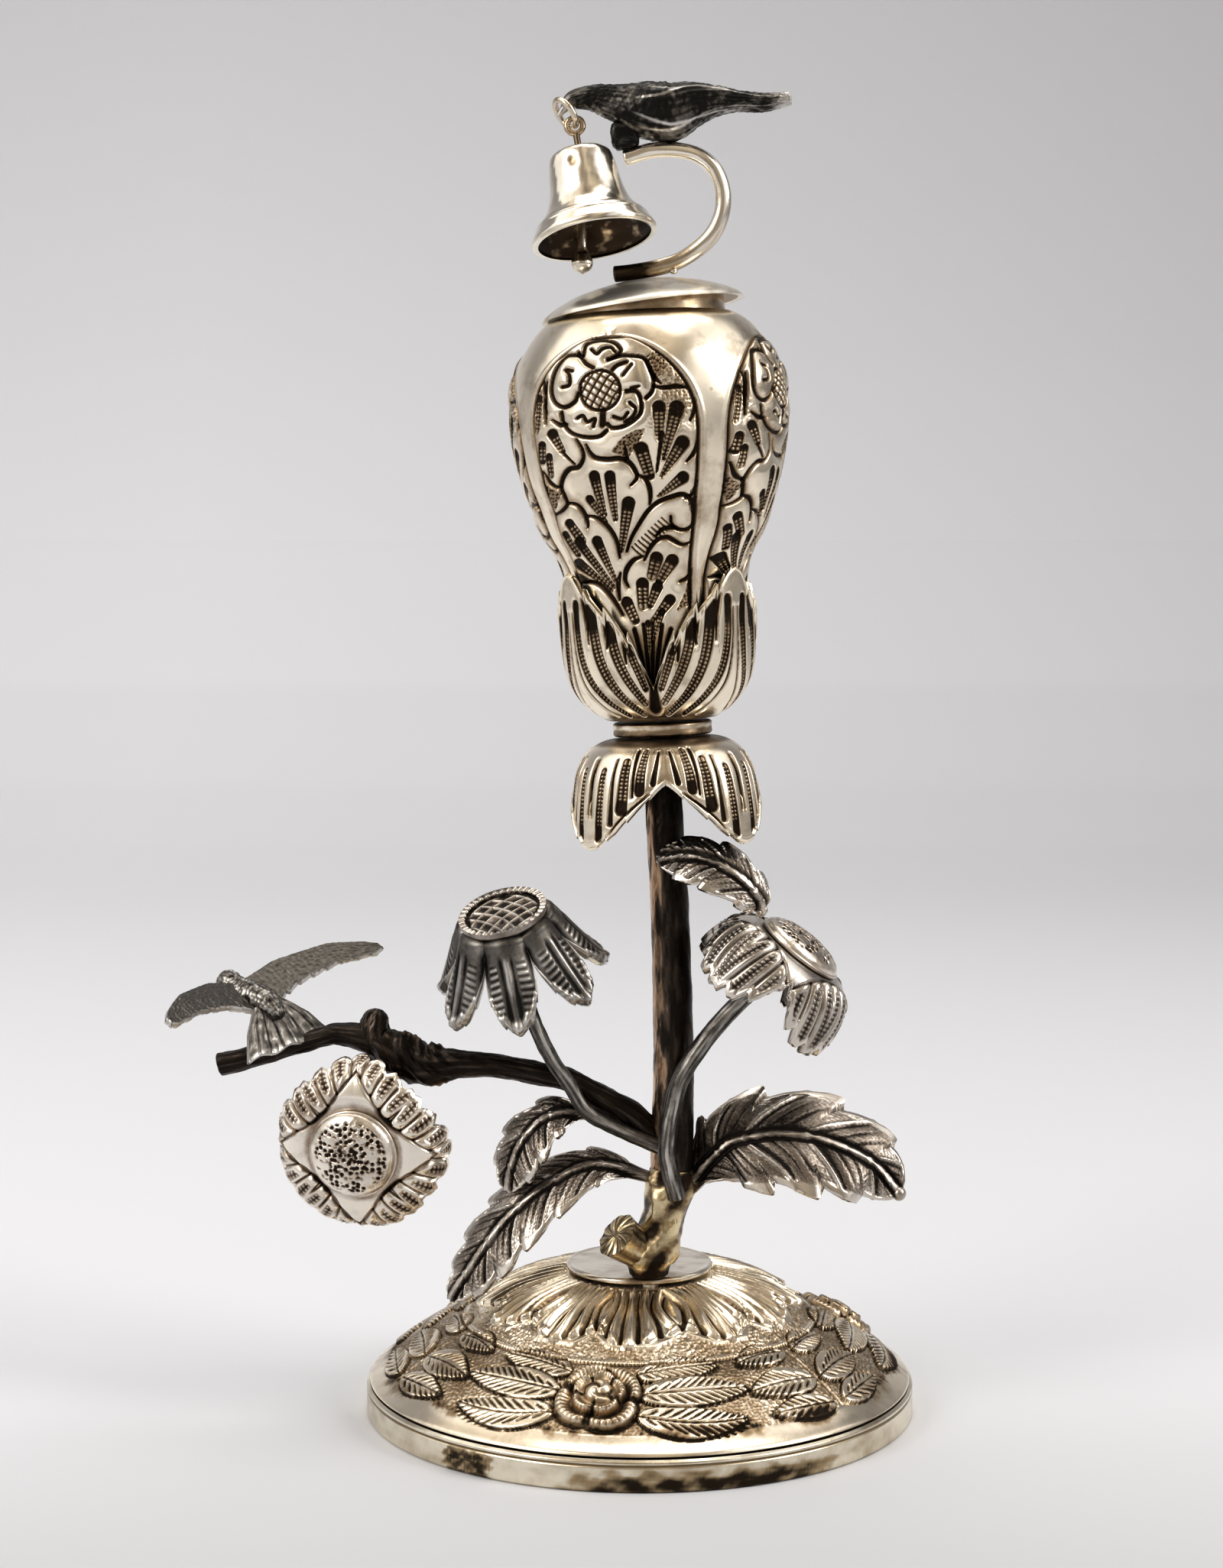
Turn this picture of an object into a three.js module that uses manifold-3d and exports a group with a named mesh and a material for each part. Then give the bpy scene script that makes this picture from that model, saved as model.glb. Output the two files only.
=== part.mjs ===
// A silver spice tower shaped like a flowering plant: a domed foot, a rooted stem with leaves,
// three flowers and a bird on a branch, and a bud on top that holds the spices.
// The bud's lift-off lid carries a scroll, a second bird, and a bell hung from that bird's bill.
// Lengths are millimetres, +Z is up, -Y is the front, and the origin lies under the middle of
// the whole outline, on the surface that the foot stands on.

import * as THREE from 'three';
import { mergeVertices } from 'three/addons/utils/BufferGeometryUtils.js';
import Module from 'manifold-3d';

const wasm = await Module();
wasm.setup();

// Clearances

const SEAT_GAP = 0.3; // between pieces that seat on one another
const SOLDER_GAP = 0.32; // round a piece that a neighbour is shaped against
const CUT_OVERRUN = 2; // how far a cutting tool runs past what it cuts
const STUD_PLAY = 0.3; // round a stud in its hole

// Foot

const FOOT_RADIUS = 36.75;
const BAND_HEIGHT = 4.1;
const BAND_WALL = 1.3;
const BAND_BEVEL = 0.3;
const FOOT_SHEET = 0.9;
const DOME_RISE = 13.6;
const PLATE_RADIUS = 9.87;
const PLATE_THICKNESS = 0.9;
const PLATE_BEVEL = 0.2;
const PLATE_SET_BACK = 1.5; // the plate sits a little behind the foot's axis

// Foot's dome from its seat on the band to its flat top: radius, then height
const domeOutlineShares = [
  [0.988, 0], [0.98, 0.026], [0.952, 0.081], [0.898, 0.199], [0.816, 0.346], [0.735, 0.471],
  [0.645, 0.585], [0.615, 0.64], [0.558, 0.743], [0.46, 0.875], [0.34, 0.963], [0.2585, 1],
];

// Root and stem

const ROOT_ACROSS = 1.26; // the root's post, from the foot's axis to the right
const ROOT_FORWARD = 6.6; // and towards the front
const ROOT_HEIGHT = 13.6;
const ROOT_RADIUS = 2.7;
const ROOT_POST_SHARE = 0.68; // the post under the root, of the root's radius
const STUB_REACH = 5;
const STUB_RADIUS = 2.5;
const STEM_HEIGHT = 57;
const STEM_RADIUS = 2.82;
const STEM_TOP_RADIUS = 2.36;

// Root's centre line from post to stem, as shares of its height: right, back, up
const rootPathShares = [
  [0, 0, 0], [0, 0, 0.07], [0.01, 0, 0.18], [0.09, 0.02, 0.39], [0.15, 0.045, 0.57],
  [0.18, 0.06, 0.72], [0.21, 0.075, 0.86], [0.223, 0.088, 1],
];
const rootGirthShares = [0.68, 0.7, 1, 0.98, 1.04, 1.2, 1.18, 1.05];
// Cut stub beside the root, as shares of its reach from the root's foot
const stubPathShares = [[0.04, 0.1, 0.42], [-0.3, -0.1, 0.66], [-0.62, -0.26, 0.92], [-0.84, -0.4, 1.12]];
const stubGirthShares = [0.72, 0.86, 1, 1.08];
// Stem's centre line above the root, as shares of its height
const stemPathShares = [
  [0, 0, 0], [0.003, 0.012, 0.18], [0.003, 0.023, 0.31], [-0.006, 0.047, 0.61],
  [-0.019, 0.063, 0.826], [-0.022, 0.077, 1],
];

// Side branch with its bird

const BRANCH_REACH = 58;
const BRANCH_RADIUS = 1.5;
const KNOB_RADIUS = 1.35;
const KNOB_HEIGHT = 4.3;
const BRANCH_ROOT_SHARE = 0.073; // how far up the stem it leaves
const branchPathShares = [
  [0.03, -0.001, -0.03], [-0.051, 0.002, 0.038], [-0.107, 0.005, 0.069], [-0.187, 0.012, 0.114],
  [-0.236, 0.017, 0.124], [-0.349, 0.028, 0.144], [-0.44, 0.034, 0.147], [-0.516, 0.041, 0.146],
  [-0.582, 0.047, 0.171], [-0.635, 0.05, 0.198], [-0.716, 0.055, 0.213], [-0.761, 0.059, 0.204],
  [-0.919, 0.066, 0.158], [-0.996, 0.069, 0.139],
];
const branchGirthShares = [1.25, 1.25, 1.2, 1, 0.95, 0.95, 1.1, 1.55, 1.75, 1.25, 0.88, 0.82, 0.88, 0.93];

// Flowers: a domed or latticed boss over a skirt of drooping petals

const BOSS_RADIUS = 6;
const BOSS_RISE = 2.5;
const BOSS_RIM = 0.5;
const LOBED_FLOWER_RADIUS = 9.9;
const LOBED_FLOWER_DROP = 8.7;
const OPEN_FLOWER_RADIUS = 11; // the hanging flower is opened wider and flatter
const OPEN_FLOWER_DROP = 6;
const LATTICE_RADIUS = 5.9;
const LATTICE_THICKNESS = 1;
const LATTICE_DISH = 0.35;
const POINTED_FLOWER_RADIUS = 10.5;
const POINTED_FLOWER_DROP = 10.6;
const PETAL_SHEET = 0.7;
const PETAL_BULGE = 0.5;
const FLOWER_STEM_RADIUS = 1.18;
const MIDDLE_STEM_RADIUS = 0.98;
const HOOK_RADIUS = 1.1;
const LOBED_PETALS = 4;
const POINTED_PETALS = 7;

// Lobed skirt from its hub to the petal tips: radius, then drop
const lobedSkirtShares = [[0.58, 0], [0.72, -0.02], [0.87, -0.15], [0.965, -0.4], [1, -0.72], [0.985, -1]];
const pointedSkirtShares = [[0.5, 0], [0.56, -0.06], [0.66, -0.3], [0.8, -0.6], [1, -1]];

// Flower stems, as shares of each one's reach from where it leaves the plant
const MIDDLE_STEM_REACH = 20;
const middleStemPathShares = [
  [0.06, 0.07, -0.05], [-0.256, 0.07, 0.09], [-0.427, 0.06, 0.194], [-0.537, 0.05, 0.368],
  [-0.657, 0.025, 0.552], [-0.771, 0.01, 0.797], [-0.85, 0, 1.051], [-0.905, -0.006, 1.3],
];
const RIGHT_STEM_REACH = 30;
const rightStemPathShares = [
  [0, 0.02, 0], [-0.027, 0.003, 0.111], [-0.044, 0.007, 0.222], [-0.021, 0.013, 0.383],
  [0.019, 0.023, 0.53], [0.129, 0.04, 0.699], [0.246, 0.053, 0.832], [0.346, 0.067, 0.921],
  [0.44, 0.078, 1.01],
];
const HOOK_REACH = 12;
const hookPathShares = [[0, 0, 0], [-0.03, 0.14, -0.32], [-0.09, 0.17, -0.62], [-0.15, 0.06, -0.87]];

// Flower axes (unit directions) and places, as shares of the reach of what carries each
const middleFlowerAxisShares = [-0.22, -0.39, 0.895];
const rightFlowerAxisShares = [0.613, -0.1, 0.784];
const hangingFlowerAxisShares = [-0.2, -0.965, -0.16];
const middleFlowerPlaceShares = [-0.963, -0.02, 1.49];
const rightFlowerPlaceShares = [0.532, 0.082, 1.083];
const hangingFlowerPlaceShares = [-0.19, -0.55, -1.15];

// Leaves

const LEAF_SHEET = 0.8;
const LEAF_LOBES = 5;
const LEAF_NOTCH_SHARE = 0.24;
const LEAF_SWEEP_SHARE = 0.1;
const LEAF_TIP_BALL_RADIUS = 0.95;
const RIGHT_LEAF_REACH = 30;
const RIGHT_LEAF_HALF_WIDTH = 8;
const FRONT_LEAF_REACH = 30;
const FRONT_LEAF_HALF_WIDTH = 5.4;
const BACK_LEAF_REACH = 14;
const BACK_LEAF_HALF_WIDTH = 4.7;
const CURLED_LEAF_REACH = 16;
const CURLED_LEAF_HALF_WIDTH = 4.1;
const leafOutlineShares = [
  [0, 0.16], [0.07, 0.2], [0.2, 0.72], [0.4, 1], [0.6, 0.97], [0.8, 0.7], [0.93, 0.36], [1, 0.09],
];
const rightLeafPathShares = [
  [-0.03, 0, -0.04], [0.111, -0.01, 0.129], [0.224, -0.02, 0.199], [0.485, -0.033, 0.22],
  [0.765, -0.033, 0.118], [0.918, -0.02, -0.038],
];
const frontLeafPathShares = [
  [0.06, 0.02, -0.02], [-0.195, -0.027, 0.05], [-0.412, -0.053, -0.04], [-0.597, -0.067, -0.2],
  [-0.732, -0.067, -0.385], [-0.835, -0.053, -0.545],
];
const backLeafPathShares = [
  [0.02, -0.02, 0.02], [-0.33, -0.043, 0.03], [-0.58, -0.086, -0.15], [-0.72, -0.1, -0.42],
  [-0.77, -0.086, -0.685],
];
const curledLeafPathShares = [
  [0, -0.01, 0], [-0.03, -0.06, 0.14], [-0.17, -0.09, 0.3], [-0.4, -0.05, 0.44],
  [-0.65, 0.02, 0.48], [-0.84, 0.08, 0.45],
];

// Calyxes and neck ring

const RING_RADIUS = 6.56;
const RING_HEIGHT = 1.8;
const CALYX_SHEET = 0.8;
const LOWER_CALYX_RADIUS = 12.2;
const LOWER_CALYX_DROP = 13.4;
const UPPER_CALYX_RADIUS = 13.6;
const UPPER_CALYX_HEIGHT = 19.6;
const CALYX_GAP = 55; // degrees, from a petal's tip to the notch at the front or the back
const lowerCalyxTips = [-142, -38, 38, 142]; // degrees round from the right
const upperCalyxTips = [-150, -40, 32, 142];
const CALYX_NOTCH_SHARE = 0.52; // where the gap between two petals starts
const lowerCalyxShares = [
  [0.5, 0], [0.66, -0.03], [0.815, -0.12], [0.915, -0.275], [0.96, -0.46], [0.99, -0.72], [1, -1],
];
const upperCalyxShares = [
  [0.463, 0], [0.56, 0.02], [0.67, 0.075], [0.78, 0.16], [0.855, 0.27], [0.9, 0.45], [0.915, 0.72],
  [0.92, 0.92], [0.925, 1],
];

// Bud that holds the spices

const BUD_LEAN = 2.6; // degrees, to the left
const BUD_RADIUS = 17.95;
const BUD_HEIGHT = 51.6; // from its flat base to its mouth
const BUD_WALL = 0.75;
const MOUTH_RADIUS = 11.3;
const PANEL_COUNT = 4;
const PANEL_RAISE = 0.4;
const PANEL_HALF_SPAN = 39; // degrees
const PANEL_TURN = -108; // degrees, from the right round to the panel nearest the front
const PANEL_TOP_SHARE = 0.935;
const PANEL_ARCH_SHARE = 0.24;
// Where the bud is sampled across each panel, as shares of its half width
const panelColumnShares = [-1.02, -0.97, -0.6, -0.2, 0.2, 0.6, 0.97, 1.02];
const budOutlineShares = [
  [0.31, 0], [0.41, 0.018], [0.5, 0.05], [0.552, 0.085], [0.595, 0.142], [0.617, 0.21],
  [0.63, 0.285], [0.655, 0.345], [0.715, 0.4], [0.8, 0.455], [0.872, 0.527], [0.936, 0.592],
  [0.976, 0.665], [1, 0.745], [0.997, 0.812], [0.962, 0.87], [0.9, 0.914], [0.812, 0.958],
  [0.735, 0.985], [0.66, 1],
];

// Studs and nuts that hold the tower together

const STUD_RADIUS = 1.3;
const NUT_ACROSS_FLATS = 4.6;
const NUT_THICKNESS = 1.8;
const WASHER_RADIUS = 2.8;
const WASHER_THICKNESS = 0.7;
const STUD_PAST_NUT = 0.8;

// Lid and scroll handle

const LID_RADIUS = 13.35;
const LID_RISE = 3.9;
const LID_SHEET = 0.7;
const LID_SET = 0.9; // the lid's rim plane above the mouth's edge
const LID_OFF_CENTRE = 0.12;
const LID_TILT = 5.05; // degrees, askew in the mouth: raised on the right
const BEZEL_RADIUS = 10.65;
const BEZEL_WALL = 0.6;
const BEZEL_DEPTH = 2.6;
const lidOutlineShares = [
  [1, 0], [0.97, 0.14], [0.9, 0.3], [0.8, 0.47], [0.62, 0.7], [0.4, 0.87], [0.2, 0.97], [0, 1],
];
const SCROLL_SIZE = 20;
const SCROLL_RADIUS = 1.05;
const scrollPathShares = [
  [0.011, 0, 0.987], [0.186, 0, 1.013], [0.354, 0, 0.995], [0.488, 0, 0.942], [0.58, 0, 0.84],
  [0.616, 0, 0.69], [0.585, 0, 0.537], [0.487, 0, 0.401], [0.306, 0, 0.298], [0.14, 0, 0.262],
  [-0.037, 0, 0.255], [-0.153, 0, 0.258],
];

// Bird on the scroll: centre line from bill to tail in shares of its length, from where it stands

const BIRD_LENGTH = 29.2;
const BIRD_GIRTH = 3.9;
const BIRD_FOOT = 2;
const birdPathShares = [
  [-0.447, 0, 0.166], [-0.418, 0, 0.195], [-0.373, 0, 0.228], [-0.287, 0, 0.226],
  [-0.188, 0, 0.192], [-0.074, 0, 0.147], [0.043, 0, 0.12], [0.148, 0, 0.136],
  [0.251, 0, 0.139], [0.353, 0, 0.125], [0.47, 0, 0.103], [0.587, 0, 0.104],
];
const birdDepthShares = [0.07, 0.14, 0.31, 0.42, 0.6, 0.93, 1, 0.77, 0.51, 0.33, 0.3, 0.2];
const birdBreadthShares = [0.07, 0.15, 0.3, 0.38, 0.54, 0.75, 0.82, 0.75, 0.64, 0.52, 0.42, 0.3];

// Bell, its rings and its clapper

const WIRE_RADIUS = 0.33;
const BILL_RING_RADIUS = 1.95;
const BELL_LOOP_RADIUS = 1.02;
const BELL_RADIUS = 8.2;
const BELL_HEIGHT = 13;
const BELL_WALL = 0.7;
const BELL_LEAN = 10; // degrees, mouth to the right
const BELL_TIP = 11.6; // degrees, mouth to the front
const BELL_HANG = 2.5; // from the bill ring's wire down to the crown
const CLAPPER_EYE_RADIUS = 0.98;
const CLAPPER_LENGTH = 12.2;
const CLAPPER_ROD_RADIUS = 0.52;
const CLAPPER_BOB_RADIUS = 1.45;
const CLAPPER_EYE_DEPTH = 2.35; // from the crown down to the clapper's eye
const bellOutlineShares = [
  [0.25, 0.01], [0.38, 0.035], [0.46, 0.09], [0.5, 0.17], [0.55, 0.263], [0.6, 0.38], [0.66, 0.525],
  [0.745, 0.657], [0.85, 0.78], [0.95, 0.89], [1, 0.963], [0.995, 1],
];
const billHangShares = [-0.421, 0, 0.187]; // of the bird's length: where the ring hangs on the bill
const BILL_SLOPE = 30; // degrees, from level to the line that the ring turns about
const BILL_RING_DROP = 0.45; // from that line down to the ring's middle
const BILL_RING_TURN = 22; // degrees, turned to the front round its hanging line

// Small bird on the branch, wings spread

const FLYER_LENGTH = 13;
const FLYER_GIRTH = 1.75;
const FLYER_HALF_SPAN = 18;
const FLYER_WING_CHORD = 4.8;
const FLYER_WING_SHEET = 0.8;
const FLYER_TAIL_HALF_WIDTH = 5.6;
const flyerPlaceShares = [-0.908, 0.067, 0.293]; // of the branch's reach
const flyerHeadingShares = [-0.72, 0.68, 0.06];
const flyerUpShares = [0.07, -0.3, 0.95];
// Body from tail to bill, wing from shoulder to tip and tail from root to end: forward, side, up
const flyerBodyShares = [[-0.34, 0, -0.13], [-0.2, 0, -0.04], [0, 0, 0], [0.2, 0, 0.02],
  [0.34, 0, 0.06], [0.46, 0, 0.1], [0.55, 0, 0.06], [0.64, 0, -0.02]];
const flyerGirthShares = [0.45, 0.85, 1, 0.98, 0.78, 0.8, 0.5, 0.16];
const flyerSweepShares = [[0, 0.05], [0.3, 0.04], [0.65, -0.08], [1, -0.27]];
const flyerRaiseShares = [[0, 0.01], [0.35, 0.13], [0.7, 0.19], [1, 0.17]];
const flyerChordShares = [[0, 1], [0.3, 0.95], [0.7, 0.72], [0.9, 0.45], [1, 0.2]];
const flyerTailShares = [[-0.16, 0, -0.03], [-0.3, 0, -0.2], [-0.45, 0, -0.43]];
const flyerTailWidthShares = [[0, 0.34], [0.5, 0.7], [1, 1]];

// Facets round each kind of piece

const ROUND_LARGE = 40;
const ROUND_MEDIUM = 28;
const ROUND_SMALL = 10;
const WIRE_SIDES = 6;
const RING_STEPS = 14;

// Silver finishes, from the bright gilded-looking polish to the blackened branch

const finishes = {
  polished: { color: 0xd9cfb4, roughness: 0.22, metalness: 1 },
  chased: { color: 0xc4b896, roughness: 0.32, metalness: 1 },
  grey: { color: 0x9b9a97, roughness: 0.42, metalness: 1 },
  leaf: { color: 0x8f877b, roughness: 0.4, metalness: 1 },
  dark: { color: 0x3b332c, roughness: 0.45, metalness: 1 },
};

// Shape helpers

const vector = (shares, size) => new THREE.Vector3(...shares).multiplyScalar(size);
const placesAlong = (start, shares, size) => shares.map((share) => vector(share, size).add(start));
const radians = THREE.MathUtils.degToRad;

// Reads a table of [place, value] or a plain list of values at a place from 0 to 1.
function valueAt(table, place) {
  const rows = Array.isArray(table[0])
    ? table
    : table.map((value, index) => [index / (table.length - 1), value]);
  let row = 0;
  while (row < rows.length - 2 && rows[row + 1][0] < place) row += 1;
  const [fromPlace, fromValue] = rows[row];
  const [toPlace, toValue] = rows[row + 1];
  const part = (place - fromPlace) / (toPlace - fromPlace);
  return THREE.MathUtils.lerp(fromValue, toValue, THREE.MathUtils.clamp(part, 0, 1));
}

function signedVolume(positions, index) {
  const a = new THREE.Vector3();
  const b = new THREE.Vector3();
  const c = new THREE.Vector3();
  let total = 0;
  for (let i = 0; i < index.length; i += 3) {
    a.fromArray(positions, index[i] * 3);
    b.fromArray(positions, index[i + 1] * 3);
    c.fromArray(positions, index[i + 2] * 3);
    total += a.dot(b.cross(c));
  }
  return total;
}

// A closed geometry whose faces point out, whichever way they were listed.
function closedGeometry(positions, index) {
  const facing = signedVolume(positions, index) < 0 ? index.reverse() : index;
  const geometry = new THREE.BufferGeometry();
  geometry.setAttribute('position', new THREE.Float32BufferAttribute(positions, 3));
  geometry.setIndex(facing);
  return geometry;
}

// Joins rings of points, each with as many points, and closes both ends.
function loft(rings) {
  const around = rings[0].length;
  const positions = rings.flat().flatMap((point) => point.toArray());
  const index = [];
  for (let ring = 0; ring < rings.length - 1; ring += 1) {
    for (let side = 0; side < around; side += 1) {
      const here = ring * around + side;
      const next = ring * around + ((side + 1) % around);
      index.push(here, next, here + around, next, next + around, here + around);
    }
  }
  const capEnd = (ring, outward) => {
    const middle = new THREE.Vector3();
    rings[ring].forEach((point) => middle.add(point));
    middle.divideScalar(around);
    const centre = positions.length / 3;
    positions.push(...middle.toArray());
    for (let side = 0; side < around; side += 1) {
      const here = ring * around + side;
      const next = ring * around + ((side + 1) % around);
      if (outward) index.push(centre, here, next);
      else index.push(centre, next, here);
    }
  };
  capEnd(0, false);
  capEnd(rings.length - 1, true);
  return closedGeometry(positions, index);
}

// A tapering rod along a smooth centre line, oval where depth and breadth differ.
// The side direction is the one that its breadth is measured along.
function rodAlong(places, { depth, breadth = depth, side, sides, steps }) {
  const curve = new THREE.CatmullRomCurve3(places, false, 'centripetal');
  const rings = [];
  for (let step = 0; step <= steps; step += 1) {
    const place = step / steps;
    const centre = curve.getPoint(place);
    const along = curve.getTangent(place);
    const across = side.clone().addScaledVector(along, -side.dot(along)).normalize();
    const up = new THREE.Vector3().crossVectors(along, across);
    const ring = [];
    for (let turn = 0; turn < sides; turn += 1) {
      const angle = (turn / sides) * Math.PI * 2;
      ring.push(centre.clone()
        .addScaledVector(across, Math.cos(angle) * depthAt(breadth, place))
        .addScaledVector(up, Math.sin(angle) * depthAt(depth, place)));
    }
    rings.push(ring);
  }
  return loft(rings);
}

function depthAt(size, place) {
  return typeof size === 'function' ? size(place) : size;
}

// A thin sheet with both faces and its edges, sampled from a middle surface.
// A wrapped sheet closes on itself round the turn.
function sheet({ turns, spans, wrapped = false, thickness, pointAt }) {
  const columns = wrapped ? turns : turns + 1;
  const rows = spans + 1;
  const place = (turn, span) => pointAt(turn / turns, span / spans);
  const middle = [];
  for (let turn = 0; turn < columns; turn += 1) {
    for (let span = 0; span < rows; span += 1) middle.push(place(turn, span));
  }
  const at = (turn, span) => {
    const column = wrapped ? (turn + columns) % columns : THREE.MathUtils.clamp(turn, 0, columns - 1);
    return middle[column * rows + THREE.MathUtils.clamp(span, 0, rows - 1)];
  };
  const faces = [[], []];
  for (let turn = 0; turn < columns; turn += 1) {
    for (let span = 0; span < rows; span += 1) {
      const across = at(turn + 1, span).clone().sub(at(turn - 1, span));
      const along = at(turn, span + 1).clone().sub(at(turn, span - 1));
      const out = across.cross(along).normalize();
      faces[0].push(at(turn, span).clone().addScaledVector(out, thickness / 2));
      faces[1].push(at(turn, span).clone().addScaledVector(out, -thickness / 2));
    }
  }
  const positions = faces.flat().flatMap((point) => point.toArray());
  const lower = columns * rows;
  const index = [];
  const quad = (a, b, c, d) => index.push(a, b, c, a, c, d);
  const steps = wrapped ? columns : columns - 1;
  const id = (turn, span) => (turn % columns) * rows + span;
  for (let turn = 0; turn < steps; turn += 1) {
    for (let span = 0; span < rows - 1; span += 1) {
      quad(id(turn, span), id(turn + 1, span), id(turn + 1, span + 1), id(turn, span + 1));
      quad(lower + id(turn, span), lower + id(turn, span + 1),
        lower + id(turn + 1, span + 1), lower + id(turn + 1, span));
    }
    quad(id(turn, 0), lower + id(turn, 0), lower + id(turn + 1, 0), id(turn + 1, 0));
    quad(id(turn, rows - 1), id(turn + 1, rows - 1),
      lower + id(turn + 1, rows - 1), lower + id(turn, rows - 1));
  }
  if (!wrapped) {
    for (let span = 0; span < rows - 1; span += 1) {
      quad(id(0, span), id(0, span + 1), lower + id(0, span + 1), lower + id(0, span));
      const end = columns - 1;
      quad(id(end, span), lower + id(end, span), lower + id(end, span + 1), id(end, span + 1));
    }
  }
  return closedGeometry(positions, index);
}

// A solid of revolution about +Z from a closed outline of [radius, height] pairs.
function revolve(outline, segments) {
  const points = outline.map(([radius, height]) => new THREE.Vector2(radius, height));
  const lathe = new THREE.LatheGeometry([...points, points[0]], segments);
  lathe.rotateX(Math.PI / 2);
  lathe.deleteAttribute('normal');
  lathe.deleteAttribute('uv');
  const welded = mergeVertices(lathe);
  const positions = Array.from(welded.attributes.position.array);
  const source = Array.from(welded.index.array);
  const index = [];
  for (let i = 0; i < source.length; i += 3) {
    const [a, b, c] = source.slice(i, i + 3);
    if (a !== b && b !== c && c !== a) index.push(a, b, c);
  }
  return closedGeometry(positions, index);
}

// The outline of a sheet of even thickness inside an open curve of [radius, height] pairs that
// runs from its rim, whose edge is level, to its crown.
function shellOutline(curve, thickness) {
  const inner = curve.map(([radius, height], i) => {
    const [r0, h0] = curve[Math.max(i - 1, 0)];
    const [r1, h1] = curve[Math.min(i + 1, curve.length - 1)];
    const length = Math.hypot(r1 - r0, h1 - h0);
    if (i === 0) return [radius - thickness, height];
    return [Math.max(radius - ((h1 - h0) / length) * thickness, 0), height + ((r1 - r0) / length) * thickness];
  });
  const kept = inner.filter((_, i) => i % 2 === 0 || i >= curve.length - 3);
  return [...curve, ...kept.reverse()];
}

function solidOf(geometry) {
  const bare = geometry.clone();
  bare.deleteAttribute('normal');
  bare.deleteAttribute('uv');
  const welded = mergeVertices(bare);
  return new wasm.Manifold(new wasm.Mesh({
    numProp: 3,
    vertProperties: new Float32Array(welded.attributes.position.array),
    triVerts: new Uint32Array(welded.index.array),
  }));
}

function geometryOf(solid) {
  const mesh = solid.getMesh();
  const geometry = new THREE.BufferGeometry();
  geometry.setAttribute('position', new THREE.Float32BufferAttribute(mesh.vertProperties, 3));
  geometry.setIndex(Array.from(mesh.triVerts));
  return geometry;
}

const cut = (body, ...tools) => geometryOf(
  tools.reduce((left, tool) => left.subtract(solidOf(tool)), solidOf(body)),
);
const join = (body, ...others) => geometryOf(
  others.reduce((whole, other) => whole.add(solidOf(other)), solidOf(body)),
);

function cylinder(radius, bottom, top, segments) {
  return revolve([[0, bottom], [radius, bottom], [radius, top], [0, top]], segments);
}

function wireRing(radius, wire, axis) {
  const ring = new THREE.TorusGeometry(radius, wire, WIRE_SIDES, RING_STEPS);
  ring.applyQuaternion(new THREE.Quaternion().setFromUnitVectors(new THREE.Vector3(0, 0, 1), axis));
  return ring;
}

function piece(name, geometry, finish) {
  const shaded = geometry.clone();
  shaded.computeVertexNormals();
  const mesh = new THREE.Mesh(shaded, new THREE.MeshStandardMaterial(finishes[finish]));
  mesh.name = name;
  return mesh;
}

// A group whose +Z runs along an axis and whose X stays level, facing right.
function aimedGroup(place, axis) {
  const up = axis.clone().normalize();
  const depth = new THREE.Vector3().crossVectors(up, new THREE.Vector3(1, 0, 0)).normalize();
  const right = new THREE.Vector3().crossVectors(depth, up).normalize();
  const group = new THREE.Group();
  group.quaternion.setFromRotationMatrix(new THREE.Matrix4().makeBasis(right, depth, up));
  group.position.copy(place);
  return group;
}

// The same shape seen from another group, so that it can be cut by what stands there.
function carriedOver(geometry, from, to) {
  from.updateWorldMatrix(true, false);
  to.updateWorldMatrix(true, false);
  const moved = geometry.clone();
  return moved.applyMatrix4(to.matrixWorld.clone().invert().multiply(from.matrixWorld));
}

const evenTips = (petals, turn) => Array.from({ length: petals }, (_, i) => turn + (i / petals) * Math.PI * 2);

// Flower and calyx sheets: petals round a hub, each bulging across and pointed at its tip.
// The outline runs from the hub's hole to the tips as [radius, height] pairs.
// Tips are the angles of the petals' tips; the reach is from a tip to the deepest notch.
function petalSkirt({ outline, tips, reach, notchShare, pointing, bulge, thickness, turns, spans }) {
  const curve = new THREE.SplineCurve(outline.map((pair) => new THREE.Vector2(...pair)));
  return sheet({
    turns, spans, wrapped: true, thickness,
    pointAt: (around, along) => {
      const angle = around * Math.PI * 2;
      const apart = tips.map((tip) => Math.abs(THREE.MathUtils.euclideanModulo(angle - tip + Math.PI, Math.PI * 2) - Math.PI));
      const across = Math.min(Math.min(...apart) / reach, 1);
      const tip = 1 - across ** pointing;
      const place = along * (notchShare + (1 - notchShare) * tip);
      const point = curve.getPoint(place);
      const radius = point.x + bulge * place * (1 - across ** 2);
      return new THREE.Vector3(Math.cos(angle) * radius, Math.sin(angle) * radius, point.y);
    },
  });
}

// A leaf with hooked lobes along both edges, drooping from its midrib.
function leafSheet({ path, halfWidth, facing, droop, lobes }) {
  const curve = new THREE.CatmullRomCurve3(path, false, 'centripetal');
  const samplesPerLobe = 3;
  return sheet({
    turns: 4, spans: lobes * samplesPerLobe, thickness: LEAF_SHEET,
    pointAt: (side, along) => {
      const across = side * 2 - 1;
      const lobePlace = (along * lobes) % 1;
      const notch = lobePlace < 0.1 ? 1 : (1 - lobePlace) ** 2;
      const width = halfWidth * valueAt(leafOutlineShares, along)
        * (1 - LEAF_NOTCH_SHARE * notch * Math.abs(across));
      const swept = along + LEAF_SWEEP_SHARE * Math.abs(across) * Math.sin(along * Math.PI);
      const place = Math.min(swept, 1);
      const centre = curve.getPoint(place);
      const tangent = curve.getTangent(place);
      const out = facing.clone().addScaledVector(tangent, -facing.dot(tangent)).normalize();
      const sideways = new THREE.Vector3().crossVectors(tangent, out);
      return centre
        .addScaledVector(sideways, across * width)
        .addScaledVector(out, -droop * across ** 2 * valueAt(leafOutlineShares, along));
    },
  });
}

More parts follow.
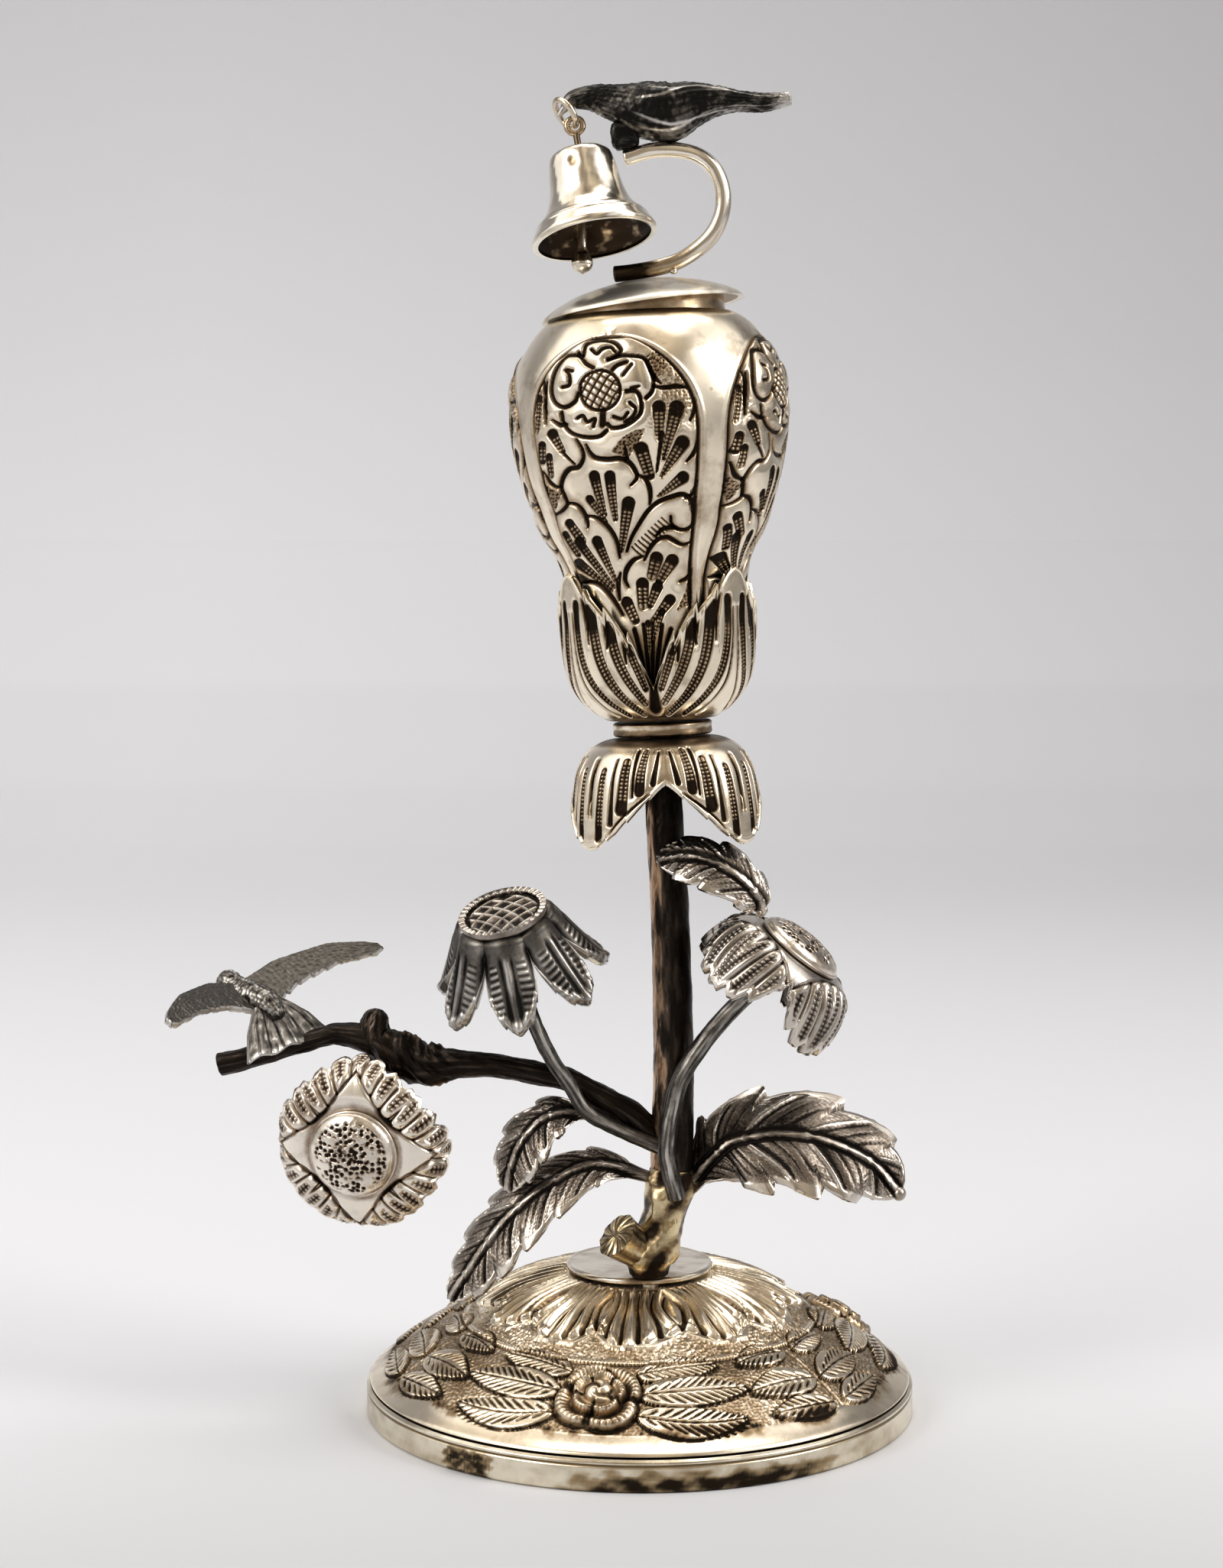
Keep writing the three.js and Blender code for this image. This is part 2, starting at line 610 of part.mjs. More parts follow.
function hexNut(acrossFlats, thickness, hole) {
  const corner = acrossFlats / Math.sqrt(3);
  const outline = new THREE.Shape();
  for (let i = 0; i < 6; i += 1) {
    const angle = (i / 6) * Math.PI * 2;
    const place = [Math.cos(angle) * corner, Math.sin(angle) * corner];
    if (i === 0) outline.moveTo(...place);
    else outline.lineTo(...place);
  }
  outline.closePath();
  const bore = new THREE.Path();
  bore.absarc(0, 0, hole, 0, Math.PI * 2, true);
  outline.holes.push(bore);
  return new THREE.ExtrudeGeometry(outline, { depth: thickness, bevelEnabled: false, curveSegments: ROUND_SMALL });
}

const object = new THREE.Group();
const tower = new THREE.Group(); // its origin is on the foot's axis, at the table
object.add(tower);

// Foot: a plain band, a domed sheet on it, a flat plate on the dome

const domeSeat = BAND_HEIGHT + SEAT_GAP;
const domeTop = domeSeat + DOME_RISE;
const plateBottom = domeTop + SEAT_GAP;
const plateTop = plateBottom + PLATE_THICKNESS;

const footBand = revolve([
  [FOOT_RADIUS - BAND_WALL, 0], [FOOT_RADIUS, 0], [FOOT_RADIUS, BAND_HEIGHT - BAND_BEVEL],
  [FOOT_RADIUS - BAND_BEVEL, BAND_HEIGHT], [FOOT_RADIUS - BAND_WALL, BAND_HEIGHT],
], ROUND_LARGE);

const domeCurve = domeOutlineShares.map(([radius, rise]) => [radius * FOOT_RADIUS, domeSeat + rise * DOME_RISE]);
const studHole = cylinder(STUD_RADIUS + STUD_PLAY, domeTop - FOOT_SHEET - CUT_OVERRUN, plateTop + CUT_OVERRUN, ROUND_SMALL)
  .translate(ROOT_ACROSS, -ROOT_FORWARD, 0);
const footDome = cut(
  revolve(shellOutline([...domeCurve, [0, domeTop]], FOOT_SHEET), ROUND_LARGE),
  studHole,
);

const topPlate = cut(
  revolve([
    [0, plateBottom], [PLATE_RADIUS, plateBottom], [PLATE_RADIUS, plateTop - PLATE_BEVEL],
    [PLATE_RADIUS - PLATE_BEVEL, plateTop], [0, plateTop],
  ], ROUND_MEDIUM).translate(0, PLATE_SET_BACK, 0),
  studHole,
);

// Stud, washer and nut under the dome

const washerTop = domeTop - FOOT_SHEET - SEAT_GAP;
const nutTop = washerTop - WASHER_THICKNESS - SEAT_GAP;
const studBottom = nutTop - NUT_THICKNESS - STUD_PAST_NUT;
const footStud = cylinder(STUD_RADIUS, studBottom, plateTop, ROUND_SMALL);
const footWasher = revolve([
  [STUD_RADIUS + STUD_PLAY, washerTop - WASHER_THICKNESS], [WASHER_RADIUS, washerTop - WASHER_THICKNESS],
  [WASHER_RADIUS, washerTop], [STUD_RADIUS + STUD_PLAY, washerTop],
], ROUND_SMALL * 2);
const footNut = hexNut(NUT_ACROSS_FLATS, NUT_THICKNESS, STUD_RADIUS + STUD_PLAY)
  .translate(0, 0, nutTop - NUT_THICKNESS);
for (const part of [footStud, footWasher, footNut]) part.translate(ROOT_ACROSS, -ROOT_FORWARD, 0);

// Root with its cut stub, and the stem that stands on it

const rightward = new THREE.Vector3(1, 0, 0);
const backward = new THREE.Vector3(0, 1, 0);

const rootFoot = new THREE.Vector3(ROOT_ACROSS, -ROOT_FORWARD, plateTop + SEAT_GAP);
const rootRod = (extra) => rodAlong(placesAlong(rootFoot, rootPathShares, ROOT_HEIGHT), {
  depth: (place) => valueAt(rootGirthShares, place) * ROOT_RADIUS + extra,
  side: rightward, sides: 12, steps: 12,
});
const stub = rodAlong(placesAlong(rootFoot, stubPathShares, STUB_REACH), {
  depth: (place) => valueAt(stubGirthShares, place) * STUB_RADIUS,
  side: backward, sides: 12, steps: 4,
});
const stemRoot = join(rootRod(0), stub);

const stemFoot = placesAlong(rootFoot, rootPathShares, ROOT_HEIGHT).at(-1).add(new THREE.Vector3(0, 0, SEAT_GAP));
const stemPlaces = placesAlong(stemFoot, stemPathShares, STEM_HEIGHT);
const stemCurve = new THREE.CatmullRomCurve3(stemPlaces, false, 'centripetal');
const stemRod = (extra) => rodAlong(stemPlaces, {
  depth: (place) => THREE.MathUtils.lerp(STEM_RADIUS, STEM_TOP_RADIUS, place) + extra,
  side: rightward, sides: 14, steps: 10,
});
const mainStem = stemRod(0);
const stemClear = stemRod(SOLDER_GAP);
const rootClear = rootRod(SOLDER_GAP);

// What keeps clear of the seam between the root and the stem
const seamClear = cylinder(ROOT_RADIUS * rootGirthShares.at(-1) + SOLDER_GAP, -STEM_RADIUS, STEM_RADIUS, ROUND_SMALL)
  .translate(...stemFoot.toArray());

// Where the stem's centre line is at a share of its height
const stemAt = (share) => {
  let place = 0;
  while (place < 1 && stemCurve.getPoint(place).z < stemFoot.z + share * STEM_HEIGHT) place += 1 / 64;
  return stemCurve.getPoint(place);
};

// Side branch, thick at the knuckle that the hanging flower's hook leaves, with a cut knob on top

const branchStart = stemAt(BRANCH_ROOT_SHARE).add(new THREE.Vector3(-STEM_RADIUS, 0, 0));
const branchPlaces = placesAlong(branchStart, branchPathShares, BRANCH_REACH);
const branchRod = (extra) => rodAlong(branchPlaces, {
  depth: (place) => valueAt(branchGirthShares, place) * BRANCH_RADIUS + extra,
  side: backward, sides: 8, steps: 22,
});
const knucklePlace = branchPlaces[9];
const knob = rodAlong([
  knucklePlace.clone(), knucklePlace.clone().add(new THREE.Vector3(0, 0, KNOB_HEIGHT)),
], { depth: KNOB_RADIUS, side: backward, sides: 8, steps: 1 });
const leftBranch = cut(join(branchRod(0), knob), stemClear);
const branchClear = join(branchRod(SOLDER_GAP));

// Bird on the branch: body, spread wings and a fan tail that is soldered to the branch

const flyerForward = new THREE.Vector3(...flyerHeadingShares).normalize();
const flyerUp = new THREE.Vector3(...flyerUpShares);
flyerUp.addScaledVector(flyerForward, -flyerUp.dot(flyerForward)).normalize();
const flyerFrame = new THREE.Matrix4().makeBasis(
  flyerForward, new THREE.Vector3().crossVectors(flyerUp, flyerForward), flyerUp,
).setPosition(vector(flyerPlaceShares, BRANCH_REACH).add(branchStart));
const flyerOrigin = new THREE.Vector3();
const flyerBody = rodAlong(placesAlong(flyerOrigin, flyerBodyShares, FLYER_LENGTH), {
  depth: (place) => valueAt(flyerGirthShares, place) * FLYER_GIRTH,
  side: backward, sides: 10, steps: 10,
});
const flyerWing = (hand) => sheet({
  turns: 8, spans: 2, thickness: FLYER_WING_SHEET,
  pointAt: (out, chord) => new THREE.Vector3(
    valueAt(flyerSweepShares, out) * FLYER_HALF_SPAN
      + (0.5 - chord) * valueAt(flyerChordShares, out) * FLYER_WING_CHORD,
    hand * out * FLYER_HALF_SPAN,
    valueAt(flyerRaiseShares, out) * FLYER_HALF_SPAN,
  ),
});
const flyerTailCurve = new THREE.CatmullRomCurve3(placesAlong(flyerOrigin, flyerTailShares, FLYER_LENGTH));
const flyerTail = sheet({
  turns: 4, spans: 2, thickness: FLYER_WING_SHEET,
  pointAt: (along, across) => flyerTailCurve.getPoint(along)
    .add(new THREE.Vector3(0, (across * 2 - 1) * valueAt(flyerTailWidthShares, along) * FLYER_TAIL_HALF_WIDTH, 0)),
});
const branchBird = cut(
  join(flyerBody, flyerWing(1), flyerWing(-1), flyerTail).applyMatrix4(flyerFrame),
  branchClear,
);

// Leaves at the foot of the stem and on the middle flower's stem

const leafAt = (start, startShares, size) => vector(startShares, size).add(start);
const tipBall = (path) => new THREE.SphereGeometry(LEAF_TIP_BALL_RADIUS, 8, 6)
  .translate(...path.at(-1).toArray());

const rightLeafPath = placesAlong(leafAt(stemFoot, [0.86, -0.2, -0.7], STEM_RADIUS), rightLeafPathShares, RIGHT_LEAF_REACH);
const rightLeaf = cut(join(leafSheet({
  path: rightLeafPath, halfWidth: RIGHT_LEAF_HALF_WIDTH,
  facing: new THREE.Vector3(0.1, -0.74, 0.66), droop: LEAF_SHEET * 1.8, lobes: LEAF_LOBES,
}), tipBall(rightLeafPath)), stemClear, rootClear, seamClear);

const frontLeafPath = placesAlong(leafAt(stemFoot, [-1.475, -0.43, -0.25], STEM_RADIUS), frontLeafPathShares, FRONT_LEAF_REACH);
const frontLeaf = cut(leafSheet({
  path: frontLeafPath, halfWidth: FRONT_LEAF_HALF_WIDTH,
  facing: new THREE.Vector3(-0.4, -0.62, 0.67), droop: LEAF_SHEET * 1.5, lobes: LEAF_LOBES + 1,
}), stemClear, rootClear, seamClear);

// Middle flower on its own stem, with a latticed disc over seven pointed petals

const middleStemPathStart = stemAt(0.066).add(new THREE.Vector3(-STEM_RADIUS, -STEM_RADIUS - MIDDLE_STEM_RADIUS / 2, 0));
const middlePlaces = placesAlong(middleStemPathStart, middleStemPathShares, MIDDLE_STEM_REACH);
const middleStemRod = (extra) => rodAlong(middlePlaces, {
  depth: MIDDLE_STEM_RADIUS + extra, side: backward, sides: 8, steps: 14,
});
const middleStemClear = middleStemRod(SOLDER_GAP);
const middleAxis = new THREE.Vector3(...middleFlowerAxisShares).normalize();
const middlePlace = vector(middleFlowerPlaceShares, MIDDLE_STEM_REACH).add(middleStemPathStart);
const middleFlower = aimedGroup(middlePlace, middleAxis);
tower.add(middleFlower);

const latticeDisc = revolve([
  [0, 0], [LATTICE_RADIUS * 0.96, 0], [LATTICE_RADIUS, LATTICE_THICKNESS * 0.4],
  [LATTICE_RADIUS * 0.97, LATTICE_THICKNESS], [LATTICE_RADIUS * 0.84, LATTICE_THICKNESS],
  [0, LATTICE_THICKNESS - LATTICE_DISH],
], ROUND_SMALL * 2 + 4);
const skirtOutline = (shares, radius, drop, hole) => {
  const hub = -SEAT_GAP - PETAL_SHEET / 2;
  return [[hole, hub], ...shares.map(([out, down]) => [out * radius, hub + down * drop])];
};
const pointedCorolla = petalSkirt({
  outline: skirtOutline(pointedSkirtShares, POINTED_FLOWER_RADIUS, POINTED_FLOWER_DROP, MIDDLE_STEM_RADIUS + SOLDER_GAP * 2),
  tips: evenTips(POINTED_PETALS, -Math.PI / 2), reach: Math.PI / POINTED_PETALS, notchShare: 0.5, pointing: 3,
  bulge: PETAL_BULGE, thickness: PETAL_SHEET, turns: POINTED_PETALS * 4, spans: 4,
});

// Right flower and hanging flower: a domed boss over four broad lobed petals

const domedBoss = () => {
  const rows = 4;
  const outline = [[0, 0], [BOSS_RADIUS, 0], [BOSS_RADIUS, BOSS_RIM]];
  for (let row = 1; row <= rows; row += 1) {
    const angle = (row / rows) * (Math.PI / 2);
    outline.push([(BOSS_RADIUS - BOSS_RIM) * Math.cos(angle), BOSS_RIM + (BOSS_RISE - BOSS_RIM) * Math.sin(angle)]);
  }
  return revolve(outline.slice(0, -1).concat([[0, BOSS_RISE]]), ROUND_SMALL * 2 + 4);
};
const lobedCorolla = (radius, drop, hole) => petalSkirt({
  outline: skirtOutline(lobedSkirtShares, radius, drop, hole),
  tips: evenTips(LOBED_PETALS, Math.PI / LOBED_PETALS), reach: Math.PI / LOBED_PETALS, notchShare: 0.66, pointing: 3,
  bulge: PETAL_BULGE, thickness: PETAL_SHEET, turns: LOBED_PETALS * 8, spans: 4,
});

const rightStemStart = stemFoot.clone().add(
  new THREE.Vector3(FLOWER_STEM_RADIUS / 2, -STEM_RADIUS - FLOWER_STEM_RADIUS - SEAT_GAP, -STEM_RADIUS - SEAT_GAP),
);
const rightPlaces = placesAlong(rightStemStart, rightStemPathShares, RIGHT_STEM_REACH);
const rightAxis = new THREE.Vector3(...rightFlowerAxisShares).normalize();
const rightFlower = aimedGroup(vector(rightFlowerPlaceShares, RIGHT_STEM_REACH).add(rightStemStart), rightAxis);
tower.add(rightFlower);

const hookPlaces = placesAlong(knucklePlace, hookPathShares, HOOK_REACH);
const hangingAxis = new THREE.Vector3(...hangingFlowerAxisShares).normalize();
const hangingFlower = aimedGroup(vector(hangingFlowerPlaceShares, HOOK_REACH).add(knucklePlace), hangingAxis);
tower.add(hangingFlower);
tower.updateMatrixWorld(true);

// Each flower's stem ends on its axis, just under the boss.
const stemUnder = (places, group, axis) => [
  ...places.slice(0, -1),
  group.position.clone().addScaledVector(axis, -LOBED_FLOWER_DROP / 2),
  group.position.clone().addScaledVector(axis, -SEAT_GAP),
];
const middleStem = cut(rodAlong(stemUnder(middlePlaces, middleFlower, middleAxis), {
  depth: MIDDLE_STEM_RADIUS, side: backward, sides: 8, steps: 16,
}), stemClear, branchClear);
const rightStem = cut(rodAlong(stemUnder(rightPlaces, rightFlower, rightAxis), {
  depth: FLOWER_STEM_RADIUS, side: backward, sides: 8, steps: 18,
}), stemClear, rootClear);
const hook = cut(rodAlong(stemUnder(hookPlaces, hangingFlower, hangingAxis), {
  depth: HOOK_RADIUS, side: rightward, sides: 8, steps: 12,
}), branchClear);
const hangingCorolla = cut(
  lobedCorolla(OPEN_FLOWER_RADIUS, OPEN_FLOWER_DROP, HOOK_RADIUS + SOLDER_GAP * 2),
  carriedOver(branchClear, tower, hangingFlower),
);
const rightCorolla = lobedCorolla(LOBED_FLOWER_RADIUS, LOBED_FLOWER_DROP, FLOWER_STEM_RADIUS + SOLDER_GAP * 2);

const backLeafStart = middlePlaces[2].clone()
  .add(new THREE.Vector3(MIDDLE_STEM_RADIUS / 2, MIDDLE_STEM_RADIUS, -MIDDLE_STEM_RADIUS));
const backLeaf = cut(leafSheet({
  path: placesAlong(backLeafStart, backLeafPathShares, BACK_LEAF_REACH), halfWidth: BACK_LEAF_HALF_WIDTH,
  facing: new THREE.Vector3(-0.5, -0.6, 0.62), droop: LEAF_SHEET, lobes: LEAF_LOBES - 1,
}), stemClear, branchClear, middleStemClear);

const curledLeafStart = new THREE.Vector3(-BOSS_RADIUS - LEAF_SHEET, 0, PETAL_SHEET)
  .applyMatrix4(rightFlower.matrixWorld);
const curledLeaf = cut(leafSheet({
  path: placesAlong(curledLeafStart, curledLeafPathShares, CURLED_LEAF_REACH), halfWidth: CURLED_LEAF_HALF_WIDTH,
  facing: new THREE.Vector3(0.3, -0.78, 0.6), droop: LEAF_SHEET * 1.4, lobes: LEAF_LOBES - 1,
}), stemClear, carriedOver(cylinder(BOSS_RADIUS + SOLDER_GAP, -SOLDER_GAP, BOSS_RISE + SOLDER_GAP, ROUND_MEDIUM), rightFlower, tower));

// Neck: calyx, ring, calyx, bud and lid share one leaning group

const neck = new THREE.Group();
neck.position.copy(stemPlaces.at(-1)).add(new THREE.Vector3(0, 0, SEAT_GAP));
neck.rotation.y = -radians(BUD_LEAN);
tower.add(neck);

const neckHole = STUD_RADIUS + STUD_PLAY;
const neckRing = revolve([[neckHole, 0], [RING_RADIUS, 0], [RING_RADIUS, RING_HEIGHT], [neckHole, RING_HEIGHT]], ROUND_MEDIUM);
const calyxOutline = (shares, radius, height, hole, seat) => [
  [hole, seat], ...shares.map(([out, along]) => [out * radius, seat + along * height]),
];
const calyx = (outline, tips) => petalSkirt({
  outline, tips: tips.map(radians), reach: radians(CALYX_GAP), notchShare: CALYX_NOTCH_SHARE, pointing: 1.15,
  bulge: PETAL_BULGE, thickness: CALYX_SHEET, turns: tips.length * 9, spans: 5,
});
const lowerCalyx = calyx(calyxOutline(
  lowerCalyxShares, LOWER_CALYX_RADIUS, LOWER_CALYX_DROP, STEM_TOP_RADIUS + SOLDER_GAP * 2, -SEAT_GAP - CALYX_SHEET / 2,
), lowerCalyxTips);
const upperCalyxSeat = RING_HEIGHT + SEAT_GAP + CALYX_SHEET / 2;
const upperCalyx = calyx(calyxOutline(
  upperCalyxShares, UPPER_CALYX_RADIUS, UPPER_CALYX_HEIGHT, neckHole, upperCalyxSeat,
), upperCalyxTips);

// Bud: a thin sheet with four raised arched panels between plain ribs, open at the mouth

const budSeat = upperCalyxSeat + CALYX_SHEET / 2 + SEAT_GAP;
const budCurve = budOutlineShares.map(([radius, height]) => [radius * BUD_RADIUS, budSeat + height * BUD_HEIGHT]);
const panelRise = (angle, height) => {
  const half = radians(PANEL_HALF_SPAN);
  const pitch = (Math.PI * 2) / PANEL_COUNT;
  const offset = THREE.MathUtils.euclideanModulo(angle - radians(PANEL_TURN) + pitch / 2, pitch) - pitch / 2;
  const archStart = PANEL_TOP_SHARE - PANEL_ARCH_SHARE;
  const arch = height < archStart ? 1
    : Math.sqrt(Math.max(0, 1 - ((height - archStart) / PANEL_ARCH_SHARE) ** 2));
  return Math.abs(offset) < half * arch && height > 0.02 ? PANEL_RAISE : 0;
};
const budRings = budOutlineShares.map(([radius, height], row) => {
  const ring = [];
  for (let panel = 0; panel < PANEL_COUNT; panel += 1) {
    const middle = radians(PANEL_TURN) + (panel / PANEL_COUNT) * Math.PI * 2;
    for (const share of panelColumnShares) {
      const angle = middle + share * radians(PANEL_HALF_SPAN);
      const out = radius * BUD_RADIUS + panelRise(angle, height);
      ring.push(new THREE.Vector3(Math.cos(angle) * out, Math.sin(angle) * out, budCurve[row][1]));
    }
  }
  return ring;
});
const budFloor = budSeat + BUD_WALL;
const budMouth = budSeat + BUD_HEIGHT;
const budInside = shellOutline(budCurve, BUD_WALL).slice(budCurve.length).reverse()
  .filter(([, height]) => height > budFloor + BUD_WALL && height < budMouth - BUD_WALL);
const budHollow = revolve([
  [0, budFloor], [budCurve[1][0] - BUD_WALL, budFloor], ...budInside,
  [MOUTH_RADIUS, budMouth - BUD_WALL], [MOUTH_RADIUS, budMouth + CUT_OVERRUN], [0, budMouth + CUT_OVERRUN],
], ROUND_MEDIUM - 4);
const budBody = cut(loft(budRings), budHollow, cylinder(neckHole, budSeat - CUT_OVERRUN, budFloor + CUT_OVERRUN, ROUND_SMALL));

// Stud up through the neck, with its nut on the bud's floor

const budNutSeat = budFloor + SEAT_GAP;
const neckStud = cylinder(STUD_RADIUS, 0, budNutSeat + NUT_THICKNESS + STUD_PAST_NUT, ROUND_SMALL);
const budNut = hexNut(NUT_ACROSS_FLATS, NUT_THICKNESS, neckHole).translate(0, 0, budNutSeat);

// Lid with its bezel, sitting askew in the mouth, and the scroll that it is lifted by

const lid = new THREE.Group();
lid.position.set(-LID_OFF_CENTRE, 0, budMouth + LID_SET);
lid.rotation.y = -radians(LID_TILT);
neck.add(lid);

const lidCurve = lidOutlineShares.map(([radius, rise]) => [radius * LID_RADIUS, rise * LID_RISE]);
const lidCover = revolve(shellOutline(lidCurve, LID_SHEET), ROUND_MEDIUM);
const lidHeightAt = (radius) => {
  const rows = lidCurve.map(([r, h]) => [LID_RADIUS - r, h]);
  return valueAt(rows, LID_RADIUS - radius);
};
const bezelTop = lidHeightAt(BEZEL_RADIUS) - LID_SHEET * 1.15 - SEAT_GAP;
const lidBezel = revolve([
  [BEZEL_RADIUS - BEZEL_WALL, -BEZEL_DEPTH], [BEZEL_RADIUS, -BEZEL_DEPTH],
  [BEZEL_RADIUS, bezelTop], [BEZEL_RADIUS - BEZEL_WALL, bezelTop],
], ROUND_MEDIUM);

const scrollPlaces = placesAlong(new THREE.Vector3(), scrollPathShares, SCROLL_SIZE);
const scrollRod = (extra) => rodAlong(scrollPlaces, {
  depth: SCROLL_RADIUS + extra, side: backward, sides: 8, steps: 22,
});
const lidClear = revolve(shellOutline(lidCurve, LID_SHEET).map(([r, h]) => [r, h + SOLDER_GAP]), ROUND_MEDIUM);
const scrollHandle = cut(scrollRod(0), lidClear);

// Bird that stands on the scroll with the bell's ring round its bill

const birdPlace = new THREE.Vector3().lerpVectors(scrollPlaces[1], scrollPlaces[2], 0.5)
  .add(new THREE.Vector3(0, 0, SCROLL_RADIUS + SEAT_GAP));
const birdBody = rodAlong(placesAlong(birdPlace, birdPathShares, BIRD_LENGTH), {
  depth: (place) => valueAt(birdDepthShares, place) * BIRD_GIRTH,
  breadth: (place) => valueAt(birdBreadthShares, place) * BIRD_GIRTH,
  side: backward, sides: 10, steps: 18,
});
const birdClaw = new THREE.SphereGeometry(BIRD_FOOT, 10, 6).scale(1, 0.75, 0.95)
  .translate(...leafAt(birdPlace, [-0.164, 0, 0.045], BIRD_LENGTH).toArray());
const topBird = cut(join(birdBody, birdClaw), scrollRod(SOLDER_GAP));

// Bill ring, and the bell that hangs from it with its clapper

const billLine = new THREE.Vector3(-Math.cos(radians(BILL_SLOPE)), 0, -Math.sin(radians(BILL_SLOPE)));
const billDown = new THREE.Vector3(-billLine.z, 0, billLine.x).negate();
if (billDown.z > 0) billDown.negate();
const billHang = vector(billHangShares, BIRD_LENGTH).add(birdPlace);
const billRing = new THREE.Group();
billRing.position.copy(billHang).addScaledVector(billDown, BILL_RING_DROP);
lid.add(billRing);
const beakRing = wireRing(BILL_RING_RADIUS, WIRE_RADIUS, billLine.clone()
  .applyAxisAngle(billDown, -radians(BILL_RING_TURN)));

const bell = new THREE.Group();
bell.position.copy(billDown).multiplyScalar(BILL_RING_RADIUS);
bell.rotation.order = 'YXZ';
bell.rotation.y = -radians(BELL_LEAN - BUD_LEAN - LID_TILT);
bell.rotation.x = -radians(BELL_TIP);
billRing.add(bell);

const crownHole = WIRE_RADIUS + SEAT_GAP;
const bellCurve = [
  ...bellOutlineShares.map(([radius, drop]) => [radius * BELL_RADIUS, -BELL_HANG - drop * BELL_HEIGHT]).reverse(),
  [crownHole, -BELL_HANG],
];
const bellBody = revolve(shellOutline(bellCurve, BELL_WALL), ROUND_MEDIUM - 4);
const eyeMiddle = -BELL_HANG - CLAPPER_EYE_DEPTH;
const bellLoop = join(
  wireRing(BELL_LOOP_RADIUS, WIRE_RADIUS, backward),
  cylinder(WIRE_RADIUS, eyeMiddle + CLAPPER_EYE_RADIUS, -BELL_LOOP_RADIUS, WIRE_SIDES),
  wireRing(CLAPPER_EYE_RADIUS, WIRE_RADIUS, rightward).translate(0, 0, eyeMiddle),
);

const clapper = new THREE.Group();
clapper.position.set(0, 0, eyeMiddle - CLAPPER_EYE_RADIUS);
bell.add(clapper);
object.updateMatrixWorld(true);
clapper.quaternion.copy(bell.getWorldQuaternion(new THREE.Quaternion()).invert());
const bobOutline = [
  [CLAPPER_ROD_RADIUS, -CLAPPER_LENGTH + CLAPPER_BOB_RADIUS * 1.1],
  [CLAPPER_BOB_RADIUS * 0.8, -CLAPPER_LENGTH + CLAPPER_BOB_RADIUS * 0.6],
  [CLAPPER_BOB_RADIUS, -CLAPPER_LENGTH], [CLAPPER_BOB_RADIUS * 0.75, -CLAPPER_LENGTH - CLAPPER_BOB_RADIUS * 0.66],
  [0, -CLAPPER_LENGTH - CLAPPER_BOB_RADIUS],
];
const clapperRod = join(
  wireRing(CLAPPER_EYE_RADIUS, WIRE_RADIUS, backward),
  revolve([
    [0, -CLAPPER_EYE_RADIUS], [CLAPPER_ROD_RADIUS, -CLAPPER_EYE_RADIUS], ...bobOutline,
  ], ROUND_SMALL),
);

// Every piece under its name, in the group that carries it

const pieces = [
  [tower, 'foot_band', footBand, 'polished'],
  [tower, 'foot_dome', footDome, 'chased'],
  [tower, 'foot_top_plate', topPlate, 'polished'],
  [tower, 'foot_stud', footStud, 'grey'],
  [tower, 'foot_washer', footWasher, 'grey'],
  [tower, 'foot_nut', footNut, 'grey'],
  [tower, 'stem_root', stemRoot, 'dark'],
  [tower, 'main_stem', mainStem, 'dark'],
  [tower, 'left_branch', leftBranch, 'dark'],
  [tower, 'branch_bird', branchBird, 'grey'],
  [tower, 'leaf_right', rightLeaf, 'leaf'],
  [tower, 'leaf_front_left', frontLeaf, 'leaf'],
  [tower, 'leaf_back_left', backLeaf, 'leaf'],
  [tower, 'middle_flower_stem', middleStem, 'grey'],
  [middleFlower, 'middle_flower_corolla', pointedCorolla, 'grey'],
  [middleFlower, 'middle_flower_disc', latticeDisc, 'leaf'],
  [tower, 'right_flower_stem', rightStem, 'grey'],
  [rightFlower, 'right_flower_corolla', rightCorolla, 'chased'],
  [rightFlower, 'right_flower_boss', domedBoss(), 'polished'],
  [tower, 'right_flower_leaf', curledLeaf, 'leaf'],
  [tower, 'hanging_flower_hook', hook, 'dark'],
  [hangingFlower, 'hanging_flower_corolla', hangingCorolla, 'leaf'],
  [hangingFlower, 'hanging_flower_boss', domedBoss(), 'polished'],
  [neck, 'lower_calyx', lowerCalyx, 'chased'],
  [neck, 'neck_ring', neckRing, 'polished'],
  [neck, 'upper_calyx', upperCalyx, 'chased'],
  [neck, 'neck_stud', neckStud, 'grey'],
  [neck, 'bud_nut', budNut, 'grey'],
  [neck, 'bud_body', budBody, 'chased'],
  [lid, 'lid', lidCover, 'polished'],
  [lid, 'lid_bezel', lidBezel, 'polished'],
  [lid, 'scroll_handle', scrollHandle, 'polished'],
  [lid, 'top_bird', topBird, 'grey'],
  [billRing, 'beak_ring', beakRing, 'polished'],
  [bell, 'bell', bellBody, 'polished'],
  [bell, 'bell_loop', bellLoop, 'polished'],
  [clapper, 'clapper', clapperRod, 'polished'],
];
for (const [carrier, name, geometry, finish] of pieces) carrier.add(piece(name, geometry, finish));

// Sets the origin under the middle of the whole outline.
const outline = new THREE.Box3().setFromObject(object, true);
const middle = outline.getCenter(new THREE.Vector3());
tower.position.set(-middle.x, -middle.y, 0);
object.updateMatrixWorld(true);

export default object;
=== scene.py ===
import math

import bpy
import numpy as np
from mathutils import Matrix, Vector


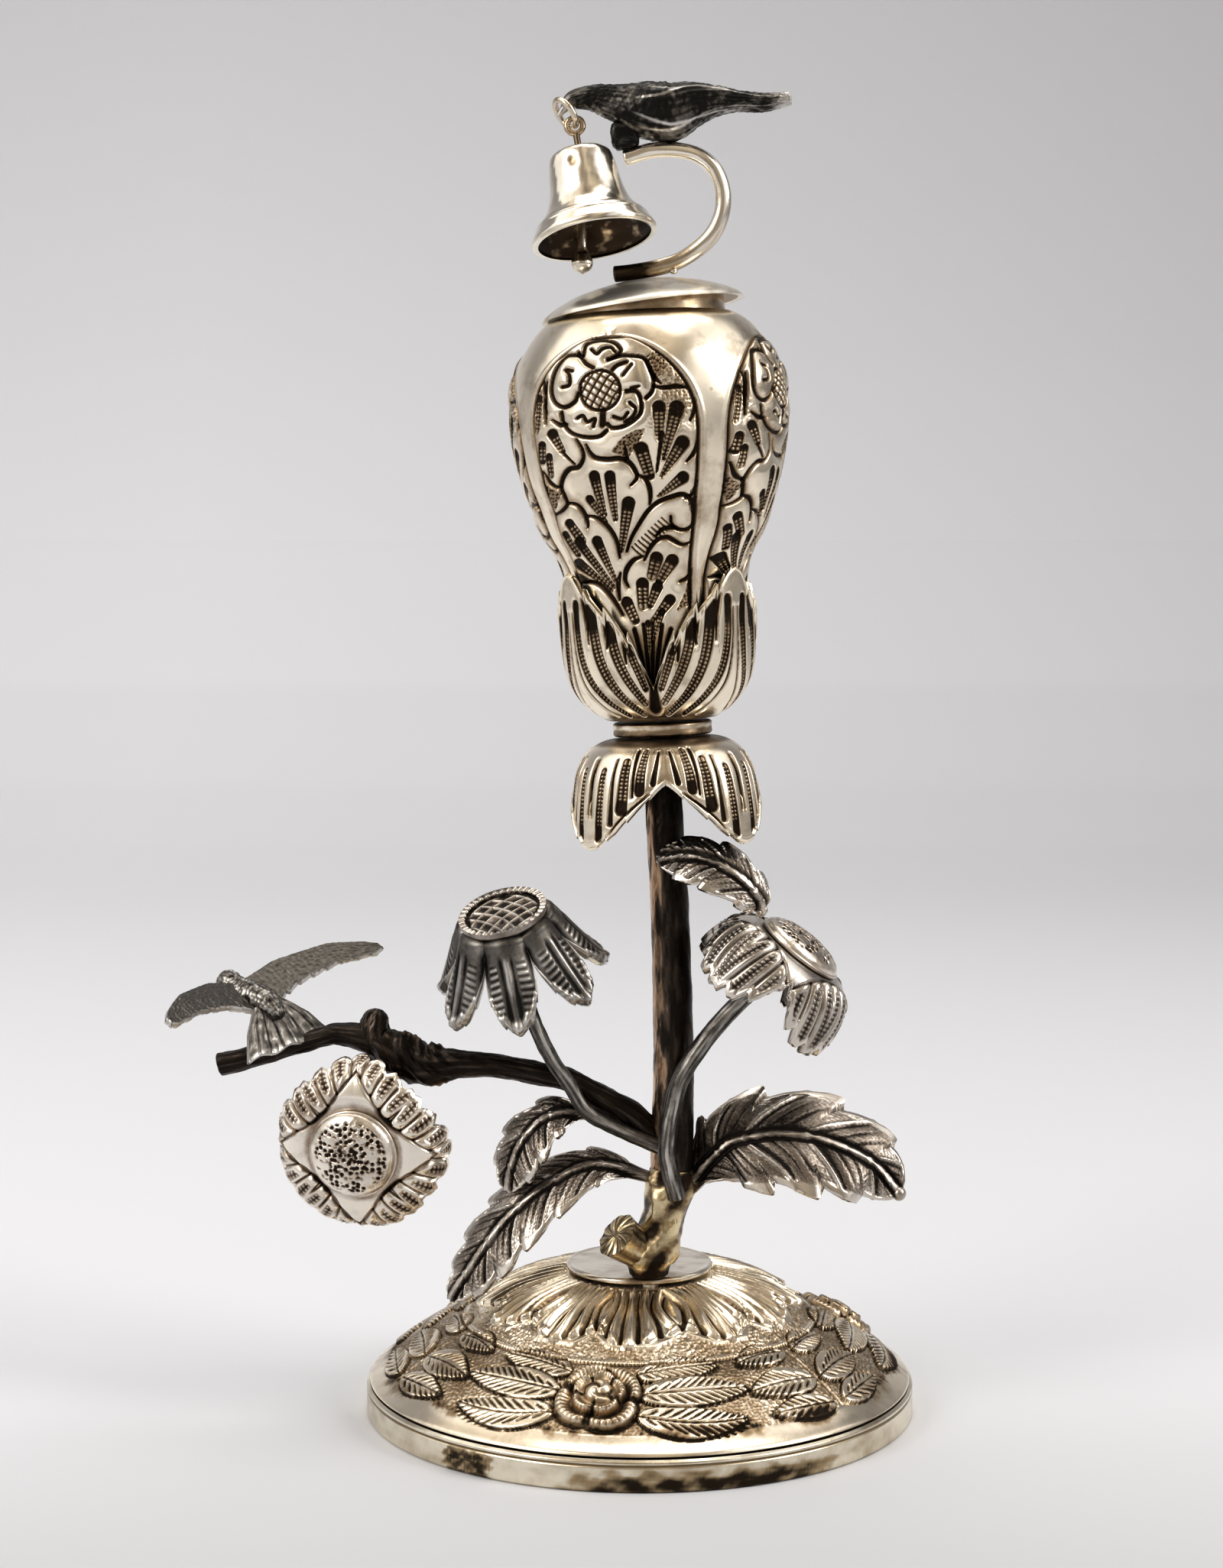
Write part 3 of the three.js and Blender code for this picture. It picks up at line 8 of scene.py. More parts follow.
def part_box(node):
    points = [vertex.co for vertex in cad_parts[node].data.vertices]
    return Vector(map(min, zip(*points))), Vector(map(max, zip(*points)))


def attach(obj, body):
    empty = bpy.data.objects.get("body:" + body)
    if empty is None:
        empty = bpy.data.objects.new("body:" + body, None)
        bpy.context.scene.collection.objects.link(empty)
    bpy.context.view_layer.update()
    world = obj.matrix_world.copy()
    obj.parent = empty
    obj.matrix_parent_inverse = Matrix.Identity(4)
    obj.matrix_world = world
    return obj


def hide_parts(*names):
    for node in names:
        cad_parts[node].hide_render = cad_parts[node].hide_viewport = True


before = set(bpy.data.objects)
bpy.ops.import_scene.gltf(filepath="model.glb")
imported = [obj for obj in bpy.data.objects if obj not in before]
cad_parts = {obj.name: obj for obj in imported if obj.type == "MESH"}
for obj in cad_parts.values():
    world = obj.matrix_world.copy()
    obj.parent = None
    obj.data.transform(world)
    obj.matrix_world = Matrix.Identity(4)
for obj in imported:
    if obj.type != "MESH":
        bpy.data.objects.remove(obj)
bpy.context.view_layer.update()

# Lengths are millimetres from the foot's axis at the table: x right, y away, z up.
# The frame itself is in metres, with its origin a little to the left of that axis.

MM = 0.001
low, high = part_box("foot_band")
FOOT_AXIS = np.array([(low.x + high.x) / 2, (low.y + high.y) / 2, 0.0]) / MM

# Camera at the photograph's own place and angle, in the photograph's pixels

PHOTO_WIDTH = 1600
PHOTO_HEIGHT = 2052
FOCAL_PIXELS = 3528.5
SENSOR_HEIGHT = 36.0
CAMERA_PLACE = (0.0, -358.0, 111.28)
CAMERA_PITCH = math.radians(4.353)
CAMERA_TURN = math.radians(0.604)


# Curves and tables

def curve_at(points, places):
    """Places along a smooth curve through the given points, each span an equal share of it."""
    points = np.asarray(points, float)
    ends = np.vstack([2 * points[0] - points[1], points, 2 * points[-1] - points[-2]])
    spans = len(points) - 1
    x = np.clip(np.asarray(places, float), 0, 1) * spans
    i = np.minimum(x.astype(int), spans - 1)
    t = (x - i)[..., None]
    a, b, c, d = ends[i], ends[i + 1], ends[i + 2], ends[i + 3]
    return 0.5 * (2 * b + (c - a) * t + (2 * a - 5 * b + 4 * c - d) * t ** 2
                  + (3 * b - a - 3 * c + d) * t ** 3)


def table(values, places):
    values = np.asarray(values, float)
    if values.ndim == 2:
        return np.interp(places, values[:, 0], values[:, 1])
    return np.interp(places, np.linspace(0, 1, len(values)), values)


def smooth(lowest, highest, x):
    t = np.clip((x - lowest) / (highest - lowest), 0, 1)
    return t * t * (3 - 2 * t)


def unit(v):
    v = np.asarray(v, float)
    return v / np.maximum(np.linalg.norm(v, axis=-1, keepdims=True), 1e-9)


def peak(away, width, power=2):
    """A soft bump: 1 where away is 0, gone a little beyond the width."""
    return np.exp(-(away / width) ** power)


def full_turn(count):
    return np.linspace(0, 2 * np.pi, count, endpoint=False)


def wrapped(angle):
    """The same angle between -pi and pi."""
    return np.mod(angle + np.pi, 2 * np.pi) - np.pi


def run_along(points):
    """How far along a line each of its points is."""
    return np.concatenate([[0], np.cumsum(np.linalg.norm(np.diff(points, axis=0), axis=1))])


def finer(points, times=6):
    """A smooth curve through the points, with more of them."""
    return curve_at(points, np.linspace(0, 1, times * len(points)))


def spun(r, angle, z):
    """Points round +Z: a row for each radius and height, a column for each angle."""
    return np.stack([r * np.cos(angle), r * np.sin(angle), np.broadcast_to(z, (len(r), len(angle)))], axis=2)


def wave_noise(x, y, size, seed, octaves=3):
    """Smooth seeded noise between -1 and 1 over a plane."""
    rng = np.random.default_rng(seed)
    total = np.zeros(np.broadcast(x, y).shape)
    for octave in range(octaves):
        for _ in range(5):
            angle = rng.uniform(0, 2 * np.pi)
            phase = rng.uniform(0, 2 * np.pi)
            reach = 2 * np.pi / size * 2 ** octave * rng.uniform(0.7, 1.3)
            total += np.sin((x * np.cos(angle) + y * np.sin(angle)) * reach + phase) / 2 ** octave
    return total / 6


def pits(x, y, spacing, seed, size=0.35):
    """Small jittered punch marks: 1 in the middle of each, 0 between them."""
    i, j = np.floor(x / spacing).astype(int), np.floor(y / spacing).astype(int)
    best = np.full(np.broadcast(x, y).shape, 9.0)
    for di in (-1, 0, 1):
        for dj in (-1, 0, 1):
            a, b = i + di, j + dj
            h = np.sin(a * 127.1 + b * 311.7 + seed) * 43758.5453
            k = np.sin(a * 269.5 + b * 183.3 + seed) * 43758.5453
            cx = (a + 0.5 + 0.6 * (h - np.floor(h) - 0.5)) * spacing
            cy = (b + 0.5 + 0.6 * (k - np.floor(k) - 0.5)) * spacing
            best = np.minimum(best, np.hypot(x - cx, y - cy))
    return 1 - smooth(spacing * size * 0.5, spacing * size * 1.4, best)


class Chasing:
    """Relief and patina over a grid, worked stroke by stroke in the plane of its sketch."""

    def __init__(self, x, y):
        self.x, self.y = np.broadcast_arrays(np.asarray(x, float), np.asarray(y, float))
        self.height = np.zeros(self.x.shape)
        self.dark = np.zeros(self.x.shape)
        self.fall = np.zeros(self.x.shape)

    def settle(self, depth, dark):
        """Lets the metal fall away towards the grooves that have a halo."""
        self.height -= depth * self.fall ** 1.3
        self.dark = np.maximum(self.dark, dark * smooth(0.15, 1.0, self.fall))

    def reach(self, points, widths):
        """How deep inside a stroke each place is, from 0 at its edge to 1, how far along the
        stroke it is, and how far to the side of its middle."""
        points = np.asarray(points, float)
        widths = np.broadcast_to(np.asarray(widths, float), (len(points),))
        inside = np.zeros(self.x.shape)
        along = np.zeros(self.x.shape)
        side = np.zeros(self.x.shape)
        run = 0.0
        for (ax, ay), (bx, by), wa, wb in zip(points[:-1], points[1:], widths[:-1], widths[1:]):
            length = math.hypot(bx - ax, by - ay)
            near = (np.abs(self.x - (ax + bx) / 2) < length / 2 + max(wa, wb)) \
                & (np.abs(self.y - (ay + by) / 2) < length / 2 + max(wa, wb))
            if not near.any():
                run += length
                continue
            x, y = self.x[near], self.y[near]
            t = np.clip(((x - ax) * (bx - ax) + (y - ay) * (by - ay)) / max(length ** 2, 1e-9), 0, 1)
            away = np.hypot(x - ax - t * (bx - ax), y - ay - t * (by - ay))
            value = np.clip(1 - away / np.maximum((wa + (wb - wa) * t) / 2, 1e-6), 0, 1)
            old = inside[near]
            better = value > old
            inside[near] = np.where(better, value, old)
            along[near] = np.where(better, run + t * length, along[near])
            across = ((x - ax) * (by - ay) - (y - ay) * (bx - ax)) / max(length, 1e-9)
            side[near] = np.where(better, across, side[near])
            run += length
        return inside, along, side

    def cut(self, points, widths, depth, dark=1.0, soft=0.6, halo=0.0):
        """A groove. With a halo, the metal also falls away towards it and darkens on both sides."""
        inside, _, _ = self.reach(points, widths)
        groove = smooth(0, soft, inside)
        self.height -= depth * groove
        self.dark = np.maximum(self.dark, dark * smooth(0.05, 0.5, inside))
        if halo:
            around, _, _ = self.reach(points, halo)
            self.fall = np.maximum(self.fall, around)

    def ridge(self, points, widths, rise):
        inside, _, _ = self.reach(points, widths)
        self.height += rise * np.sqrt(np.clip(inside, 0, 1))
        self.dark *= 1 - 0.8 * smooth(0.1, 0.6, inside)

    def flute(self, path, widths, depth, bead, dark=1.0, plain=0.22):
        """A tapering groove, plain at its head, with two rows of beads left standing below it."""
        path = np.asarray(path, float)
        widths = np.linspace(widths[0], widths[1], len(path))
        inside, along, side = self.reach(path, widths)
        length = np.linalg.norm(np.diff(path, axis=0), axis=1).sum()
        groove = smooth(0, 0.4, inside)
        rows = np.abs(np.sin(np.pi * along / bead)) ** 1.5
        pair = np.abs(np.sin(np.pi * side / (np.mean(widths) * 0.4))) ** 1.2
        beads = rows * pair * smooth(0.12, 0.4, inside) * smooth(plain, plain + 0.12, along / length)
        self.height += -depth * groove + depth * 0.6 * beads
        self.dark = np.maximum(self.dark, dark * smooth(0.03, 0.22, inside)) - 0.72 * beads * (inside > 0)

    def ground(self, inside, spacing, depth, seed, dark=0.75):
        """Punched ground where inside is 1."""
        u, v = self.x * 0.8 - self.y * 0.6, self.x * 0.6 + self.y * 0.8
        marks = pits(self.x, self.y, spacing, seed, 0.3)
        marks = np.maximum(marks, pits(u, v, spacing * 1.3, seed + 1, 0.24))
        self.height -= inside * depth * (0.4 + 0.6 * marks)
        self.dark = np.maximum(self.dark, inside * dark * (0.5 + 0.5 * marks))

    def within(self, outline):
        """1 inside a closed outline and 0 outside it."""
        inside = np.zeros(self.x.shape, bool)
        points = np.asarray(outline, float)
        for (ax, ay), (bx, by) in zip(points, np.roll(points, -1, axis=0)):
            crosses = (ay > self.y) != (by > self.y)
            at = ax + (self.y - ay) * (bx - ax) / (by - ay if by != ay else 1e-9)
            inside ^= crosses & (self.x < at)
        return inside.astype(float)


# Meshes: every piece is a few grids of points with the patina kept on each point

def patch(points, dark=0.0, wrap=False, flip=False, area=(0.0, 0.0, 1.0, 1.0)):
    points = np.asarray(points, float)
    return {"points": points, "dark": np.broadcast_to(dark, points.shape[:2]), "wrap": wrap,
            "flip": flip, "area": area}


def build(name, patches, material, nodes, place=None, body="tower"):
    """One mesh of all the patches, in place of the named nodes, riding on its body."""
    places, darks, faces, maps = [], [], [], []
    start = 0
    for p in patches:
        rows, columns = p["points"].shape[:2]
        steps = columns if p["wrap"] else columns - 1
        i, j = np.meshgrid(np.arange(rows - 1), np.arange(steps), indexing="ij")
        i, j = i.ravel(), j.ravel()
        k = (j + 1) % columns
        quad = np.stack([i * columns + j, i * columns + k, (i + 1) * columns + k,
                         (i + 1) * columns + j], axis=1) + start
        x0, y0, x1, y1 = p["area"]
        u = np.stack([j, j + 1, j + 1, j], axis=1) / steps
        v = np.stack([i, i, i + 1, i + 1], axis=1) / (rows - 1)
        uv = np.stack([x0 + (x1 - x0) * u, y0 + (y1 - y0) * v], axis=2)
        if p["flip"]:
            quad, uv = quad[:, ::-1], uv[:, ::-1]
        faces.append(quad)
        maps.append(uv)
        places.append(p["points"].reshape(-1, 3))
        darks.append(np.asarray(p["dark"]).ravel())
        start += rows * columns
    places = np.vstack(places)
    if place is not None:
        matrix = np.asarray(place)
        places = places @ matrix[:3, :3].T + matrix[:3, 3]
    places = (places + FOOT_AXIS) * MM
    faces, maps = np.vstack(faces), np.vstack(maps)
    mesh = bpy.data.meshes.new(name)
    mesh.vertices.add(len(places))
    mesh.vertices.foreach_set("co", places.astype(np.float32).ravel())
    mesh.loops.add(faces.size)
    mesh.loops.foreach_set("vertex_index", faces.astype(np.int32).ravel())
    mesh.polygons.add(len(faces))
    mesh.polygons.foreach_set("loop_start", np.arange(0, faces.size, 4, dtype=np.int32))
    mesh.polygons.foreach_set("use_smooth", np.ones(len(faces), bool))
    layer = mesh.uv_layers.new(name="OFBake")
    layer.data.foreach_set("uv", maps.astype(np.float32).ravel())
    patina = mesh.attributes.new("dark", "FLOAT", "POINT")
    patina.data.foreach_set("value", np.concatenate(darks).astype(np.float32))
    mesh.update(calc_edges=True)
    mesh.validate()
    thing = bpy.data.objects.new(name, mesh)
    bpy.context.collection.objects.link(thing)
    mesh.materials.append(material)
    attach(thing, body)
    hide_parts(*nodes)


def normals(points, wrap=False):
    if wrap:
        across = np.roll(points, -1, axis=1) - np.roll(points, 1, axis=1)
    else:
        across = np.gradient(points, axis=1)
    return unit(np.cross(across, np.gradient(points, axis=0)))


# The rims of sheets are rubbed bright
EDGE_DARK = -0.15


def sheet(middle, thickness, relief=0.0, dark=0.0, back_dark=0.6, wrap=False, facing=1, echo=0.5):
    """Both faces and the rounded edges of a thin sheet, with relief on its outer face."""
    out = normals(middle, wrap) * facing
    half = thickness / 2
    relief = np.broadcast_to(relief, middle.shape[:2])[..., None]
    front = middle + out * (half + relief)
    back = middle - out * (half - relief * echo)
    flip = facing < 0
    parts = [patch(front, dark, wrap, flip, (0, 0, 1, 0.48)),
             patch(back, back_dark, wrap, not flip, (0, 0.5, 1, 0.96))]

    def rim(inner, outer, over, turned):
        bulge = unit(inner - over) * half * 0.5
        line = np.stack([inner, (inner + outer) / 2 + bulge, outer])
        parts.append(patch(line, EDGE_DARK, wrap and turned, flip != turned, (0, 0.97, 1, 1)))

    rim(front[0], back[0], front[1], True)
    rim(back[-1], front[-1], back[-2], True)
    if not wrap:
        for a, b, over in ((back[:, 0], front[:, 0], back[:, 1]),
                           (front[:, -1], back[:, -1], front[:, -2])):
            bulge = unit(a - over) * half * 0.5
            line = np.stack([a, (a + b) / 2 + bulge, b])
            parts.append(patch(line, EDGE_DARK, False, flip, (0, 0.97, 1, 1)))
    return parts


def revolve(outline, turns, relief=None, dark=0.0, area=(0, 0, 1, 1)):
    """A surface round +Z from [radius, height] rows. Relief is a grid of heights along its normal."""
    outline = np.asarray(outline, float)
    angle = full_turn(turns)
    r, z = outline[:, :1], outline[:, 1:]
    points = spun(r, angle, z)
    if relief is not None:
        points = points + normals(points, True) * relief[..., None]
    return patch(points, dark, True, False, area)


def resample(outline, rows):
    """An open outline of pairs as a smooth curve with evenly spaced rows."""
    fine = curve_at(outline, np.linspace(0, 1, 40 * len(outline)))
    length = run_along(fine)
    at = np.linspace(0, 1, rows) * length[-1]
    return np.stack([np.interp(at, length, fine[:, k]) for k in range(fine.shape[1])], axis=1)


def polyline(outline, rows):
    """An open outline with its corners kept, with evenly spaced rows."""
    outline = np.asarray(outline, float)
    length = run_along(outline)
    at = np.union1d(np.linspace(0, length[-1], rows), length)
    return np.stack([np.interp(at, length, outline[:, k]) for k in range(outline.shape[1])], axis=1)


def rod(path, depth, breadth=None, *, side=(1, 0, 0), sides, steps, relief, dark, caps=(True, True)):
    """A tapering rod along a smooth centre line, with rounded ends.

    Relief and dark are functions of the angle round the rod and the distance along it."""
    at = np.linspace(0, 1, steps)
    fine = curve_at(path, np.linspace(0, 1, 30 * len(path)))
    length = run_along(fine)
    share = np.interp(at * length[-1], length, np.linspace(0, 1, len(fine)))
    centre = curve_at(path, share)
    along = unit(np.gradient(centre, axis=0))
    side = np.asarray(side, float)
    across = unit(side - along * (along @ side)[:, None])
    up = np.cross(along, across)
    angle = full_turn(sides)
    d = np.full((steps, 1), depth) if np.isscalar(depth) else table(depth, share)[:, None]
    b = d if breadth is None else table(breadth, share)[:, None]
    distance = (at * length[-1])[:, None]
    grain = relief(angle[None, :], distance)
    shade = np.broadcast_to(dark(angle[None, :], distance), (steps, sides))
    ring = (across[:, None, :] * (np.cos(angle) * (b + grain))[..., None]
            + up[:, None, :] * (np.sin(angle) * (d + grain))[..., None])
    points = centre[:, None, :] + ring
    before, after = [], []
    for end, rows, sign in ((0, before, -1), (-1, after, 1)):
        if not caps[0 if end == 0 else 1]:
            continue
        for part in (0.85, 0.5, 0.02):
            lift = math.sqrt(1 - part ** 2) * 0.22 * float(d[end, 0]) * sign
            rows.append(centre[end] + along[end] * lift + ring[end] * part)
    grid = np.stack(before[::-1] + list(points) + after)
    shades = np.vstack([shade[:1]] * len(before) + [shade] + [shade[-1:]] * len(after))
    return patch(grid, shades, True)


def aimed(place, axis):
    """A frame whose +Z runs along an axis and whose X stays level, facing right."""
    up = unit(axis)
    back = unit(np.cross(up, (1, 0, 0)))
    right = unit(np.cross(back, up))
    matrix = np.eye(4)
    matrix[:3, 0], matrix[:3, 1], matrix[:3, 2], matrix[:3, 3] = right, back, up, place
    return matrix


def tilted(place, degrees):
    """A frame turned about Y, towards the left for a positive angle."""
    matrix = np.array(Matrix.Rotation(-math.radians(degrees), 4, "Y"))
    matrix[:3, 3] = place
    return matrix


def globe(rows, columns, reach):
    """Points round a ball of radius 1, from one pole's latitude to the other's."""
    p = np.linspace(-reach, reach, rows)[:, None]
    a = full_turn(columns)
    return np.stack([np.cos(p) * np.cos(a), np.cos(p) * np.sin(a), np.sin(p) * np.ones_like(a)], axis=2)


def moved(points, matrix):
    points = np.asarray(points, float)
    return points @ np.asarray(matrix)[:3, :3].T + np.asarray(matrix)[:3, 3]


def seen(points):
    """Where points show in the photograph, in its pixels."""
    p = np.asarray(points, float) - np.array(CAMERA_PLACE)
    c, s = math.cos(CAMERA_TURN), math.sin(CAMERA_TURN)
    x = p[..., 0] * c + p[..., 1] * s
    y = -p[..., 0] * s + p[..., 1] * c
    c, s = math.cos(CAMERA_PITCH), math.sin(CAMERA_PITCH)
    away = y * c - p[..., 2] * s
    down = -p[..., 2] * c - y * s
    return PHOTO_WIDTH / 2 + FOCAL_PIXELS * x / away, PHOTO_HEIGHT / 2 + FOCAL_PIXELS * down / away


# Materials: silver in several states of polish and tarnish, darkened where the patina says

class Wiring:
    """The nodes of a material or of the world, and what feeds each of them."""

    def __init__(self, tree):
        self.nodes, self.links = tree.nodes, tree.links

    def feed(self, node, inputs):
        """Puts a plain value or another node's output on each named or numbered socket."""
        for socket, value in inputs.items():
            if isinstance(value, bpy.types.NodeSocket):
                self.links.new(value, node.inputs[socket])
            else:
                node.inputs[socket].default_value = value

    def node(self, kind, inputs, **settings):
        made = self.nodes.new(kind)
        for key, value in settings.items():
            setattr(made, key, value)
        self.feed(made, inputs)
        return made.outputs

    def maths(self, kind, a, b):
        return self.node("ShaderNodeMath", {0: a, 1: b}, operation=kind)[0]

    def spread(self, value, limits, kind="LINEAR"):
        """A value carried from one range to another: from low, from high, to low, to high."""
        inputs = {0: value, **dict(enumerate(limits, 1))}
        return self.node("ShaderNodeMapRange", inputs, interpolation_type=kind)[0]

    def mix(self, share, first, second):
        return self.node("ShaderNodeMix", {0: share, 6: first, 7: second}, data_type="RGBA")[2]


def silver(name, bright, tarnish, black, rough, mottle, blotch, blotch_size=6.0, grain_size=0.35,
           streak=(1, 1, 1)):
    """Patina from the mesh, broad tarnish blotches, fine mottling and tiny handling marks."""
    material = bpy.data.materials.new(name)
    material.use_nodes = True
    wiring = Wiring(material.node_tree)
    maths, spread = wiring.maths, wiring.spread
    place = wiring.node("ShaderNodeTexCoord", {})["Object"]
    scaled = wiring.node("ShaderNodeMapping", {"Vector": place, "Scale": (1 / MM, 1 / MM, 1 / MM)})[0]
    streaked = wiring.node("ShaderNodeMapping", {"Vector": scaled, "Scale": streak})[0]

    def noise(vector, size, detail, roughness):
        return wiring.node("ShaderNodeTexNoise", {"Vector": vector, "Scale": 1 / size, "Detail": detail,
                                                  "Roughness": roughness})["Fac"]

    patina = wiring.node("ShaderNodeAttribute", {}, attribute_name="dark")["Fac"]
    fine = noise(scaled, grain_size, 6.0, 0.7)
    broad = noise(streaked, blotch_size, 5.0, 0.62)
    level = maths("ADD", patina, maths("MULTIPLY", maths("SUBTRACT", fine, 0.5), mottle))
    blackened = spread(level, (0.42, 0.9), "SMOOTHSTEP")
    browned = spread(level, (0.08, 0.5), "SMOOTHSTEP")
    stained = spread(maths("ADD", broad, maths("MULTIPLY", patina, 0.35)), (0.62 - blotch * 0.5, 0.78))
    worn_colour = wiring.mix(maths("MAXIMUM", stained, browned), (*bright, 1), (*tarnish, 1))
    roughness = maths("ADD", maths("MULTIPLY", level, 0.7), maths("MULTIPLY", broad, 0.15))
    marks = maths("ADD", fine, maths("MULTIPLY", broad, 1.5))
    bump = wiring.node("ShaderNodeBump", {"Height": marks, "Strength": 0.06, "Distance": 0.15 * MM})
    wiring.feed(material.node_tree.nodes["Principled BSDF"], {
        "Base Color": wiring.mix(blackened, worn_colour, (*black, 1)),
        "Metallic": 1.0,
        "Roughness": spread(roughness, (0.0, 1.0, *rough)),
        "Normal": bump["Normal"],
    })
    return material


POLISHED = silver("polished_silver", (0.9, 0.83, 0.71), (0.4, 0.3, 0.19), (0.03, 0.02, 0.013),
                  rough=(0.14, 0.45), mottle=0.12, blotch=0.14)
CHASED = silver("chased_silver", (0.91, 0.81, 0.65), (0.3, 0.21, 0.125), (0.014, 0.009, 0.006),
                rough=(0.2, 0.6), mottle=0.24, blotch=0.2)
FOOT = silver("foot_silver", (0.92, 0.81, 0.64), (0.34, 0.24, 0.14), (0.02, 0.014, 0.009),
              rough=(0.2, 0.6), mottle=0.26, blotch=0.3, blotch_size=8.0)
COVER = silver("lid_silver", (0.93, 0.88, 0.78), (0.45, 0.36, 0.25), (0.03, 0.02, 0.013),
               rough=(0.3, 0.5), mottle=0.14, blotch=0.12)
PETAL = silver("petal_silver", (0.9, 0.83, 0.73), (0.27, 0.2, 0.145), (0.016, 0.012, 0.009),
               rough=(0.2, 0.6), mottle=0.28, blotch=0.3)
BAND = silver("band_silver", (0.84, 0.77, 0.62), (0.34, 0.25, 0.14), (0.02, 0.014, 0.009),
              rough=(0.16, 0.5), mottle=0.12, blotch=0.25, blotch_size=12.0)
LEAF = silver("leaf_silver", (0.67, 0.615, 0.55), (0.2, 0.165, 0.135), (0.016, 0.013, 0.011),
              rough=(0.22, 0.6), mottle=0.35, blotch=0.4)
GREY = silver("grey_silver", (0.6, 0.575, 0.54), (0.14, 0.127, 0.112), (0.013, 0.012, 0.011),
              rough=(0.28, 0.6), mottle=0.4, blotch=0.45, grain_size=0.5)
BLACK = silver("blackened_silver", (0.5, 0.32, 0.2), (0.06, 0.045, 0.035), (0.014, 0.011, 0.009),
               rough=(0.25, 0.5), mottle=0.35, blotch=0.5, streak=(1, 1, 0.12))
BRASSY = silver("root_silver", (0.8, 0.66, 0.4), (0.22, 0.155, 0.085), (0.018, 0.012, 0.008),
                rough=(0.18, 0.55), mottle=0.4, blotch=0.5, blotch_size=3.0)


# Foot: plain band, chased dome, flat plate

FOOT_RADIUS = 36.75
BAND_HEIGHT = 4.1
BAND_WALL = 1.3
BAND_FOOT = 0.02
BAND_TURNS = 900
DOME_OUTLINE = [(36.3, 4.4), (36.1, 4.75), (35.0, 5.5), (33.0, 7.1), (30.0, 9.1), (27.0, 10.8),
                (23.7, 12.35), (22.6, 13.1), (20.5, 14.5), (16.9, 16.3), (12.5, 17.5), (9.5, 18.0)]
DOME_TURNS = 1080
DOME_ROWS = 190
PLATE_RADIUS = 9.87
PLATE_BACK = 1.5
PLATE_TURNS = 240
FRIEZE_INNER = 23.7
FRIEZE_OUTER = 33.4
FLAME_OUTER = 22.2
ROSETTE_TURN = -100.0
ROSETTE_COUNT = 3
ROSETTE_RADIUS = 5.4
FLAME_COUNT = 12
FLAME_MIDDLE = 17.0
# Leaves on the right of a rosette: foot and tip, half width, bend and number of veins. The first
# are placed from the rosette, the others back from the line between two repeats.
ROSETTE_LEAVES = [((4.4, -3.6), (17.0, -4.9), 2.4, -0.6, 12), ((4.4, 3.0), (17.5, 4.4), 2.5, 0.7, 12),
                  ((4.6, -0.2), (19.5, -0.2), 2.6, -0.5, 13)]
SEAM_LEAVES = [((1.0, -4.6), (10.5, -4.4), 2.1, 0.7, 9), ((0.6, 5.0), (9.8, 4.4), 2.0, 0.3, 8),
               ((0.4, 0.8), (11.0, 0.6), 2.5, 0.7, 10)]
# A flame's raised fingers and the gaps between them: the foot's place as a share of the half
# flame, its height, the bend and, for a finger, the breadth
FINGERS = [(0.0, 0.9, 0.25, 1.5), (-0.5, 1.6, -0.5, 1.25), (0.5, 1.9, 0.6, 1.25), (-0.95, 3.2, -0.7, 0.9),
           (0.95, 2.9, 0.7, 0.9)]
GAPS = [(-0.25, 1.5, -0.2), (0.25, 1.7, 0.3), (-0.74, 2.5, -0.6), (0.74, 2.6, 0.6), (-1.12, 3.8, -0.5),
        (1.12, 3.8, 0.5)]


def foot_band():
    inside = FOOT_RADIUS - BAND_WALL
    groove = FOOT_RADIUS - 0.12
    outer = polyline([(inside, BAND_FOOT), (FOOT_RADIUS - 0.25, BAND_FOOT), (FOOT_RADIUS, 0.25),
                      (FOOT_RADIUS, 3.1), (groove, 3.25), (groove, 3.42), (FOOT_RADIUS, 3.55),
                      (FOOT_RADIUS - 0.05, 3.85), (FOOT_RADIUS - 0.35, BAND_HEIGHT),
                      (inside, BAND_HEIGHT)], 40)
    inner = polyline([(inside, BAND_HEIGHT), (inside, BAND_FOOT)], 8)
    angle = full_turn(BAND_TURNS)
    z = outer[:, 1:]
    stain = wave_noise(angle * FOOT_RADIUS, z * 3, 26, 11) * 0.5
    fine = wave_noise(angle * FOOT_RADIUS, z * 2, 5, 13)
    tiny = wave_noise(angle * FOOT_RADIUS, z, 1.2, 14)
    # Two tarnished places: a broad one at the front and a small one to its left
    front = peak((angle - np.radians(284)) * FOOT_RADIUS, 19, 4)
    spot = peak((angle - np.radians(234)) * FOOT_RADIUS, 4.2, 4)
    patchy = smooth(0.1, 0.9, front * (0.8 + 0.3 * fine + 0.14 * tiny) * smooth(3.5 + 0.6 * fine, 1.2, z)
                    + spot * (0.8 + 0.3 * fine + 0.5 * tiny) * smooth(3.7, 2.8, z))
    dark = np.clip(stain * 0.5 + 0.13 + 0.16 * fine + 0.72 * patchy, 0, 0.95)
    dark = np.maximum(dark, 0.65 * (np.abs(z - 3.33) < 0.12))
    build("foot_rim", [revolve(outer, BAND_TURNS, dark=dark, area=(0, 0, 1, 0.8)),
                       revolve(inner, BAND_TURNS, dark=0.6, area=(0, 0.82, 1, 1))],
          BAND, ["foot_band"])


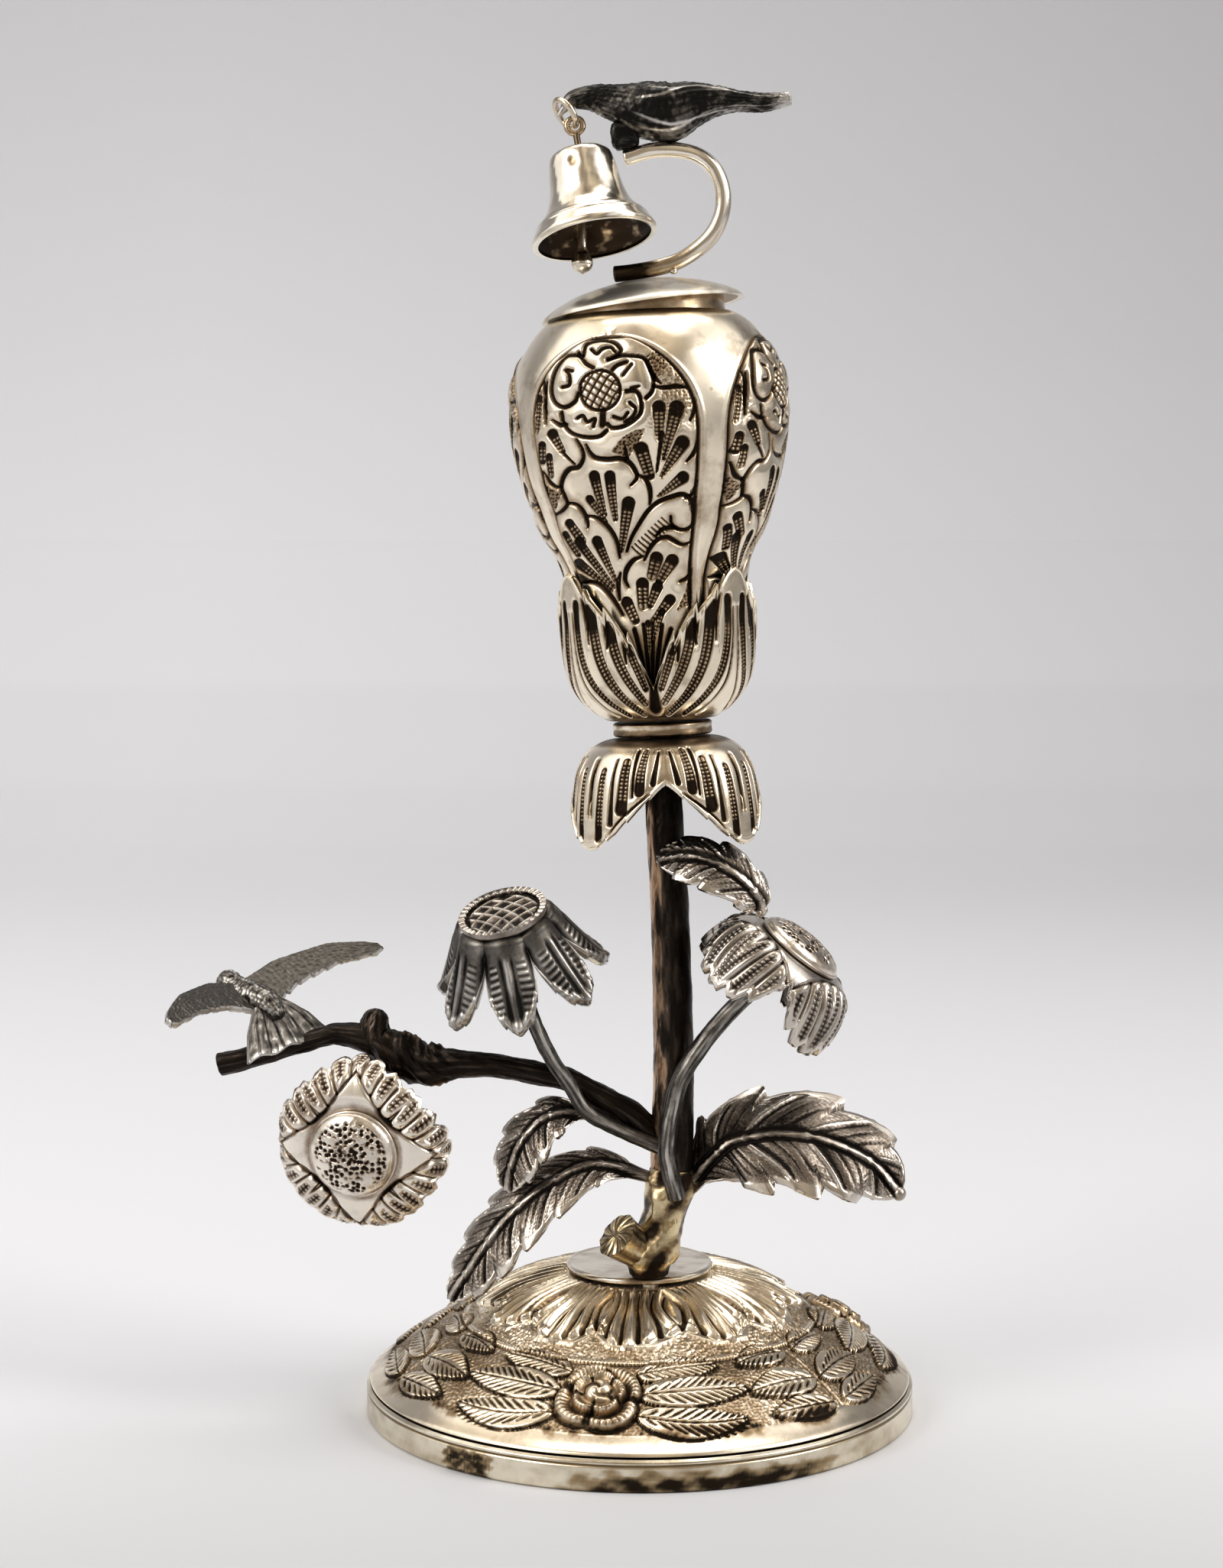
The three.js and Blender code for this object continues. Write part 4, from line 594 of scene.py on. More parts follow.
def veined_leaf(work, base, tip, width, bend, veins):
    """A pointed leaf with a bent midrib, short curved veins on both sides and a cut outline."""
    base, tip = np.asarray(base, float), np.asarray(tip, float)
    along = tip - base
    length = np.linalg.norm(along)
    side = np.array([-along[1], along[0]]) / length
    t = np.linspace(0, 1, 17)
    spine = base + along * t[:, None] + side * (bend * np.sin(np.pi * t))[:, None]
    half = width * np.sin(np.pi * t ** 0.8) ** 0.75
    body = np.vstack([spine + side * half[:, None], (spine - side * half[:, None])[::-1]])
    inside = work.within(body)
    work.height = work.height * (1 - inside) + 0.36 * inside
    work.dark *= 1 - inside
    for sign in (1, -1):
        work.cut(spine + side * (half * sign)[:, None], 0.4, 0.26, 0.9)
    work.cut(spine, 0.34, 0.2, 0.9)
    for k in range(1, veins):
        s = k / veins
        here = base + along * s + side * bend * math.sin(math.pi * s)
        for sign in (1, -1):
            reach = width * math.sin(math.pi * s ** 0.8) ** 0.75
            end = here + along / length * reach * 1.1 + side * sign * reach * 0.82
            line = [here + (end - here) * 0.2, here + (end - here) * 0.6, end]
            work.cut(line, [0.14, 0.52, 0.3], 0.24, 0.95)


def rosette(work, middle, radius):
    """A flower with four scalloped petals, an inner ring of small ones and a folded heart."""
    x, y = work.x - middle[0], work.y - middle[1]
    r, a = np.hypot(x, y), np.arctan2(y, x)
    for count, size, turn, lift in ((4, 1.0, 0.6, 0.0), (5, 0.62, 0.2, 0.5)):
        lobe = np.abs(np.cos(count / 2 * (a + turn)))
        rim = radius * size * (0.84 + 0.2 * lobe ** 0.6)
        inside = smooth(rim + 0.1, rim - 0.25, r)
        share = np.clip(r / rim, 0, 1)
        dish = lift + 0.5 + 0.45 * peak(share - 0.84, 0.1) - 0.35 * peak(share - 0.6, 0.14)
        hollow = 0.5 * peak(share - 0.58, 0.12)
        seam = smooth(0.32, 0.1, lobe) * smooth(0.45, 0.7, share)
        comb = smooth(0.35, 0.9, np.sin(a * 46)) * smooth(0.62, 0.72, share) * smooth(0.97, 0.9, share)
        work.height = work.height * (1 - inside) + inside * (dish - 0.4 * seam - 0.12 * comb)
        shade = np.clip(0.18 + 0.75 * seam + 0.5 * comb + hollow, 0, 1)
        work.dark = work.dark * (1 - inside) + inside * shade
        line = peak(r - rim - 0.12, 0.3)
        work.height -= 0.35 * line
        work.dark = np.maximum(work.dark, 0.95 * line)
    heart = smooth(radius * 0.36, radius * 0.3, r)
    fold = np.sin(a * 2 + r * 2.6)
    work.height += heart * (0.5 * np.sqrt(np.clip(1 - (r / (radius * 0.38)) ** 2, 0, 1)) + 0.2 * fold)
    work.dark = np.maximum(work.dark, heart * smooth(0.1, 0.8, -fold) * 0.85)


def repeated(angle, count):
    """The angle from the middle of the nearest of so many repeats."""
    pitch = 2 * np.pi / count
    return np.mod(angle + pitch / 2, pitch) - pitch / 2


def frieze_work(angle, r, down):
    """Rosettes with leaves between them on a punched ground, all round the foot."""
    radius = (FRIEZE_INNER + FRIEZE_OUTER) / 2
    work = Chasing(repeated(angle - math.radians(ROSETTE_TURN), ROSETTE_COUNT) * radius, -down - 6.0)
    outside = smooth(FRIEZE_INNER + 0.25, FRIEZE_INNER + 0.6, r)
    work.ground(outside * smooth(FRIEZE_OUTER + 0.7, FRIEZE_OUTER + 0.2, r), 0.5, 0.18, 3, 0.62)
    seam = 2 * np.pi / ROSETTE_COUNT * radius / 2
    from_seam = [((seam - a[0], a[1]), (seam - b[0], b[1]), *rest) for a, b, *rest in SEAM_LEAVES]
    for sign in (1, -1):
        for base, tip, width, bend, veins in from_seam + ROSETTE_LEAVES:
            veined_leaf(work, (base[0] * sign, base[1]), (tip[0] * sign, tip[1]), width, bend * sign, veins)
    for sign in (1, -1):
        work.cut([(seam * sign, -5.5), (seam * sign, 5.5)], 0.4, 0.2, 0.9)
    rosette(work, (0.0, 0.0), ROSETTE_RADIUS)
    return work


def flame_work(angle, r, up):
    """Leaves that droop from the plate like flames, down to a punched border."""
    uneven = angle + 0.05 * np.sin(3 * angle + 1) + 0.035 * np.sin(7 * angle)
    across = repeated(uneven, FLAME_COUNT) * FLAME_MIDDLE * np.clip(r / FLAME_MIDDLE, 0.5, 1.3)
    wide = 2 * np.pi / FLAME_COUNT * FLAME_MIDDLE / 2
    work = Chasing(across, up)
    edge = np.abs(across) / (wide * (0.5 + 0.62 * smooth(-0.5, 3.2, up)))
    outside = smooth(0.95, 1.1, edge) + smooth(0.9, 0.3, up)
    upper = smooth(FRIEZE_INNER - 0.2, FRIEZE_INNER - 0.7, r)
    work.ground(np.clip(outside, 0, 1) * upper, 0.5, 0.3, 5, 0.5)

    def drooping(shift, bend, foot, count):
        top, low = wide * shift * 0.6, wide * shift
        line = [(top, 13.0), (top + bend * 0.2, 8.5), ((top + low) / 2 + bend * 0.5, 5.0)]
        return curve_at(line + [(low + bend * share, z) for share, z in foot], np.linspace(0, 1, count))

    for shift, low, bend, breadth in FINGERS:
        line = drooping(shift, bend, [(0.3, low + 1.2), (-0.2, low)], 20)
        widths = [(0, 0.4), (0.5, breadth * 0.8), (0.85, breadth * 1.25), (1, breadth * 0.8)]
        work.ridge(line, table(widths, np.linspace(0, 1, 20)), 0.75)
    for shift, low, bend in GAPS:
        widths = table([(0, 0.12), (0.5, 0.42), (1, 0.8)], np.linspace(0, 1, 16))
        work.cut(drooping(shift, bend, [(0, low)], 16), widths, 0.32, 0.85, halo=1.3)
    work.settle(0.14, 0.3)
    return upper * work.height, upper * work.dark


def foot_dome():
    outline = resample(DOME_OUTLINE, DOME_ROWS)
    angle = full_turn(DOME_TURNS)
    r = outline[:, :1]
    run = run_along(outline)

    def past(radius):
        """How far up the dome each row is from the one with this radius."""
        return (run - np.interp(radius, r[::-1, 0], run[::-1]))[:, None]

    frieze = frieze_work(angle, r, past(FRIEZE_INNER))
    flame_height, flame_dark = flame_work(angle, r, past(FLAME_OUTER))
    height = frieze.height + flame_height
    dark = np.maximum(frieze.dark, flame_dark)

    # Beaded line between the two fields, with a groove outside it
    bead = np.abs(np.sin(angle * 150)) ** 2
    line = peak(r - FRIEZE_INNER, 0.22)
    height = height - 0.25 * peak(r - FRIEZE_INNER - 0.3, 0.2) + 0.22 * line * bead
    dark = np.maximum(dark, peak(r - FRIEZE_INNER - 0.25, 0.25) * 0.9)
    dark = dark * (1 - 0.7 * line * bead)
    grime = wave_noise(np.cos(angle) * r, np.sin(angle) * r, 14, 21)
    specks = wave_noise(np.cos(angle) * r, np.sin(angle) * r, 2.5, 23)
    dark = dark + 0.2 * grime + 0.12 * specks
    dark = dark + 0.55 * peak(r - 34.0, 0.8) * (0.5 + 1.2 * grime + 0.6 * specks)
    relief = height * (smooth(36.2, 34.5, r) * smooth(9.5, 10.3, r))

    # The plain faces: top, underside and the foot's inner edge
    inner = outline - (0.25, 0.85)
    inner[0] = (35.4, 4.4)
    top = polyline([outline[-1], (0.02, 18.0)], 6)
    under = polyline([(0.02, 17.1), (9.4, 17.1)], 6)
    coarse = DOME_TURNS // 4
    build("chased_dome", [
        revolve(outline, DOME_TURNS, relief, dark, (0, 0, 1, 0.78)),
        revolve(top, coarse, dark=0.2, area=(0, 0.8, 1, 0.84)),
        revolve(under, coarse, dark=0.7, area=(0, 0.85, 1, 0.88)),
        revolve(inner[::-1][::6], coarse, dark=0.7, area=(0, 0.89, 1, 0.97)),
        revolve([(35.4, 4.4), (36.3, 4.4)], coarse, dark=0.5, area=(0, 0.98, 1, 1)),
    ], FOOT, ["foot_dome"])


def foot_plate():
    outline = polyline([(0.02, 18.32), (9.6, 18.32), (PLATE_RADIUS, 18.55), (PLATE_RADIUS, 18.9),
                        (9.7, 19.12), (9.45, 19.18), (9.2, 19.1), (8.9, 19.08), (0.02, 19.08)], 60)
    angle = full_turn(PLATE_TURNS)
    r = outline[:, :1]
    x, y = r * np.cos(angle), r * np.sin(angle)
    # Darker in a ring round the root's foot
    dark = 0.14 + 0.3 * wave_noise(x, y, 6, 5) + 0.35 * peak(np.hypot(x - 1.3, y + 8.1) - 2.6, 1.4)
    part = revolve(outline, PLATE_TURNS, dark=np.clip(dark, 0, 0.8))
    part["points"] = part["points"] + (0, PLATE_BACK, 0)
    build("plate", [part], POLISHED, ["foot_top_plate"])


# Root, stem and branch

ROOT_FOOT = np.array([1.26, -6.6, 19.5])
ROOT_HEIGHT = 13.6
ROOT_RADIUS = 2.7
ROOT_PATH = [(0, 0, 0), (0, 0, 0.07), (0.01, 0, 0.18), (0.09, 0.02, 0.39), (0.15, 0.045, 0.57),
             (0.18, 0.06, 0.72), (0.21, 0.075, 0.86), (0.223, 0.088, 1)]
STUB_PATH = [(0.04, 0.1, 0.42), (-0.3, -0.1, 0.66), (-0.62, -0.26, 0.92), (-0.84, -0.4, 1.12)]
STEM_FOOT = np.array([4.293, -5.403, 33.4])
STEM_HEIGHT = 57.0
STEM_PATH = [(0, 0, 0), (0.003, 0.012, 0.18), (0.003, 0.023, 0.31), (-0.006, 0.047, 0.61),
             (-0.019, 0.063, 0.826), (-0.022, 0.077, 1)]
BRANCH_START = np.array([1.564, -5.086, 38.307])
BRANCH_REACH = 58.0
BRANCH_PATH = [(0.03, -0.001, -0.03), (-0.051, 0.002, 0.038), (-0.107, 0.005, 0.069),
               (-0.187, 0.012, 0.114), (-0.236, 0.017, 0.124), (-0.349, 0.028, 0.144),
               (-0.44, 0.034, 0.147), (-0.516, 0.041, 0.146), (-0.582, 0.047, 0.171), (-0.635, 0.05, 0.198),
               (-0.716, 0.055, 0.213), (-0.761, 0.059, 0.204), (-0.919, 0.066, 0.158),
               (-0.996, 0.069, 0.139)]
BRANCH_GIRTH = [1.25, 1.25, 1.2, 1, 1, 1.02, 1.25, 1.85, 2.05, 1.4, 0.95, 0.88, 0.95, 1.02]
KNUCKLE = np.array([-35.266, -2.186, 49.791])
KNOB_PATH = [(0, 0, 0), (-0.1, 0, 1.6), (0.1, 0, 2.9), (0.3, 0, 3.8), (0.4, 0, 4.2)]


def path_from(start, shares, size):
    return np.asarray(start, float) + np.asarray(shares, float) * size


def bark(seed, size, depth):
    """Uneven knocks and lengthwise streaks, as on a piece shaped by filing."""
    def relief(angle, distance):
        knocks = wave_noise(np.cos(angle) * 2.2, distance * 0.6 + np.sin(angle) * 2.2, size, seed)
        return depth * (knocks + 0.4 * wave_noise(angle * 5, distance * 0.25, 1.2, seed + 1))
    return relief


def streaks_and_sheen(seed, base, amount, left=0.0, span=0.5, shine=0.5):
    """A dark wire with lighter streaks of wear, and a painted sheen along the side that faces the left angle,
    where the light falls, broken up by the streaks.
    """
    def dark(angle, distance):
        streak = wave_noise(angle * 3.0, distance * 0.16, 1.6, seed)
        # Painted sheen: lighter along the lit side
        edge = peak(np.abs(wrapped(angle - left)), span)
        painted_sheen = shine * edge * (0.7 + 0.9 * np.clip(streak, -0.5, 1))
        return base - amount * np.clip(streak, -0.4, 1) - painted_sheen
    return dark


def root():
    """A knotty root with a stub at its side, whose cut face has ribs fanning from its middle."""
    girth = np.array([0.95, 1.02, 1.22, 1.1, 1.08, 1.2, 1.18, 1.05]) * ROOT_RADIUS
    stub_girth = np.array([0.8, 0.9, 1.04, 1.14]) * ROOT_RADIUS
    stub_path = path_from(ROOT_FOOT, STUB_PATH, 5.0)
    sides = 96

    def knotted(angle, distance):
        swirl = np.sin(angle * 2 + distance * 0.55) * 0.26 + np.sin(angle * 5 - distance * 0.8) * 0.14
        lumps = wave_noise(np.cos(angle) * 2.5, distance * 0.7 + np.sin(angle) * 2, 3.0, 31)
        return smooth(0, 3.5, distance) * (swirl + 0.22 * lumps)

    def knotted_dark(angle, distance):
        swirl = -np.sin(angle * 2 + distance * 0.55) * 0.3 - 0.35 * np.sin(angle * 5 - distance * 0.8)
        swirl = swirl + 0.4 * wave_noise(angle * 2.6, distance, 3.2, 33)
        return np.clip(0.4 + swirl, -0.1, 1) + smooth(1.4, 0.3, distance) + 0.35 * smooth(9, 15, distance)

    def shell(angle, distance):
        return 0.1 * np.sin(angle * 9) * smooth(0, 3, distance)

    def shell_dark(angle, distance):
        return 0.3 + 0.3 * np.sin(angle * 9 + 0.5) + 0.2 * wave_noise(angle * 3, distance * 2, 2, 9)

    main = rod(path_from(ROOT_FOOT, ROOT_PATH, ROOT_HEIGHT), girth, sides=sides, steps=150,
               relief=knotted, dark=knotted_dark)
    stub = rod(stub_path, stub_girth, side=(0, 1, 0), sides=sides, steps=60,
               relief=shell, dark=shell_dark, caps=(True, False))
    along = unit(stub_path[-1] - stub_path[-2])
    across = unit(np.array([0, 1.0, 0]) - along * along[1])
    up = np.cross(along, across)
    rings = np.linspace(1, 0.01, 24)[:, None]
    angle = full_turn(sides)
    edge = stub_girth[-1] + 0.1 * np.sin(angle * 9)
    ribs = np.sin(angle * 12 + rings * 4)
    lift = 0.3 * (1 - rings ** 2) + 0.1 * ribs * smooth(0.05, 0.4, rings)
    sideways = across * (np.cos(angle) * edge)[:, None] * rings[..., None]
    upwards = up * (np.sin(angle) * edge)[:, None] * rings[..., None]
    shade = 0.15 + 0.45 * smooth(0.1, 0.9, -ribs) * smooth(0.05, 0.4, rings)
    face = patch(stub_path[-1] + sideways + upwards + along * lift[..., None], shade, True)
    build("root", [main, stub, face], BRASSY, ["stem_root"])


def stem():
    part = rod(path_from(STEM_FOOT, STEM_PATH, STEM_HEIGHT), [2.82, 2.36], sides=96, steps=320,
               relief=bark(41, 3.0, 0.1),
               dark=streaks_and_sheen(42, 0.8, 0.35, left=math.radians(210), span=0.55, shine=1.1))
    build("stem", [part], BLACK, ["main_stem"])


def branch():
    """A branch with filed nicks and a swollen knot, and the knuckle that stands on it."""
    def nicks(angle, distance):
        row = (distance > 24) & (distance < 30.5)
        marks = peak(np.mod(distance, 0.95) - 0.47, 0.13)
        facing = peak(np.abs(wrapped(angle - math.radians(330))), 0.5)
        knot = smooth(30, 33, distance) * smooth(44, 40, distance)
        lumps = wave_noise(np.cos(angle) * 2.6, distance * 0.8 + np.sin(angle) * 2.6, 2.6, 55)
        return bark(51, 2.4, 0.16)(angle, distance) + 0.7 * knot * lumps - 0.22 * row * marks * facing

    limb = rod(path_from(BRANCH_START, BRANCH_PATH, BRANCH_REACH), np.array(BRANCH_GIRTH) * 1.5,
               side=(0, 1, 0), sides=72, steps=330, relief=nicks,
               dark=streaks_and_sheen(52, 0.82, 0.4, left=math.radians(90), span=0.6, shine=0.3))
    knob = rod(path_from(KNUCKLE, KNOB_PATH, 1), [2.3, 2.1, 1.75, 1.3, 0.6],
               side=(0, 1, 0), sides=64, steps=60,
               relief=bark(53, 1.6, 0.3), dark=streaks_and_sheen(54, 0.7, 0.5))
    build("branch", [limb, knob], BLACK, ["left_branch"])


# Leaves

LEAF_SHEET = 0.8
LEAF_ROWS = 44
LEAF_COLUMNS = 96
LEAF_OUTLINE = [(0, 0.16), (0.07, 0.2), (0.2, 0.72), (0.4, 1), (0.6, 0.97), (0.8, 0.7), (0.93, 0.36),
                (1, 0.09)]


def leaf(name, node, path, half_width, facing, droop, lobes, seed, ball=0.0, foot_darkening=0.3):
    """A leaf of hooked lobes with raised bright rims, punched fields and a ridged midrib."""
    along = np.linspace(0, 1, LEAF_ROWS * lobes)[:, None]
    across = np.linspace(-1, 1, LEAF_COLUMNS)[None, :]
    side = np.abs(across)
    lobe = np.mod(along * lobes, 1)
    notch = np.where(lobe < 0.1, 1, (1 - (lobe - 0.1) / 0.9) ** 2)
    hollow = table(LEAF_OUTLINE, along)
    width = half_width * hollow * (1 - 0.24 * notch * side)
    swept = np.clip(along + 0.1 * side * np.sin(along * np.pi), 0, 1)
    step = 0.01
    tangent = unit(curve_at(path, np.clip(swept + step, 0, 1)) - curve_at(path, np.clip(swept - step, 0, 1)))
    facing = np.asarray(facing, float)
    out = unit(facing - tangent * (tangent @ facing)[..., None])
    sideways = np.cross(tangent, out)
    middle = curve_at(path, swept) + sideways * (across * width)[..., None] \
        - out * (droop * across ** 2 * hollow)[..., None]

    # Each lobe has a vein with a groove beside it and two fine streaks
    rim = smooth(0.8, 0.88, side) * smooth(1.03, 0.97, side)
    sweep = np.mod(along * lobes - 0.5 * side + 0.04, 1)
    vein = np.clip(peak(sweep - 0.06, 0.05) + peak(sweep - 1.06, 0.05), 0, 1)
    under_vein = peak(sweep - 0.19, 0.05)
    streak = (peak(sweep - 0.45, 0.035) + peak(sweep - 0.7, 0.035)) * smooth(0.85, 0.5, side)
    rib = peak(side * width, 0.36)
    rib_edge = peak(side * width - 0.75, 0.26)
    x = across * width
    y = along * np.linalg.norm(np.diff(curve_at(path, np.linspace(0, 1, 30)), axis=0), axis=1).sum()
    punched = pits(x, y, 0.36, seed)
    field = (1 - rim) * (1 - rib) * (1 - np.clip(rib_edge, 0, 1)) * smooth(0.02, 0.08, along)
    relief = 0.3 * rim + 0.24 * rib - 0.3 * rib_edge + field * (
        0.26 * vein - 0.22 * under_vein - 0.12 * streak - 0.05 * punched + 0.34 * np.sin(sweep * np.pi))
    shade = field * (0.5 - 0.42 * side + 0.22 * punched + 0.5 * under_vein + 0.35 * streak - 0.4 * vein)
    shade = shade + 0.95 * rib_edge * smooth(0.0, 0.1, along) - 0.4 * rim
    # Random tone, then darker overall and more so towards the leaf's foot, by an amount set for each leaf
    shade = shade + 0.3 * wave_noise(x, y, 5, seed + 2) + foot_darkening * (0.3 + 0.6 * smooth(0.5, 0, along))
    fade = smooth(0, 0.03, along) * smooth(1, 0.97, along)
    parts = sheet(middle, LEAF_SHEET, relief * fade, np.clip(shade, -0.3, 1), back_dark=0.62)
    if ball:
        tip = globe(20, 32, 0.5 * np.pi - 0.03) * ball + np.asarray(path)[-1]
        parts.append(patch(tip, 0.25, True, False, (0, 0.965, 0.1, 0.97)))
    build(name, parts, LEAF, [node])


def leaves():
    leaf("right_leaf", "leaf_right", path_from((6.718, -5.967, 31.426), [
        (-0.03, 0, -0.04), (0.111, -0.01, 0.129), (0.224, -0.02, 0.199), (0.485, -0.033, 0.22),
        (0.765, -0.033, 0.118), (0.918, -0.02, -0.038)], 30),
        8.0, (0.1, -0.74, 0.66), 1.44, 5, 61, ball=0.95, foot_darkening=0.48)
    leaf("front_leaf", "leaf_front_left", path_from((0.133, -6.616, 32.695), [
        (0.06, 0.02, -0.02), (-0.195, -0.027, 0.05), (-0.412, -0.053, -0.04), (-0.597, -0.067, -0.2),
        (-0.732, -0.067, -0.385), (-0.835, -0.053, -0.545)], 30),
        5.4, (-0.4, -0.62, 0.67), 1.2, 6, 63, foot_darkening=0.2)
    leaf("back_leaf", "leaf_back_left", path_from((-6.502, -6.269, 40.385), [
        (0.02, -0.02, 0.02), (-0.33, -0.043, 0.03), (-0.58, -0.086, -0.15), (-0.72, -0.1, -0.42),
        (-0.77, -0.086, -0.685)], 14),
        4.7, (-0.5, -0.6, 0.62), 0.8, 4, 65)
    leaf("curled_leaf", "right_flower_leaf", path_from((15.899, -7.84, 67.453), [
        (0, -0.01, 0), (-0.03, -0.06, 0.14), (-0.17, -0.09, 0.3), (-0.4, -0.05, 0.44),
        (-0.65, 0.02, 0.48), (-0.84, 0.08, 0.45)], 16),
        4.1, (0.3, -0.78, 0.6), 1.12, 4, 67, foot_darkening=-0.1)


# Flowers

MIDDLE_FLOWER = aimed((-17.712, -8.849, 67.285), (-0.22, -0.39, 0.895))
RIGHT_FLOWER = aimed((20.843, -7.243, 62.77), (0.613, -0.1, 0.784))
HANGING_FLOWER = aimed((-37.546, -8.786, 35.991), (-0.2, -0.965, -0.16))
# Where a stalk turns to a flower's axis and where it ends, behind the flower's middle
STALK_TURN = 4.35
STALK_END = 0.45
PETAL_SHEET = 0.7
HUB_BASE = -0.3 - PETAL_SHEET / 2
BOSS_RADIUS = 5.75
BOSS_RISE = 2.0
LOBED_SKIRT = [(0.58, 0), (0.72, -0.02), (0.87, -0.15), (0.965, -0.4), (1, -0.72), (0.985, -1)]
POINTED_SKIRT = [(0.5, 0), (0.56, -0.06), (0.66, -0.3), (0.8, -0.6), (1, -1)]


def skirt(outline, tips, reach, edge, bulge, turns, rows, serration, teeth):
    """Petals round a hub: their points, then for each point its angle from the midrib, its place
    along the outline, the distance down it, where the petal ends and its radius.

    The edge table gives how far the petal reaches, from its midrib at 0 to its seam at 1."""
    angle = full_turn(turns)[None, :]
    apart = np.stack([wrapped(angle - t) for t in tips])
    nearest = np.argmin(np.abs(apart), axis=0)
    signed = np.take_along_axis(apart, nearest[None], axis=0)[0]
    across = np.clip(np.abs(signed) / reach, 0, 1)
    saw = np.mod(across * teeth, 1)
    limit = table(edge, across) - serration * saw * smooth(0.02, 0.15, across) * smooth(1, 0.85, across)
    place = np.linspace(0, 1, rows)[:, None] * limit
    point = curve_at(outline, place)
    radius = point[..., 0] + bulge * place * (1 - across ** 2)
    grid = np.stack([np.cos(angle) * radius, np.sin(angle) * radius, point[..., 1]], axis=2)
    length = run_along(curve_at(outline, np.linspace(0, 1, 200)))
    arc = np.interp(place, np.linspace(0, 1, 200), length)
    return grid, np.broadcast_to(signed, place.shape), place, arc, np.broadcast_to(limit, place.shape), radius


def hub(shares, radius, drop, hole):
    """A skirt's outline in millimetres, from the edge of its hole."""
    return [(hole, HUB_BASE)] + [(a * radius, HUB_BASE + b * drop) for a, b in shares]


def boss(name, node, place, seed):
    """A polished dome with random dark punch pits, on a plain rim."""
    turns = 320
    p = np.linspace(0, np.pi / 2 * 0.995, 110)[:, None]
    angle = full_turn(turns)
    r = BOSS_RADIUS * np.cos(p)
    z = 0.5 + BOSS_RISE * np.sin(p)
    x, y = r * np.cos(angle), r * np.sin(angle)
    crowded = smooth(-0.6, 0.2, wave_noise(x, y, 3, seed + 2)) * smooth(5.3, 4.7, r)
    extra = pits(x * 0.8 - y * 0.6, x * 0.6 + y * 0.8, 0.95, seed + 4, 0.36) * smooth(3.6, 2.4, r)
    mark = np.maximum(pits(x, y, 0.72, seed, 0.48) * crowded, extra) ** 1.6
    relief = -0.16 * mark + 0.05 * wave_noise(x, y, 3, seed)
    shade = 1.1 * mark - 0.04 + 0.1 * wave_noise(x, y, 3.5, seed + 1) + 0.25 * smooth(5.1, 5.7, r)
    rim = polyline([(0.05, 0.02), (5.9, 0.02), (6.0, 0.15), (6.0, 0.4), (5.85, 0.5), (BOSS_RADIUS, 0.5)], 22)
    build(name, [revolve(np.hstack([r, z]), turns, relief, np.clip(shade, 0, 1), (0, 0, 1, 0.8)),
                 revolve(rim, turns, dark=0.25, area=(0, 0.82, 1, 1))],
          PETAL, [node], place)


# How far a petal of the right and the hanging flower reaches, from its midrib to its seam
SIDE_EDGE = [(0, 0.97), (0.1, 1), (0.21, 0.9), (0.31, 0.98), (0.42, 0.96), (0.53, 0.84), (0.63, 0.88),
             (0.74, 0.8), (0.855, 0.68), (0.93, 0.66), (1, 0.56)]
HANGING_EDGE = [(0, 0.63), (0.1, 0.66), (0.21, 0.59), (0.31, 0.67), (0.42, 0.71), (0.53, 0.65),
                (0.63, 0.77), (0.75, 0.85), (0.855, 0.79), (0.93, 0.94), (1, 0.97)]


def lobed_corolla(name, node, place, radius, drop, hole, seed, material, edge):
    """Four ruffled petals round a smooth diamond that frames the boss."""
    reach = math.pi / 4
    tips = [reach + k * math.pi / 2 for k in range(4)]
    outline = hub(LOBED_SKIRT, radius, drop, hole)
    grid, signed, at, arc, limit, _ = skirt(outline, tips, reach, edge, 0.5, 560, 150, 0.012, 5)
    share = np.abs(signed) / reach
    # The diamond's edge: furthest out at the seams, close to the boss at each petal's midrib
    diamond = 4.75 + 8.0 * (1 / np.cos(share * math.pi / 4) ** 1.25 - 1)
    beyond = arc - diamond
    inside = smooth(0.1, -0.1, beyond)
    line = peak(beyond, 0.3)
    rim = smooth(0.1, 0.055, limit - at) * smooth(0, 0.012, limit - at)
    # Lobes fan out from the diamond, each with a dark fold at its side and beaded flutes inside
    lobe = np.mod(share * 3.1 + 0.07 * (arc - 6), 1)
    fold = peak(lobe - 0.03, 0.06) + peak(lobe - 1.03, 0.06)
    flute = peak(lobe - 0.5, 0.24, 4) * smooth(0.9, 1.6, beyond) * smooth(0.05, 0.11, limit - at)
    bead = np.abs(np.sin(arc * 5.2)) ** 1.5 * np.abs(np.sin(lobe * 4 * np.pi)) ** 1.2
    ruffle = (1 - inside) * (1 - rim * 0.7)
    folds = 0.5 * np.sin(lobe * np.pi) - 0.3 * fold - 0.3 * flute * (1 - 0.7 * bead)
    relief = 0.16 * inside - 0.22 * line + 0.3 * rim + ruffle * folds
    shade = 0.8 * line + ruffle * (0.02 + 0.8 * fold + 0.85 * flute * (1 - 0.8 * bead)) - 0.35 * rim
    shade = shade - 0.2 * inside + 0.55 * smooth(5.4, 4.6, arc)
    shade = shade + 0.2 * wave_noise(grid[..., 0], grid[..., 1], radius * 1.06 * 0.5, seed)
    relief = relief * smooth(0, 0.02, limit - at)
    build(name, sheet(grid, PETAL_SHEET, relief, np.clip(shade, -0.3, 1), wrap=True, facing=-1),
          material, [node], place)


POINTED_EDGE = [(0, 1), (0.2, 0.985), (0.45, 0.94), (0.7, 0.85), (0.87, 0.74), (0.96, 0.64), (1, 0.54)]


